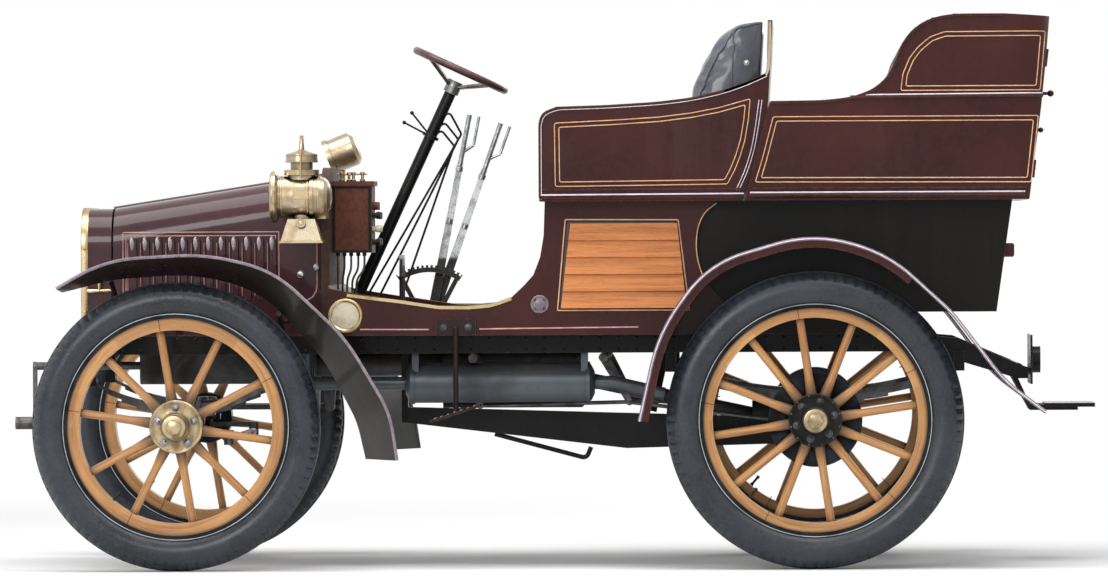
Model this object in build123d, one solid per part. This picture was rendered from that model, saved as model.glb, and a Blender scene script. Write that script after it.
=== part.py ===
from build123d import *
from math import cos, radians, sin, tan
import os

# A rear-entrance tonneau motor car of the brass era, on wooden wheels, with right-hand steering.
# Millimetres. The car faces -X, its left side is -Y and the ground is z = 0. The origin is on the
# ground, midway between the ends of the car.

# Fits used everywhere
RUNNING = 0.05          # radial clearance of a shaft that turns in a bore
SEAT_GAP = 0.3          # rest gap between a soft or loose piece and its seat
SHUT_GAP = 6.0          # gap round a panel that opens
OVERRUN = 20.0          # how far a cutting shape reaches past what it cuts

# Overall plan
FRONT_OVERHANG = 537.5  # front axle to the end of the starting handle
WHEELBASE = 1890.0
REAR_OVERHANG = 842.5   # rear axle to the end of the rear step
TRACK = 1300.0
FRONT_AXLE_X = -(FRONT_OVERHANG + WHEELBASE + REAR_OVERHANG) / 2 + FRONT_OVERHANG
REAR_AXLE_X = FRONT_AXLE_X + WHEELBASE
WHEEL_Y = TRACK / 2

# Road wheels
FRONT_TYRE_RADIUS = 428.0
REAR_TYRE_RADIUS = 440.0
FRONT_RIM_RADIUS = 331.0
REAR_RIM_RADIUS = 340.0
TYRE_WIDTH = 110.0
RIM_WIDTH = 78.0
RIM_DEPTH = 9.0
FELLOE_WIDTH = 62.0
FRONT_FELLOE_DEPTH = 36.0
REAR_FELLOE_DEPTH = 28.0
FRONT_SPOKES = 10
REAR_SPOKES = 12
FRONT_SPOKE_PHASE = 27.5
REAR_SPOKE_PHASE = 8.5
SPOKE_WIDTH = 24.0
SPOKE_ROOT_WIDTH = 35.0
SPOKE_DEPTH = 36.0
FLANGE_RADIUS = 78.0
FLANGE_THICKNESS = 8.0
HUB_RADIUS = 37.0
HUB_INBOARD = 46.0      # wheel's middle plane to the inner end of the hub
HUB_OUTBOARD = 62.0     # wheel's middle plane to the root of the hub cap
HUB_CAP_RADIUS = 34.0
HUB_CAP_LENGTH = 44.0
HUB_NUT_RADIUS = 19.0
HUB_NUT_LENGTH = 14.0
STUB_RADIUS = 16.0
STUB_OUTBOARD = 50.0    # wheel's middle plane to the end of the stub axle
STUB_STEP = 4.0         # height of the shoulder that the hub runs against
DRUM_RADIUS = 139.0
DRUM_WALL = 9.0
DRUM_WIDTH = 46.0
DRUM_INBOARD = 96.0     # wheel's middle plane to the open edge of the brake drum

# Chassis frame
RAIL_TOP_Z = 693.0
RAIL_HEIGHT = 55.0
RAIL_OUTER_Y = 370.0
RAIL_FLANGE = 45.0
RAIL_WALL = 5.0
RAIL_FRONT_X = FRONT_AXLE_X - 250.0
RAIL_REAR_X = REAR_AXLE_X + 250.0
RAIL_MID_Y = RAIL_OUTER_Y - RAIL_FLANGE / 2
CROSS_MEMBER_WIDTH = 60.0

# Springs and axles
SPRING_WIDTH = 40.0
SPRING_LEAF = 8.0
SPRING_LEAVES = 5
SPRING_EYE_RADIUS = 16.0
SPRING_PIN_RADIUS = 8.0
FRONT_EYE_X = FRONT_AXLE_X - 276.0
FRONT_EYE_Z = 560.0
FRONT_REAR_EYE_X = FRONT_AXLE_X + 276.0
FRONT_REAR_EYE_Z = 560.0
FRONT_SPRING_Z = 448.0  # underside of the front springs at the axle
REAR_SPRING_HALF = 430.0
REAR_EYE_Z = 596.0
REAR_SPRING_Z = 478.0   # underside of the rear springs at the axle
KINGPIN_INSET = 80.0    # wheel's middle plane to the kingpin
KINGPIN_RADIUS = 12.0
KNUCKLE_RADIUS = 24.0
KNUCKLE_HEIGHT = 70.0
YOKE_THICKNESS = 18.0
YOKE_REACH = 62.0
AXLE_BEAM_HEIGHT = 50.0
AXLE_BEAM_WIDTH = 42.0
AXLE_WEB = 12.0
AXLE_FLANGE = 12.0
AXLE_DROP = 12.0        # axle beam's middle below the front wheels' middle
REAR_TUBE_RADIUS = 36.0
DIFF_RADIUS = 118.0
DIFF_WIDTH = 190.0

# Steering
STEER_LOCK = 25.0
STEER_ARM = 150.0
STEER_ARM_DROP = 30.0
STEER_ARM_THICKNESS = 14.0
STEER_ARM_WIDTH = 24.0
STEER_EYE_RADIUS = 15.0
STEER_PIN_RADIUS = 6.0
TRACK_ROD_RADIUS = 11.0
DRAG_ARM = 120.0        # kingpin to the drag link's eye, inboard
DRAG_LINK_RADIUS = 10.0
DROP_ARM_LENGTH = 150.0
COLUMN_RAKE = 24.8
COLUMN_RADIUS = 18.0
COLUMN_HOLE_GAP = 3.0
COLUMN_Y = 300.0
COLUMN_FLOOR_X = FRONT_AXLE_X + 503.5
COLUMN_FLOOR_Z = 837.0
STEERING_WHEEL_AT = 727.5  # floor line to the middle of the steering wheel's rim
STEERING_WHEEL_RADIUS = 147.0
STEERING_RIM_RADIUS = 11.5
STEERING_DISH = 56.0
STEERING_HUB_RADIUS = 24.0
STEERING_HUB_HEIGHT = 40.0
STEERING_SPOKES = 4
STEERING_SPOKE_RADIUS = 6.0

# Bonnet, radiator and dash
BONNET_HALF = 270.0
BONNET_SHEET = 3.0
BONNET_FRONT_TOP_Z = 1076.0
BONNET_SLOPE = 8.8
BONNET_CORNER = 110.0
BONNET_BOTTOM_Z = 735.0
RADIATOR_FRONT_X = FRONT_AXLE_X - 312.0
RADIATOR_DEPTH = 90.0
RADIATOR_BAND = 44.0
DASH_FRONT_X = FRONT_AXLE_X + 417.0
DASH_THICKNESS = 25.0
DASH_HALF = 400.0
DASH_TOP_Z = 1196.0
DASH_CORNER = 130.0

# Body
BODY_HALF = 500.0
BODY_WALL = 20.0
FLOOR_THICKNESS = 20.0
SEAT_BASE_Z = 1090.0
RISER_X = REAR_AXLE_X - 792.5
SEAT_FRONT_X = RISER_X - 23.0
SEAT_HALF = 560.0
SEAT_WALL = 22.0
SEAT_BACK_WALL = 26.0
LOWER_HALF = BODY_HALF - BODY_WALL
LOWER_FLOOR_Z = 757.0
TONNEAU_HALF = 590.0
TONNEAU_WALL = 22.0
TONNEAU_CORNER = 95.0
DOOR_HALF = 190.0
DOOR_FREE_GAP = 8.0     # round the door's free edge, which swings out past the wall
LEDGE_FREE_GAP = 16.0   # the same for the deeper ledge and the lower leaf
WING_OUTER_Y = 738.0
WING_INNER_Y = 520.0
WING_SHEET = 4.0


def block(x0, x1, y0, y1, z0, z1):
    """Box between two corners."""
    return Pos((x0 + x1) / 2, (y0 + y1) / 2, (z0 + z1) / 2) * Box(x1 - x0, y1 - y0, z1 - z0)


def side_plate(outline, y0, y1):
    """Outline in x and z, solid from y0 to y1."""
    return extrude(Plane.XZ.offset(-y0) * Polygon(*outline, align=None), amount=y1 - y0, dir=(0, 1, 0))


def cross_plate(outline, x0, x1):
    """Outline in y and z, solid from x0 to x1."""
    return extrude(Plane.YZ.offset(x0) * Polygon(*outline, align=None), amount=x1 - x0, dir=(1, 0, 0))


def plan_plate(outline, z0, z1):
    """Outline in x and y, solid from z0 to z1."""
    return extrude(Plane.XY.offset(z0) * Polygon(*outline, align=None), amount=z1 - z0, dir=(0, 0, 1))


def rod(start, end, radius):
    """Round bar between two points."""
    start, end = Vector(*start), Vector(*end)
    run = end - start
    return extrude(Plane(origin=start, z_dir=run) * Circle(radius), amount=run.length)


def bent_rod(points, radius, bend):
    """Round bar along a path whose corners are bent to one radius."""
    path = FilletPolyline(*points, radius=bend)
    return sweep(Plane(origin=path @ 0, z_dir=path % 0) * Circle(radius), path=path)


def y_cylinder(x, y0, y1, z, radius):
    return rod((x, y0, z), (x, y1, z), radius)


def z_cylinder(x, y, z0, z1, radius):
    return rod((x, y, z0), (x, y, z1), radius)


def mirrored(shape):
    return mirror(shape, about=Plane.XZ)


def scaled(shares, x, length, z, height):
    """Outline from shares of a length and a height."""
    return [(x + along * length, z + up * height) for along, up in shares]


def save(node, *shapes):
    solids = [solid for shape in shapes for solid in shape.solids()]
    os.makedirs("parts", exist_ok=True)
    export_step(Compound(solids), f"parts/{node}.step")
    return node


# Wheels are made about the origin, axle along Y and outer side to -Y

def ring(outer, inner, y0, y1):
    return y_cylinder(0, y0, y1, 0, outer) - y_cylinder(0, y0, y1, 0, inner)


def tyre(radius, rim):
    height = radius - rim
    half, bead = TYRE_WIDTH / 2, RIM_WIDTH / 2 - RIM_DEPTH
    shoulder_y, shoulder_r = half * 0.62, radius - height * 0.14
    wall_r = rim + height * 0.5
    outline = [
        Line((rim, -bead), (rim, bead)),
        ThreePointArc((rim, bead), (wall_r, half), (shoulder_r, shoulder_y)),
        ThreePointArc((shoulder_r, shoulder_y), (radius, 0), (shoulder_r, -shoulder_y)),
        ThreePointArc((shoulder_r, -shoulder_y), (wall_r, -half), (rim, -bead)),
    ]
    return revolve(make_face(outline), Axis.Y)


def spoke(angle, root, tip):
    """Oval spoke that narrows from its mitred root to its tenon in the felloe."""
    sections = [
        (root, SPOKE_ROOT_WIDTH, SPOKE_DEPTH),
        (root + (tip - root) * 0.3, SPOKE_WIDTH, SPOKE_DEPTH * 0.86),
        (tip, SPOKE_WIDTH, SPOKE_DEPTH * 0.75),
    ]
    faces = [Plane.XY.offset(at) * Ellipse(wide / 2, deep / 2) for at, wide, deep in sections]
    return Rot(0, 90 - angle, 0) * loft(faces, ruled=True)


def wood_wheel(rim, felloe_depth, spokes, phase):
    felloe_outer = rim - RIM_DEPTH
    felloe_inner = felloe_outer - felloe_depth
    half = FELLOE_WIDTH / 2
    wheel = ring(felloe_outer, felloe_inner, -half, half)
    wheel += ring(FLANGE_RADIUS, HUB_RADIUS, -SPOKE_DEPTH / 2, SPOKE_DEPTH / 2)
    for count in range(spokes):
        angle = phase + 360 / spokes * count
        wheel += spoke(angle, FLANGE_RADIUS - FLANGE_THICKNESS, felloe_inner + felloe_depth / 3)
    return wheel


def wheel_irons(rim, with_drum):
    """Steel rim, and the hub with its two flanges, cap and, at the rear, brake drum."""
    band = ring(rim, rim - RIM_DEPTH, -RIM_WIDTH / 2, RIM_WIDTH / 2)
    face = SPOKE_DEPTH / 2
    hub = y_cylinder(0, -HUB_OUTBOARD, HUB_INBOARD, 0, HUB_RADIUS)
    hub += y_cylinder(0, -face - FLANGE_THICKNESS, -face, 0, FLANGE_RADIUS)
    hub += y_cylinder(0, face, face + FLANGE_THICKNESS, 0, FLANGE_RADIUS)
    hub += y_cylinder(0, -HUB_OUTBOARD - HUB_CAP_LENGTH, -HUB_OUTBOARD, 0, HUB_CAP_RADIUS)
    nut_face = -HUB_OUTBOARD - HUB_CAP_LENGTH
    hub += extrude(Plane.XZ.offset(-nut_face) * RegularPolygon(HUB_NUT_RADIUS, 6), HUB_NUT_LENGTH)
    if with_drum:
        drum_y = face + FLANGE_THICKNESS
        hub += ring(DRUM_RADIUS, HUB_RADIUS, drum_y, drum_y + DRUM_WALL)
        hub += ring(DRUM_RADIUS, DRUM_RADIUS - DRUM_WALL, drum_y, DRUM_INBOARD)
    bore = STUB_RADIUS + RUNNING
    hub -= y_cylinder(0, -STUB_OUTBOARD - RUNNING, HUB_INBOARD + OVERRUN, 0, bore)
    return band, hub


def build_wheels():
    # corner, axle place, tyre radius, rim radius, felloe depth, spokes, phase, brake drum
    axles = [
        ("front", FRONT_AXLE_X, FRONT_TYRE_RADIUS, FRONT_RIM_RADIUS, FRONT_FELLOE_DEPTH,
         FRONT_SPOKES, FRONT_SPOKE_PHASE, False),
        ("rear", REAR_AXLE_X, REAR_TYRE_RADIUS, REAR_RIM_RADIUS, REAR_FELLOE_DEPTH,
         REAR_SPOKES, REAR_SPOKE_PHASE, True),
    ]
    for end, x, radius, rim, felloe, spokes, phase, drum in axles:
        rubber = tyre(radius, rim)
        wood = wood_wheel(rim, felloe, spokes, phase)
        band, hub = wheel_irons(rim, drum)
        place = Pos(x, -WHEEL_Y, radius)
        for side, turn in (("left", lambda shape: shape), ("right", mirrored)):
            save(f"tyre_{end}_{side}", turn(place * rubber))
            save(f"wood_wheel_{end}_{side}", turn(place * wood))
            save(f"rim_and_hub_{end}_{side}", turn(place * band), turn(place * hub))


# Chassis

DUMB_IRON_REACH = 145.0
DUMB_IRON_DROP = 108.0
REAR_IRON_REACH = 380.0
REAR_IRON_DROP = 95.0


def channel(x0, x1):
    """Pressed steel side rail, open towards the middle of the car."""
    low, high = RAIL_TOP_Z - RAIL_HEIGHT, RAIL_TOP_Z
    outer, inner = RAIL_OUTER_Y, RAIL_OUTER_Y - RAIL_FLANGE
    rail = block(x0, x1, -outer, -inner, low, high)
    return rail - block(x0 - OVERRUN, x1 + OVERRUN, -outer + RAIL_WALL, -inner + OVERRUN,
                        low + RAIL_WALL, high - RAIL_WALL)


def dumb_iron(x, reach, drop, eye_x, eye_z):
    """Curved end of a side rail, down to a spring eye, in the direction of reach."""
    low, high = RAIL_TOP_Z - RAIL_HEIGHT, RAIL_TOP_Z
    middle_y = -RAIL_MID_Y
    way = 1 if reach > 0 else -1
    end_x = eye_x + way * SPRING_EYE_RADIUS
    outline = [
        (x, low), (x, high), (x + (end_x - x) * 0.45, high - drop * 0.16),
        (end_x, eye_z + SPRING_EYE_RADIUS), (end_x, eye_z - SPRING_EYE_RADIUS),
        (eye_x - way * SPRING_EYE_RADIUS, eye_z - SPRING_EYE_RADIUS),
        (x + (end_x - x) * 0.3, low - drop * 0.1),
    ]
    half = RAIL_FLANGE / 2
    return side_plate(outline, middle_y - half, middle_y + half)


SPRING_CHEEK = 8.0
SPRING_SIDE_GAP = 1.0


def spring_slot(x, z, radius):
    """Slot that takes a spring eye between two cheeks."""
    half = SPRING_WIDTH / 2 + SPRING_SIDE_GAP
    return block(x - radius, x + radius, -RAIL_MID_Y - half, -RAIL_MID_Y + half, z - radius, z + radius)


def hanger(x, z):
    """Bracket under a side rail with a pin for one spring eye."""
    half = SPRING_WIDTH / 2 + SPRING_SIDE_GAP
    cheeks = []
    low = RAIL_TOP_Z - RAIL_HEIGHT
    for side in (-1, 1):
        y0 = -RAIL_MID_Y + side * half
        y1 = y0 + side * SPRING_CHEEK
        cheeks.append(block(x - SPRING_EYE_RADIUS, x + SPRING_EYE_RADIUS, min(y0, y1), max(y0, y1),
                            z - SPRING_EYE_RADIUS, low))
    pin = y_cylinder(x, -RAIL_MID_Y - half - SPRING_CHEEK, -RAIL_MID_Y + half + SPRING_CHEEK, z,
                     SPRING_PIN_RADIUS)
    saddle = block(x - SPRING_EYE_RADIUS, x + SPRING_EYE_RADIUS, -RAIL_MID_Y - half - SPRING_CHEEK,
                   -RAIL_MID_Y + half + SPRING_CHEEK, low - SPRING_CHEEK, low)
    return cheeks[0] + cheeks[1] + saddle + pin


def build_frame():
    rail = channel(RAIL_FRONT_X, RAIL_REAR_X)
    rail += dumb_iron(RAIL_FRONT_X, -DUMB_IRON_REACH, DUMB_IRON_DROP, FRONT_EYE_X, FRONT_EYE_Z)
    rail += dumb_iron(RAIL_REAR_X, REAR_IRON_REACH, REAR_IRON_DROP,
                      REAR_AXLE_X + REAR_SPRING_HALF + REAR_IRON_REACH / 2, REAR_EYE_Z - REAR_IRON_DROP / 4)
    reach = SPRING_EYE_RADIUS + SPRING_LEAF
    eyes = [
        (FRONT_EYE_X, FRONT_EYE_Z), (FRONT_REAR_EYE_X, FRONT_REAR_EYE_Z),
        (REAR_AXLE_X - REAR_SPRING_HALF, REAR_EYE_Z), (REAR_AXLE_X + REAR_SPRING_HALF, REAR_EYE_Z),
    ]
    for x, z in eyes:
        rail -= spring_slot(x, z, reach)
    for x, z in eyes:
        rail += hanger(x, z)
    save("frame_rails", rail, mirrored(rail))
    inner = RAIL_OUTER_Y - RAIL_WALL
    low, high = RAIL_TOP_Z - RAIL_HEIGHT + RAIL_WALL, RAIL_TOP_Z - RAIL_WALL
    members = []
    for x in CROSS_MEMBER_X:
        member = block(x - CROSS_MEMBER_WIDTH / 2, x + CROSS_MEMBER_WIDTH / 2, -inner, inner, low, high)
        cut = block(x - CROSS_MEMBER_WIDTH / 2 + RAIL_WALL, x + CROSS_MEMBER_WIDTH / 2 - RAIL_WALL,
                    -inner - OVERRUN, inner + OVERRUN, low - OVERRUN, high - RAIL_WALL)
        members.append(member - cut)
    save("cross_members", *members)


CROSS_MEMBER_X = [RADIATOR_FRONT_X + RADIATOR_DEPTH + 35.0, DASH_FRONT_X + 90.0, RISER_X - 330.0, RISER_X + 30.0,
                  REAR_AXLE_X - 250.0, RAIL_REAR_X - 40.0]


def leaf_spring(eye_x, eye_z, other_x, other_z, centre_x, bottom_z):
    """Semi-elliptic leaf spring: curved leaves, each shorter than the one above, with rolled eyes."""
    leaves = None
    half = SPRING_WIDTH / 2
    for count in range(SPRING_LEAVES):
        share = 1 - count / SPRING_LEAVES * 0.82
        lift = (SPRING_LEAVES - 1 - count) * SPRING_LEAF
        top_rise = eye_z - bottom_z - SPRING_LEAVES * SPRING_LEAF
        ends = []
        for end_x in (eye_x, other_x):
            x = centre_x + (end_x - centre_x) * share
            ends.append((x, bottom_z + lift + top_rise * share * share))
        middle = (centre_x, bottom_z + lift)
        low = ThreePointArc(ends[0], middle, ends[1])
        high_ends = [(x, z + SPRING_LEAF) for x, z in ends]
        high = ThreePointArc(high_ends[1], (middle[0], middle[1] + SPRING_LEAF), high_ends[0])
        face = make_face([low, Line(ends[1], high_ends[1]), high, Line(high_ends[0], ends[0])])
        leaf = extrude(Plane.XZ.offset(RAIL_MID_Y - half) * face, amount=SPRING_WIDTH)
        leaves = leaf if leaves is None else leaves + leaf
    for x, z in ((eye_x, eye_z), (other_x, other_z)):
        leaves += y_cylinder(x, -RAIL_MID_Y - half, -RAIL_MID_Y + half, z, SPRING_EYE_RADIUS)
    for x, z in ((eye_x, eye_z), (other_x, other_z)):
        leaves -= y_cylinder(x, -RAIL_MID_Y - half, -RAIL_MID_Y + half, z, SPRING_PIN_RADIUS)
    return leaves


CLIP_OFFSET = 44.0
CLIP_THICKNESS = 10.0
CLIP_DROP = 16.0


def spring_clips(centre_x, bottom_z):
    """Two straps that hold a leaf spring down on its axle pad."""
    half = SPRING_WIDTH / 2 + CLIP_THICKNESS
    high = bottom_z + SPRING_LEAVES * SPRING_LEAF + CLIP_THICKNESS
    clips = []
    for side in (-1, 1):
        x = centre_x + side * CLIP_OFFSET
        clip = block(x - CLIP_THICKNESS / 2, x + CLIP_THICKNESS / 2, -RAIL_MID_Y - half, -RAIL_MID_Y + half,
                     bottom_z - CLIP_DROP, high)
        clip -= block(x - CLIP_THICKNESS, x + CLIP_THICKNESS, -RAIL_MID_Y - SPRING_WIDTH / 2,
                      -RAIL_MID_Y + SPRING_WIDTH / 2, bottom_z - CLIP_DROP - OVERRUN, high - CLIP_THICKNESS)
        clips.append(clip)
    return clips[0] + clips[1]


def build_springs():
    front = leaf_spring(FRONT_EYE_X, FRONT_EYE_Z, FRONT_REAR_EYE_X, FRONT_REAR_EYE_Z,
                        FRONT_AXLE_X, FRONT_SPRING_Z)
    rear = leaf_spring(REAR_AXLE_X - REAR_SPRING_HALF, REAR_EYE_Z,
                       REAR_AXLE_X + REAR_SPRING_HALF, REAR_EYE_Z, REAR_AXLE_X, REAR_SPRING_Z)
    front += spring_clips(FRONT_AXLE_X, FRONT_SPRING_Z)
    rear += spring_clips(REAR_AXLE_X, REAR_SPRING_Z)
    save("leaf_springs", front, rear, mirrored(front), mirrored(rear))


def build_front_axle():
    z = FRONT_TYRE_RADIUS - AXLE_DROP
    kingpin_y = WHEEL_Y - KINGPIN_INSET
    half_h, half_w = AXLE_BEAM_HEIGHT / 2, AXLE_BEAM_WIDTH / 2
    end = kingpin_y - KNUCKLE_RADIUS - YOKE_THICKNESS
    beam = block(FRONT_AXLE_X - half_w, FRONT_AXLE_X + half_w, -end, end, z - half_h, z + half_h)
    for side in (-1, 1):
        x0 = FRONT_AXLE_X + side * AXLE_WEB / 2
        x1 = FRONT_AXLE_X + side * (half_w + OVERRUN)
        beam -= block(min(x0, x1), max(x0, x1), -end + YOKE_REACH, end - YOKE_REACH,
                      z - half_h + AXLE_FLANGE, z + half_h - AXLE_FLANGE)
    pad_low, pad_high = z + half_h, FRONT_SPRING_Z
    pad = block(FRONT_AXLE_X - YOKE_REACH, FRONT_AXLE_X + YOKE_REACH, -RAIL_MID_Y - SPRING_WIDTH / 2,
                -RAIL_MID_Y + SPRING_WIDTH / 2, pad_low - AXLE_FLANGE, pad_high)
    yoke_top = FRONT_TYRE_RADIUS + KNUCKLE_HEIGHT / 2 + SEAT_GAP
    yoke_low = FRONT_TYRE_RADIUS - KNUCKLE_HEIGHT / 2 - SEAT_GAP
    jaw = block(FRONT_AXLE_X - half_w, FRONT_AXLE_X + half_w, -end - YOKE_THICKNESS + OVERRUN / 4,
                -end + YOKE_THICKNESS, yoke_low - YOKE_THICKNESS, yoke_top + YOKE_THICKNESS)
    for low in (yoke_top, yoke_low - YOKE_THICKNESS):
        lug = z_cylinder(FRONT_AXLE_X, -kingpin_y, low, low + YOKE_THICKNESS, KNUCKLE_RADIUS)
        lug += block(FRONT_AXLE_X - half_w, FRONT_AXLE_X + half_w, -kingpin_y, -end, low, low + YOKE_THICKNESS)
        jaw += lug
    jaw -= z_cylinder(FRONT_AXLE_X, -kingpin_y, yoke_low - OVERRUN * 2, yoke_top + OVERRUN * 2,
                      KINGPIN_RADIUS + RUNNING)
    save("front_axle", beam + pad + mirrored(pad) + jaw + mirrored(jaw))


def knuckle():
    """Left steering knuckle: kingpin boss, stub axle and the arm that the track rod joins."""
    kingpin_y = -(WHEEL_Y - KINGPIN_INSET)
    z = FRONT_TYRE_RADIUS
    low, high = z - KNUCKLE_HEIGHT / 2, z + KNUCKLE_HEIGHT / 2
    body = z_cylinder(FRONT_AXLE_X, kingpin_y, low, high, KNUCKLE_RADIUS)
    body += z_cylinder(FRONT_AXLE_X, kingpin_y, low - YOKE_THICKNESS, high + YOKE_THICKNESS, KINGPIN_RADIUS)
    body += y_cylinder(FRONT_AXLE_X, -WHEEL_Y - STUB_OUTBOARD, kingpin_y, z, STUB_RADIUS)
    shoulder = -WHEEL_Y + HUB_INBOARD + SEAT_GAP
    body += y_cylinder(FRONT_AXLE_X, shoulder, kingpin_y, z, STUB_RADIUS + STUB_STEP)
    return body


def steer_arm():
    """Arm from the left knuckle's foot back to the track rod."""
    kingpin_y = -(WHEEL_Y - KINGPIN_INSET)
    low = FRONT_TYRE_RADIUS - KNUCKLE_HEIGHT / 2
    x1 = FRONT_AXLE_X + STEER_ARM
    root, tip = STEER_ARM_WIDTH / 2, STEER_PIN_RADIUS
    arm_low = low + YOKE_THICKNESS / 2
    arm_high = arm_low + STEER_ARM_THICKNESS
    arm = plan_plate([(FRONT_AXLE_X, kingpin_y - root), (x1, kingpin_y - tip), (x1, kingpin_y + tip),
                      (FRONT_AXLE_X, kingpin_y + root)], arm_low, arm_high)
    arm += z_cylinder(x1, kingpin_y, arm_low, arm_high, STEER_EYE_RADIUS)
    arm += z_cylinder(x1, kingpin_y, arm_low - STEER_ARM_DROP, arm_low, STEER_PIN_RADIUS)
    return arm


def build_steering_gear():
    left = knuckle() + steer_arm()
    kingpin_y = WHEEL_Y - KINGPIN_INSET
    arm_low = FRONT_TYRE_RADIUS + KNUCKLE_HEIGHT / 2 + YOKE_THICKNESS + SEAT_GAP * 2
    arm_high = arm_low + STEER_ARM_THICKNESS
    eye_y = kingpin_y - DRAG_ARM
    half = STEER_ARM_WIDTH / 2
    drag_arm = block(FRONT_AXLE_X - half, FRONT_AXLE_X + half, eye_y, kingpin_y, arm_low, arm_high)
    drag_arm += z_cylinder(FRONT_AXLE_X, eye_y, arm_low, arm_high, STEER_EYE_RADIUS)
    drag_arm += z_cylinder(FRONT_AXLE_X, kingpin_y, arm_low, arm_high, KNUCKLE_RADIUS)
    drag_arm += z_cylinder(FRONT_AXLE_X, kingpin_y, arm_low - SEAT_GAP * 3, arm_low, KINGPIN_RADIUS)
    drag_arm += z_cylinder(FRONT_AXLE_X, eye_y, arm_low - STEER_ARM_DROP, arm_low, STEER_PIN_RADIUS)
    save("knuckle_left", left)
    save("knuckle_right", mirrored(left) + drag_arm)

    low = FRONT_TYRE_RADIUS - KNUCKLE_HEIGHT / 2 + YOKE_THICKNESS / 2
    track_eye_y = kingpin_y
    x = FRONT_AXLE_X + STEER_ARM
    eye_top, eye_low = low - SEAT_GAP, low - STEER_ARM_DROP
    track_rod = y_cylinder(x, -track_eye_y, track_eye_y, (eye_top + eye_low) / 2, TRACK_ROD_RADIUS)
    for side in (-1, 1):
        track_rod += z_cylinder(x, side * track_eye_y, eye_low, eye_top, STEER_EYE_RADIUS)
    for side, fit in ((-1, RUNNING), (1, SEAT_GAP * 3)):
        track_rod -= z_cylinder(x, side * track_eye_y, eye_low - OVERRUN, eye_top + OVERRUN,
                                STEER_PIN_RADIUS + fit)
    save("track_rod", track_rod)

    link_top = arm_low - SEAT_GAP
    link_low = link_top - STEER_ARM_DROP + SEAT_GAP * 2
    link_z = (link_top + link_low) / 2
    rear_x, rear_y = STEERING_BOX_X, RAIL_OUTER_Y + DROP_ARM_GAP + DROP_ARM_THICKNESS + DRAG_EYE_GAP
    link = rod((FRONT_AXLE_X, eye_y, link_z), (rear_x, rear_y + DRAG_EYE_DEPTH / 2, link_z), DRAG_LINK_RADIUS)
    link += z_cylinder(FRONT_AXLE_X, eye_y, link_low, link_top, STEER_EYE_RADIUS)
    link += y_cylinder(rear_x, rear_y, rear_y + DRAG_EYE_DEPTH, link_z, STEER_EYE_RADIUS)
    link -= z_cylinder(FRONT_AXLE_X, eye_y, link_low - OVERRUN, link_top + OVERRUN, STEER_PIN_RADIUS + RUNNING)
    save("drag_link", link)

    pivot_z = link_z + DROP_ARM_LENGTH
    inner_y = RAIL_OUTER_Y + DROP_ARM_GAP
    outer_y = inner_y + DROP_ARM_THICKNESS
    arm = side_plate([
        (STEERING_BOX_X - STEER_EYE_RADIUS, link_z), (STEERING_BOX_X - KNUCKLE_RADIUS, pivot_z),
        (STEERING_BOX_X + KNUCKLE_RADIUS, pivot_z), (STEERING_BOX_X + STEER_EYE_RADIUS, link_z),
    ], inner_y, outer_y)
    arm += y_cylinder(STEERING_BOX_X, inner_y, outer_y, pivot_z, KNUCKLE_RADIUS)
    arm += y_cylinder(STEERING_BOX_X, inner_y, outer_y, link_z, STEER_EYE_RADIUS)
    arm -= y_cylinder(STEERING_BOX_X, inner_y - OVERRUN, outer_y + OVERRUN, pivot_z, DROP_SHAFT_RADIUS + RUNNING)
    save("drop_arm", arm)


STEERING_BOX_X = FRONT_AXLE_X + 397.0
DROP_ARM_GAP = 6.0
DROP_ARM_THICKNESS = 12.0
DROP_SHAFT_RADIUS = 11.0
DRAG_EYE_GAP = 3.0
DRAG_EYE_DEPTH = 16.0


# Radiator and bonnet

BONNET_RADIATOR_GAP = 6.0
BONNET_START_X = RADIATOR_FRONT_X + RADIATOR_DEPTH
BONNET_END_X = DASH_FRONT_X
HINGE_RADIUS = 6.0
HINGE_PIN_GAP = 0.3
BONNET_SILL_HEIGHT = 36.0
BONNET_SILL_WIDTH = 96.0
BONNET_SILL_SHEET = 4.0
RADIATOR_BASE_Z = RAIL_TOP_Z - RAIL_HEIGHT


def bonnet_top(x):
    """Height of the bonnet's top line, which rises towards the dash."""
    return BONNET_FRONT_TOP_Z + (x - BONNET_START_X) * tan(radians(BONNET_SLOPE))


def arch(x, half, top, bottom, corner):
    """Face across the car at x: upright sides, a flat top and two rounded corners."""
    curve = FilletPolyline((-half, bottom), (-half, top), (half, top), (half, bottom), radius=corner)
    outline = [curve, Line((half, bottom), (-half, bottom))]
    return Plane.YZ.offset(x) * make_face(outline)


def hood(x0, x1, inset, bottom):
    """Solid hood form between two stations, its sheet taken in by inset."""
    faces = []
    for x in (x0, x1):
        faces.append(arch(x, BONNET_HALF - inset, bonnet_top(x) - inset, bottom, BONNET_CORNER - inset))
    return loft(faces, ruled=True)


def bonnet_hinge():
    """Hinge rod along the bonnet's top, from the radiator to the dash."""
    rise = Vector(cos(radians(BONNET_SLOPE)), 0, sin(radians(BONNET_SLOPE)))
    start = Vector(BONNET_START_X, 0, bonnet_top(BONNET_START_X) + HINGE_RADIUS / 2)
    reach = (BONNET_END_X - BONNET_START_X) / cos(radians(BONNET_SLOPE))
    return start, rise, reach


LOUVRE_COUNT = 12
LOUVRE_FIRST_X = BONNET_START_X + 64.5
LOUVRE_PITCH = 38.2
LOUVRE_LOW_Z = 800.0
LOUVRE_HIGH_Z = 988.0
LOUVRE_WIDTH = 24.0
LOUVRE_PROUD = 11.0
LOUVRE_SHEET = 2.0
# place across the width and height proud of the sheet, as shares, from front edge to mouth
LOUVRE_shares = [(-0.5, 0.0), (-0.4, 0.5), (-0.2, 0.85), (0.1, 1.0), (0.5, 1.0)]


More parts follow.
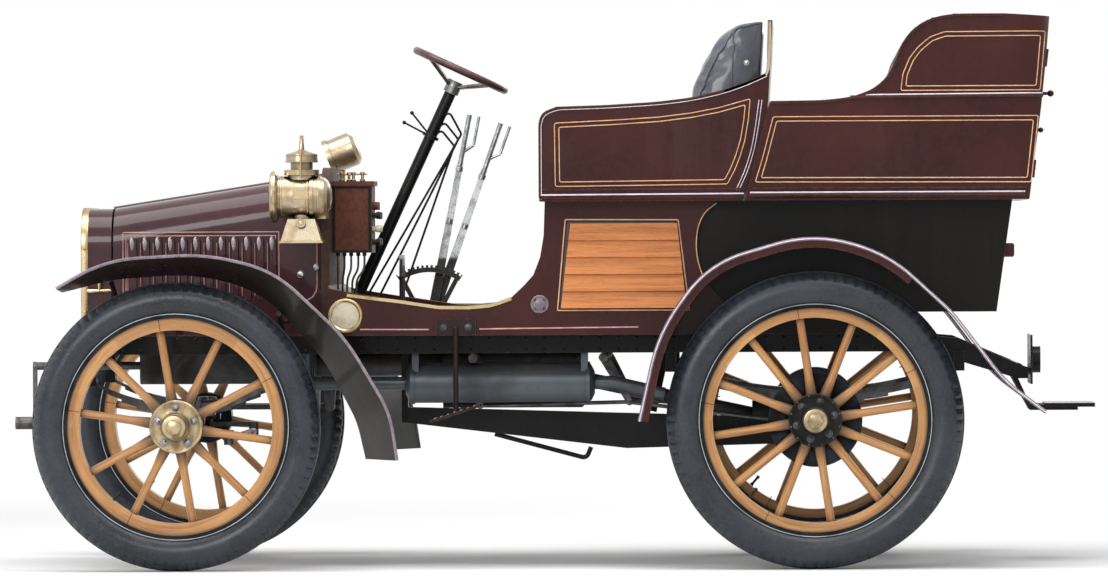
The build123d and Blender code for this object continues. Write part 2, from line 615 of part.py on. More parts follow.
def louvre(x):
    """Pressed louvre: the blister that stands out of the sheet, and the hollow that opens to the rear."""
    middle_z = (LOUVRE_LOW_Z + LOUVRE_HIGH_Z) / 2
    inside = -BONNET_HALF + BONNET_SHEET
    outline = [(x + along * LOUVRE_WIDTH, -BONNET_HALF - out * LOUVRE_PROUD) for along, out in LOUVRE_shares]
    outline += [(outline[-1][0], inside), (outline[0][0], inside)]
    form = plan_plate(outline, LOUVRE_LOW_Z, LOUVRE_HIGH_Z)
    slot = SlotOverall(LOUVRE_HIGH_Z - LOUVRE_LOW_Z, LOUVRE_WIDTH, rotation=90)
    form &= extrude(Plane.XZ.offset(BONNET_HALF + LOUVRE_PROUD) * Pos(x, middle_z) * slot,
                    amount=LOUVRE_PROUD + BONNET_SHEET, dir=(0, 1, 0))
    hollow = Pos(LOUVRE_SHEET, LOUVRE_SHEET, 0) * form
    hollow &= block(x - LOUVRE_WIDTH, x + LOUVRE_WIDTH, -BONNET_HALF - LOUVRE_PROUD, inside + OVERRUN,
                    LOUVRE_LOW_Z + LOUVRE_SHEET, LOUVRE_HIGH_Z - LOUVRE_SHEET)
    return form, hollow


def build_bonnet():
    x0, x1 = BONNET_START_X + BONNET_RADIATOR_GAP, BONNET_END_X - BONNET_RADIATOR_GAP
    shell = hood(x0, x1, 0, BONNET_BOTTOM_Z)
    shell -= hood(x0 - OVERRUN, x1 + OVERRUN, BONNET_SHEET, BONNET_BOTTOM_Z - OVERRUN)
    start, rise, reach = bonnet_hinge()
    shell -= rod(tuple(start - rise * OVERRUN), tuple(start + rise * (reach + OVERRUN)),
                 HINGE_RADIUS + HINGE_PIN_GAP)
    left = shell - block(x0 - OVERRUN, x1 + OVERRUN, 0, BONNET_HALF * 2, 0, DASH_TOP_Z * 2)
    for count in range(LOUVRE_COUNT):
        form, hollow = louvre(LOUVRE_FIRST_X + LOUVRE_PITCH * count)
        left = left + form - hollow
    save("bonnet_left", left)
    save("bonnet_right", mirrored(left))
    outer = RAIL_OUTER_Y
    sill = block(BONNET_START_X, BONNET_END_X, -outer, -outer + BONNET_SILL_WIDTH, RAIL_TOP_Z,
                 RAIL_TOP_Z + BONNET_SILL_SHEET)
    sill += block(BONNET_START_X, BONNET_END_X, -BONNET_HALF, -BONNET_HALF + BONNET_SILL_SHEET,
                  RAIL_TOP_Z, RAIL_TOP_Z + BONNET_SILL_HEIGHT)
    save("bonnet_sills", sill, mirrored(sill))


def build_radiator():
    x0, x1 = RADIATOR_FRONT_X, BONNET_START_X
    top = bonnet_top(BONNET_START_X)
    outer = loft([arch(x, BONNET_HALF, top, RADIATOR_BASE_Z, BONNET_CORNER) for x in (x0, x1)], ruled=True)
    inner = loft([arch(x, BONNET_HALF - RADIATOR_BAND, top - RADIATOR_BAND, RADIATOR_BASE_Z + RADIATOR_BAND,
                       BONNET_CORNER - RADIATOR_BAND) for x in (x0 - OVERRUN, x1 + OVERRUN)], ruled=True)
    start, rise, reach = bonnet_hinge()
    hinge = rod(tuple(start - rise * RADIATOR_RECESS), tuple(start + rise * reach), HINGE_RADIUS)
    hinge -= block(BONNET_END_X, BONNET_END_X + OVERRUN, -OVERRUN, OVERRUN, 0, DASH_TOP_Z * 2)
    lug = block(x0 + RADIATOR_RECESS, x1 - RADIATOR_RECESS, -RAIL_MID_Y, -BONNET_HALF, RAIL_TOP_Z,
                RAIL_TOP_Z + RADIATOR_RECESS)
    save("radiator_shell", outer - inner + hinge + lug + mirrored(lug))
    core = loft([arch(x, BONNET_HALF - RADIATOR_BAND, top - RADIATOR_BAND, RADIATOR_BASE_Z + RADIATOR_BAND,
                      BONNET_CORNER - RADIATOR_BAND)
                 for x in (x0 + RADIATOR_RECESS, x1 - RADIATOR_RECESS)], ruled=True)
    save("radiator_core", core)


RADIATOR_RECESS = 12.0


def build_dash():
    face = arch(DASH_FRONT_X, DASH_HALF, DASH_TOP_Z, RAIL_TOP_Z, DASH_CORNER)
    board = extrude(face, amount=DASH_THICKNESS, dir=(1, 0, 0))
    board -= column_rod(COLUMN_RADIUS + COLUMN_HOLE_GAP, -DROP_LENGTH, COLUMN_LENGTH)
    save("dashboard", board)


# Mechanism under the floor

ENGINE_HALF = 150.0
ENGINE_BEHIND = 75.0
ENGINE_ARM_DEPTH = 22.0
ENGINE_LENGTH = 480.0
ENGINE_LOW = 545.0
ENGINE_HIGH = 985.0
ENGINE_CORNER = 30.0
CRANKCASE_HIGH = 765.0
CYLINDER_COUNT = 4
CYLINDER_RADIUS = 56.0
CYLINDER_PITCH = 118.0
HEAD_LOW = 905.0
HEAD_HALF = 72.0
HEAD_GAP = 10.0
FLYWHEEL_RADIUS = 190.0
FLYWHEEL_WIDTH = 48.0
FLYWHEEL_HUB_RADIUS = 34.0
MANIFOLD_RADIUS = 20.0
BRANCH_RADIUS = 16.0
MANIFOLD_Y = 108.0
MANIFOLD_Z = 925.0
MANIFOLD_SHORT = 42.0   # manifolds' rear end to the engine's rear face
MAGNETO_RADIUS = 38.0
MAGNETO_LENGTH = 130.0
MAGNETO_Y = 150.0
MAGNETO_Z = 795.0
GEARBOX_HALF = 130.0
GEARBOX_LENGTH = 420.0
GEARBOX_FRONT_X = RISER_X - 330.0
GEARBOX_LOW = 470.0
GEARBOX_HIGH = RAIL_TOP_Z - RAIL_HEIGHT + RAIL_WALL
SHAFT_RADIUS = 22.0
SHAFT_Z = 560.0
SILENCER_RADIUS = 59.0
SILENCER_LENGTH = 566.0
SILENCER_FRONT_X = RISER_X - 433.0
SILENCER_Y = -300.0
SILENCER_Z = 548.0
SILENCER_STRAP = 20.0
PIPE_RADIUS = 20.0
PIPE_BEND = 56.0
DOWNPIPE_Y = -216.0
TAILPIPE_END = (RISER_X + 342.0, SILENCER_Y, 512.0)
# distance from either end and radius of the silencer's dished ends and seam bands
SILENCER_STEPS = [(0.0, 34.0), (8.0, 50.0), (14.0, 59.0), (14.0, 63.0), (26.0, 63.0), (26.0, 59.0)]
SPRAG_RADIUS = 7.0
SPRAG_BEND = 16.0
SPRAG_POINTS = [(RISER_X - 172.0, 392.0), (RISER_X + 104.0, 318.0), (RISER_X + 118.0, 352.0)]
TORQUE_FRONT_X = RISER_X - 452.0
TORQUE_Y = -170.0
TORQUE_WIDTH = 40.0
TORQUE_FRONT_Z = 452.0
TORQUE_FRONT_DEPTH = 46.0
TORQUE_REAR_DEPTH = 74.0


def build_engine_and_gearbox():
    engine_x = BONNET_START_X + ENGINE_BEHIND
    end_x = engine_x + ENGINE_LENGTH
    engine = block(engine_x, end_x, -ENGINE_HALF, ENGINE_HALF, ENGINE_LOW, CRANKCASE_HIGH)
    engine = fillet(engine.edges().filter_by(Axis.X), ENGINE_CORNER)
    first_x = (engine_x + end_x - CYLINDER_PITCH * (CYLINDER_COUNT - 1)) / 2
    for count in range(CYLINDER_COUNT):
        x = first_x + CYLINDER_PITCH * count
        engine += z_cylinder(x, 0, CRANKCASE_HIGH, HEAD_LOW, CYLINDER_RADIUS)
        for side in (-1, 1):
            engine += y_cylinder(x, 0, side * MANIFOLD_Y, MANIFOLD_Z, BRANCH_RADIUS)
    for pair in range(CYLINDER_COUNT // 2):
        x0 = first_x + CYLINDER_PITCH * (2 * pair - 0.5) + HEAD_GAP / 2
        head = block(x0, x0 + CYLINDER_PITCH * 2 - HEAD_GAP, -HEAD_HALF, HEAD_HALF, HEAD_LOW, ENGINE_HIGH)
        engine += fillet(head.edges().filter_by(Axis.X).group_by(Axis.Z)[-1], ENGINE_CORNER)
    for side in (-1, 1):
        engine += rod((first_x - MANIFOLD_RADIUS, side * MANIFOLD_Y, MANIFOLD_Z),
                      (end_x - MANIFOLD_SHORT, side * MANIFOLD_Y, MANIFOLD_Z), MANIFOLD_RADIUS)
    engine += rod((first_x, MAGNETO_Y, MAGNETO_Z), (first_x + MAGNETO_LENGTH, MAGNETO_Y, MAGNETO_Z), MAGNETO_RADIUS)
    engine += block(first_x + ENGINE_CORNER, first_x + MAGNETO_LENGTH - ENGINE_CORNER, MAGNETO_Y - ENGINE_CORNER * 2,
                    MAGNETO_Y - BRANCH_RADIUS, CRANKCASE_HIGH - ENGINE_CORNER, MAGNETO_Z)
    engine += rod((end_x, 0, CRANK_Z), (end_x + FLYWHEEL_WIDTH, 0, CRANK_Z), FLYWHEEL_RADIUS)
    engine += rod((end_x, 0, CRANK_Z), (GEARBOX_FRONT_X, 0, CRANK_Z), FLYWHEEL_HUB_RADIUS)
    inner = RAIL_OUTER_Y - RAIL_WALL
    bearer = RAIL_TOP_Z - RAIL_HEIGHT + RAIL_WALL
    for x in (engine_x, end_x - CROSS_MEMBER_WIDTH):
        engine += block(x, x + CROSS_MEMBER_WIDTH, -inner, inner, bearer, bearer + ENGINE_ARM_DEPTH)
    save("engine_block", engine)
    box = block(GEARBOX_FRONT_X, GEARBOX_FRONT_X + GEARBOX_LENGTH, -GEARBOX_HALF, GEARBOX_HALF,
                GEARBOX_LOW, GEARBOX_HIGH)
    box = fillet(box.edges().filter_by(Axis.X), GEARBOX_HALF / 5)
    diff_z = REAR_TYRE_RADIUS
    tail_x = GEARBOX_FRONT_X + GEARBOX_LENGTH
    shaft_end = REAR_AXLE_X - DIFF_WIDTH
    shaft = rod((tail_x - SHAFT_RADIUS, 0, SHAFT_Z), (shaft_end + SHAFT_RADIUS, 0, diff_z), SHAFT_RADIUS)
    shaft -= block(shaft_end, REAR_AXLE_X, -DIFF_WIDTH, DIFF_WIDTH, 0, RAIL_TOP_Z)
    save("gearbox_and_shaft", box + shaft)


def build_rear_axle():
    z = REAR_TYRE_RADIUS
    tube_end = WHEEL_Y - DRUM_INBOARD - SHUT_GAP
    axle = y_cylinder(REAR_AXLE_X, -tube_end, tube_end, z, REAR_TUBE_RADIUS)
    bowl = Pos(REAR_AXLE_X, 0, z) * Sphere(DIFF_RADIUS)
    half = DIFF_WIDTH / 2
    bowl &= block(REAR_AXLE_X - DIFF_RADIUS, REAR_AXLE_X + DIFF_RADIUS, -half, half,
                  z - DIFF_RADIUS, z + DIFF_RADIUS)
    axle += bowl
    axle += rod((REAR_AXLE_X - DIFF_WIDTH, 0, z), (REAR_AXLE_X, 0, z), REAR_TUBE_RADIUS * 1.3)
    for side in (-1, 1):
        end_y = side * (WHEEL_Y + STUB_OUTBOARD)
        axle += rod((REAR_AXLE_X, side * tube_end, z), (REAR_AXLE_X, end_y, z), STUB_RADIUS)
        y0 = side * RAIL_MID_Y - SPRING_WIDTH / 2
        axle += block(REAR_AXLE_X - YOKE_REACH, REAR_AXLE_X + YOKE_REACH, y0, y0 + SPRING_WIDTH,
                      z, REAR_SPRING_Z)
        plate_y = side * (WHEEL_Y - DRUM_INBOARD - SHUT_GAP)
        axle += rod((REAR_AXLE_X, plate_y, z), (REAR_AXLE_X, plate_y - side * DRUM_WALL, z), DRUM_RADIUS)
    save("rear_axle", axle)


def build_exhaust_and_torque_arm():
    x0, x1 = SILENCER_FRONT_X, SILENCER_FRONT_X + SILENCER_LENGTH
    y, z = SILENCER_Y, SILENCER_Z
    steps = [(0, 0), (0, PIPE_RADIUS)] + [(along, radius) for along, radius in SILENCER_STEPS]
    steps += [(SILENCER_LENGTH - along, radius) for along, radius in reversed(SILENCER_STEPS)]
    steps += [(SILENCER_LENGTH, PIPE_RADIUS), (SILENCER_LENGTH, 0)]
    drum = Pos(x0, y, z) * revolve(Plane.XZ * Polygon(*steps, align=None), Axis.X)
    engine_end = BONNET_START_X + ENGINE_BEHIND + ENGINE_LENGTH
    down_x = engine_end + PIPE_RADIUS * 1.3
    drum += bent_rod([(engine_end - MANIFOLD_SHORT, -MANIFOLD_Y, MANIFOLD_Z), (down_x, -MANIFOLD_Y, MANIFOLD_Z),
                      (down_x, DOWNPIPE_Y, MANIFOLD_Z), (down_x, DOWNPIPE_Y, z),
                      (down_x + PIPE_BEND * 2, y, z), (x0 + PIPE_RADIUS, y, z)], PIPE_RADIUS, PIPE_BEND / 2)
    drum += bent_rod([(x1 - PIPE_RADIUS, y, z), (x1 + PIPE_BEND, y, z), TAILPIPE_END], PIPE_RADIUS, PIPE_BEND)
    for x in (x0 + SILENCER_STRAP, x1 - SILENCER_STRAP * 2):
        drum += block(x, x + SILENCER_STRAP, -RAIL_MID_Y, y + SILENCER_STRAP, z, RAIL_TOP_Z - RAIL_HEIGHT)
    save("silencer", drum)
    rear_z = REAR_TYRE_RADIUS - OVERRUN * 2
    half = TORQUE_WIDTH / 2
    end_x = REAR_AXLE_X
    beam = side_plate([
        (TORQUE_FRONT_X, TORQUE_FRONT_Z - TORQUE_FRONT_DEPTH / 2),
        (TORQUE_FRONT_X, TORQUE_FRONT_Z + TORQUE_FRONT_DEPTH / 2),
        (end_x, rear_z + TORQUE_REAR_DEPTH / 2), (end_x, rear_z - TORQUE_REAR_DEPTH / 2),
        (end_x - SILENCER_LENGTH, rear_z - TORQUE_REAR_DEPTH * 0.7),
    ], TORQUE_Y - half, TORQUE_Y + half)
    beam -= y_cylinder(REAR_AXLE_X, TORQUE_Y - half - OVERRUN, TORQUE_Y + half + OVERRUN, REAR_TYRE_RADIUS,
                       REAR_TUBE_RADIUS)
    hang_x = CROSS_MEMBER_X[2]
    strap = block(TORQUE_FRONT_X, TORQUE_FRONT_X + OVERRUN, TORQUE_Y - half, TORQUE_Y + half,
                  TORQUE_FRONT_Z, RAIL_TOP_Z - RAIL_WALL * 2)
    strap += block(TORQUE_FRONT_X, hang_x - CROSS_MEMBER_WIDTH / 2, TORQUE_Y - half, TORQUE_Y + half,
                   RAIL_TOP_Z - RAIL_WALL * 5, RAIL_TOP_Z - RAIL_WALL * 2)
    sprag = bent_rod([(x, TORQUE_Y, z) for x, z in SPRAG_POINTS], SPRAG_RADIUS, SPRAG_BEND)
    save("torque_arm", beam + strap + sprag)


BRAKE_SHAFT_RADIUS = 14.0
BRAKE_SHAFT_Z = RAIL_TOP_Z - RAIL_HEIGHT - BRAKE_SHAFT_RADIUS
BRAKE_FRONT_X = RISER_X - 230.0
BRAKE_REAR_X = RISER_X + 160.0
BRAKE_LEVER_THICKNESS = 10.0
BRAKE_LEVER_ROOT = 18.0
BRAKE_LEVER_TIP = 10.0
BRAKE_FRONT_TIP = (RISER_X - 214.0, 478.0)
BRAKE_REAR_TIP = (RISER_X + 236.0, 488.0)
BRAKE_PULL_Y = -220.0
BRAKE_REAR_Y = 262.0
BRAKE_ROD_RADIUS = 6.0
BRAKE_END_X = REAR_AXLE_X - 118.0
BRAKE_END_Y = WHEEL_Y - DRUM_INBOARD - SHUT_GAP - DRUM_WALL - 5.5


def brake_lever(x, tip, y):
    """Tapered lever that hangs from a brake cross shaft to a rod's pin."""
    y0, y1 = y - BRAKE_LEVER_THICKNESS / 2, y + BRAKE_LEVER_THICKNESS / 2
    lever = side_plate([(x - BRAKE_LEVER_ROOT, BRAKE_SHAFT_Z), (x + BRAKE_LEVER_ROOT, BRAKE_SHAFT_Z),
                        (tip[0] + BRAKE_LEVER_TIP, tip[1]), (tip[0] - BRAKE_LEVER_TIP, tip[1])], y0, y1)
    lever += y_cylinder(x, y0, y1, BRAKE_SHAFT_Z, BRAKE_LEVER_ROOT - BRAKE_LEVER_TIP / 2)
    return lever + y_cylinder(tip[0], y0, y1, tip[1], BRAKE_LEVER_TIP)


def build_brake_rods():
    """Cross shafts under the side rails, their levers, and the pull rods back to the rear drums."""
    front = y_cylinder(BRAKE_FRONT_X, -RAIL_MID_Y, -GEARBOX_HALF, BRAKE_SHAFT_Z, BRAKE_SHAFT_RADIUS)
    rear = y_cylinder(BRAKE_REAR_X, -RAIL_MID_Y, RAIL_MID_Y, BRAKE_SHAFT_Z, BRAKE_SHAFT_RADIUS)
    work = front + brake_lever(BRAKE_FRONT_X, BRAKE_FRONT_TIP, BRAKE_PULL_Y)
    work += rear + brake_lever(BRAKE_REAR_X, BRAKE_REAR_TIP, BRAKE_PULL_Y)
    work += rod((BRAKE_FRONT_TIP[0], BRAKE_PULL_Y, BRAKE_FRONT_TIP[1]),
                (BRAKE_REAR_TIP[0], BRAKE_PULL_Y, BRAKE_REAR_TIP[1]), BRAKE_ROD_RADIUS)
    for side in (-1, 1):
        work += brake_lever(BRAKE_REAR_X, BRAKE_REAR_TIP, side * BRAKE_REAR_Y)
        work += rod((BRAKE_REAR_TIP[0], side * BRAKE_REAR_Y, BRAKE_REAR_TIP[1]),
                    (BRAKE_END_X, side * BRAKE_END_Y, REAR_TYRE_RADIUS), BRAKE_ROD_RADIUS)
    save("brake_rods", work)


# Body

FRONT_SIDE_X0 = DASH_FRONT_X
FRONT_SIDE_X1 = RISER_X + 519.0
SIDE_LENGTH = FRONT_SIDE_X1 - FRONT_SIDE_X0
SIDE_HEIGHT = SEAT_BASE_Z - RAIL_TOP_Z
# along and up, as shares of the side panel's length and height
SIDE_shares = [
    (0.0, 0.0), (0.0, 0.37), (0.066, 0.33), (0.196, 0.265), (0.297, 0.22), (0.37, 0.195), (0.42, 0.22),
    (0.477, 0.285), (0.507, 0.37), (0.531, 0.45), (0.548, 0.584), (0.557, 0.745), (0.56, 1.0),
    (0.981, 1.0), (0.95, 0.88), (0.934, 0.715), (0.938, 0.554), (0.954, 0.405), (1.0, 0.26), (1.0, 0.0),
]
# along and up, as shares of the front seat's length and of its height above the seat base
SEAT_LENGTH = 694.0
SEAT_HEIGHT = 534.0
SEAT_shares = [
    (0.0, 0.0), (0.0, 0.444), (0.072, 0.526), (0.282, 0.534), (0.5, 0.55), (0.65, 0.573), (0.79, 0.614),
    (0.893, 0.66), (0.975, 0.703), (0.98, 1.0), (1.0, 1.0), (0.981, 0.56), (0.965, 0.39), (0.91, 0.172),
    (0.866, 0.0),
]
TONNEAU_LENGTH = 911.0
TONNEAU_HEIGHT = 550.0
# along from the front foot and up, as shares of the tonneau's length and height
TONNEAU_shares = [
    (0.0, 0.0), (0.0845, 0.53), (0.266, 0.54), (0.36, 0.555), (0.424, 0.596), (0.468, 0.657), (0.496, 0.74),
    (0.518, 0.836), (0.554, 0.918), (0.611, 0.978), (0.684, 1.0), (0.843, 1.0), (0.995, 0.985),
    (0.98, 0.713), (0.966, 0.498), (0.944, 0.235), (0.926, 0.0),
]
TONNEAU_FRONT_X = RISER_X + 585.0
LOWER_REAR_TOP_X = TONNEAU_FRONT_X + TONNEAU_LENGTH - 115.5
LOWER_REAR_FOOT_X = LOWER_REAR_TOP_X - 48.0
LOWER_FRONT_X = RISER_X + 440.0
LEDGE = 20.0


def rounded_plan(x0, x1, half, corner, z0, z1):
    """Plan form with two rounded rear corners."""
    curve = FilletPolyline((x0, -half), (x1, -half), (x1, half), (x0, half), radius=corner)
    face = make_face([curve, Line((x0, half), (x0, -half))])
    return extrude(Plane.XY.offset(z0) * face, amount=z1 - z0, dir=(0, 0, 1))


def build_body_sides():
    outline = scaled(SIDE_shares, FRONT_SIDE_X0, SIDE_LENGTH, RAIL_TOP_Z, SIDE_HEIGHT)
    panel = side_plate(outline, -BODY_HALF, -BODY_HALF + BODY_WALL)
    panel -= block(FRONT_SIDE_X0 - OVERRUN, FRONT_SIDE_X0 + DASH_THICKNESS, -BODY_HALF - OVERRUN,
                   -BODY_HALF + BODY_WALL + OVERRUN, RAIL_TOP_Z - OVERRUN, SEAT_BASE_Z)
    save("body_sides", panel, mirrored(panel))


SLAT_COUNT = 5
SLAT_PROUD = 14.0
SLAT_LIP = 5.0
PANEL_FRONT_shares = (0.599, 0.623)   # foot and head of the louvred panel's front edge
PANEL_REAR_shares = (0.911, 0.888)
PANEL_FOOT_share = 0.20
PANEL_HEAD_share = 0.835


def build_louvre_panels():
    x_foot = [FRONT_SIDE_X0 + SIDE_LENGTH * share for share in (PANEL_FRONT_shares[0], PANEL_REAR_shares[0])]
    x_head = [FRONT_SIDE_X0 + SIDE_LENGTH * share for share in (PANEL_FRONT_shares[1], PANEL_REAR_shares[1])]
    z_foot = RAIL_TOP_Z + SIDE_HEIGHT * PANEL_FOOT_share
    z_head = RAIL_TOP_Z + SIDE_HEIGHT * PANEL_HEAD_share
    pitch = (z_head - z_foot) / SLAT_COUNT
    outline = [(-BODY_HALF, z_foot)]
    for count in range(SLAT_COUNT):
        outline.append((-BODY_HALF - SLAT_PROUD, z_foot + pitch * count))
        outline.append((-BODY_HALF - SLAT_LIP, z_foot + pitch * (count + 1)))
    outline.append((-BODY_HALF, z_head))
    slats = cross_plate(outline, min(x_foot + x_head) - OVERRUN, max(x_foot + x_head) + OVERRUN)
    trim = side_plate([(x_foot[0], z_foot), (x_head[0], z_head), (x_head[1], z_head), (x_foot[1], z_foot)],
                      -BODY_HALF - OVERRUN, -BODY_HALF)
    slats &= trim
    slats -= under_rear_wing(-SHUT_GAP, -BODY_HALF - OVERRUN, -BODY_HALF + OVERRUN)
    save("louvre_panels", slats, mirrored(slats))


TOE_BOARD_FOOT_X = DASH_FRONT_X + 175.0
TOE_BOARD_HEAD_Z = RAIL_TOP_Z + 150.0


def floor_and_toe_board():
    inner = LOWER_HALF
    head_x = DASH_FRONT_X + DASH_THICKNESS
    floor = block(head_x, RISER_X, -inner, inner, RAIL_TOP_Z, RAIL_TOP_Z + FLOOR_THICKNESS)
    thick = FLOOR_THICKNESS * 1.5
    foot_z = RAIL_TOP_Z + FLOOR_THICKNESS
    return floor + side_plate([(head_x, TOE_BOARD_HEAD_Z), (TOE_BOARD_FOOT_X, foot_z),
                               (TOE_BOARD_FOOT_X - thick, foot_z), (head_x, TOE_BOARD_HEAD_Z - thick)], -inner, inner)


def build_floor():
    inner = LOWER_HALF
    floor = floor_and_toe_board()
    floor -= column_rod(COLUMN_RADIUS + COLUMN_HOLE_GAP, -DROP_LENGTH, STEERING_WHEEL_AT)
    riser = block(RISER_X, RISER_X + BODY_WALL, -inner, inner, RAIL_TOP_Z, SEAT_BASE_Z)
    save("floor_boards", floor + riser)


DROP_LENGTH = 330.0     # floor line to the foot of the steering column


def column_point(distance, y=COLUMN_Y):
    """Point on the steering column's axis, a distance above the floor line."""
    return (COLUMN_FLOOR_X + distance * sin(radians(COLUMN_RAKE)), y,
            COLUMN_FLOOR_Z + distance * cos(radians(COLUMN_RAKE)))


def column_rod(radius, start, end):
    return rod(column_point(start), column_point(end), radius)


COLUMN_LENGTH = STEERING_WHEEL_AT - STEERING_DISH - STEERING_HUB_HEIGHT / 2 - SEAT_GAP
BOX_LENGTH = 110.0
BOX_HALF = 42.0
CONTROL_DISC_RADIUS = 26.0
CONTROL_DISC_AT = 500.0
CONTROL_DISC_THICKNESS = 10.0
CONTROL_LEVER_LENGTH = 92.0
CONTROL_LEVER_RADIUS = 3.0
CONTROL_LEVERS = [(-62.0, 8.0), (-38.0, -8.0)]    # lean towards the front in degrees, and step aside
CABLE_RADIUS = 3.5
CABLE_RISE = 12.0
CABLE_BEND = 11.0
# place on the column, then bow and foot as x from the column's floor point and height, and step aside
CABLE_RUNS = [
    (576.0, 307.0, 1302.0, 4.0, 787.0, -9.0),
    (540.0, 297.0, 1286.0, 31.0, 764.0, 0.0),
    (514.0, 284.0, 1266.0, 89.0, 713.0, 9.0),
]


def build_column():
    tube = column_rod(COLUMN_RADIUS, -DROP_LENGTH + BOX_LENGTH, COLUMN_LENGTH)
    link_z = drag_link_height()
    pivot_z = link_z + DROP_ARM_LENGTH
    box = block(STEERING_BOX_X - BOX_LENGTH / 2, STEERING_BOX_X + BOX_LENGTH / 2,
                COLUMN_Y - BOX_HALF, RAIL_OUTER_Y - RAIL_FLANGE, pivot_z - BOX_HALF, RAIL_TOP_Z - RAIL_WALL)
    shaft = y_cylinder(STEERING_BOX_X, COLUMN_Y, RAIL_OUTER_Y + DROP_ARM_GAP + DROP_ARM_THICKNESS, pivot_z,
                       DROP_SHAFT_RADIUS)
    disc = column_rod(CONTROL_DISC_RADIUS, CONTROL_DISC_AT, CONTROL_DISC_AT + CONTROL_DISC_THICKNESS)
    for lean, side in CONTROL_LEVERS:
        start = column_point(CONTROL_DISC_AT + CONTROL_DISC_THICKNESS / 2)
        end = (start[0] + CONTROL_LEVER_LENGTH * sin(radians(lean)), start[1] + side,
               start[2] + CONTROL_LEVER_LENGTH * cos(radians(lean)))
        disc += rod(start, end, CONTROL_LEVER_RADIUS)
        disc += Pos(*end) * Sphere(CONTROL_LEVER_RADIUS * 2)
    save("steering_column", tube + box + shaft + disc)


def build_control_cables():
    """Cased cables that leave the column in a bow and run down to the toe board."""
    cables = []
    for at, bow_x, bow_z, foot_x, foot_z, side in CABLE_RUNS:
        start = column_point(at, COLUMN_Y + side)
        start = (start[0] + COLUMN_RADIUS / cos(radians(COLUMN_RAKE)) - CABLE_RADIUS, start[1], start[2])
        bow = (COLUMN_FLOOR_X + bow_x, COLUMN_Y + side, bow_z)
        rise = (start[0] + CABLE_RISE, COLUMN_Y + side, start[2] + CABLE_RISE)
        foot = (COLUMN_FLOOR_X + foot_x, COLUMN_Y + side, foot_z)
        cable = bent_rod([start, rise, bow, foot], CABLE_RADIUS, CABLE_BEND)
        cables.append(cable - column_rod(COLUMN_RADIUS, 0, COLUMN_LENGTH) - floor_and_toe_board())
    save("control_cables", *cables)


def drag_link_height():
    arm_low = FRONT_TYRE_RADIUS + KNUCKLE_HEIGHT / 2 + YOKE_THICKNESS + SEAT_GAP * 2
    link_top = arm_low - SEAT_GAP
    return (link_top + link_top - STEER_ARM_DROP + SEAT_GAP * 2) / 2


def build_steering_wheel():
    rim = Torus(STEERING_WHEEL_RADIUS, STEERING_RIM_RADIUS)
    wheel = rim + Pos(0, 0, -STEERING_DISH) * Cylinder(STEERING_HUB_RADIUS, STEERING_HUB_HEIGHT)
    for count in range(STEERING_SPOKES):
        arm = rod((STEERING_HUB_RADIUS / 2, 0, -STEERING_DISH),
                  (STEERING_WHEEL_RADIUS, 0, 0), STEERING_SPOKE_RADIUS)
        wheel += Rot(0, 0, 360 / STEERING_SPOKES * (count + 0.5)) * arm
    place = Location(Plane(origin=column_point(STEERING_WHEEL_AT), x_dir=(0, 1, 0),
                           z_dir=(sin(radians(COLUMN_RAKE)), 0, cos(radians(COLUMN_RAKE)))))
    save("steering_wheel", place * wheel)


def seat_back_line(gap):
    """Inner face of the front seat's back, from its head to its foot, set forward by a gap."""
    outline = scaled(SEAT_shares, SEAT_FRONT_X, SEAT_LENGTH, SEAT_BASE_Z, SEAT_HEIGHT)
    return [(x - SEAT_BACK_WALL - gap, z + SEAT_WALL) for x, z in outline[10:]]


def build_front_seat():
    z0, z1 = SEAT_BASE_Z, SEAT_BASE_Z + SEAT_HEIGHT
    outline = scaled(SEAT_shares, SEAT_FRONT_X, SEAT_LENGTH, z0, SEAT_HEIGHT)
    shell = side_plate(outline, -SEAT_HALF, SEAT_HALF)
    inner = seat_back_line(0) + [(SEAT_FRONT_X - OVERRUN, z0 + SEAT_WALL), (SEAT_FRONT_X - OVERRUN, z1 * 2),
                                 (outline[10][0] - SEAT_BACK_WALL, z1 * 2)]
    shell -= side_plate(inner, -SEAT_HALF + SEAT_WALL, SEAT_HALF - SEAT_WALL)
    save("front_seat_shell", shell)


CUSHION_HALF = SEAT_HALF - SEAT_WALL - 4.0
FRONT_CUSHION_HEIGHT = 150.0
FRONT_CUSHION_LENGTH = 500.0
SQUAB_THICKNESS = 120.0
SQUAB_TOP_Z = SEAT_BASE_Z + 532.0


def build_front_cushions():
    low = SEAT_BASE_Z + SEAT_WALL + SEAT_GAP
    x0 = SEAT_FRONT_X + SEAT_WALL
    cushion = block(x0, x0 + FRONT_CUSHION_LENGTH, -CUSHION_HALF, CUSHION_HALF, low, low + FRONT_CUSHION_HEIGHT)
    cushion = fillet(cushion.edges().filter_by(Axis.Y).group_by(Axis.Z)[-1], FRONT_CUSHION_HEIGHT / 4)
    save("front_cushion", cushion)
    head, bend, waist, hip = seat_back_line(SEAT_GAP * 4)[:4]
    cushion_top = low + FRONT_CUSHION_HEIGHT + SEAT_GAP
    share = (cushion_top - hip[1]) / (waist[1] - hip[1])
    seat_x = hip[0] + (waist[0] - hip[0]) * share
    share = (SQUAB_TOP_Z - bend[1]) / (head[1] - bend[1])
    head_x = bend[0] + (head[0] - bend[0]) * share
    squab = side_plate([
        (seat_x, cushion_top), waist, bend, (head_x, SQUAB_TOP_Z), (head_x - SQUAB_THICKNESS, SQUAB_TOP_Z),
        (waist[0] - SQUAB_THICKNESS * 1.4, waist[1]), (seat_x - SQUAB_THICKNESS, cushion_top),
    ], -CUSHION_HALF, CUSHION_HALF)
    save("front_squab", squab)


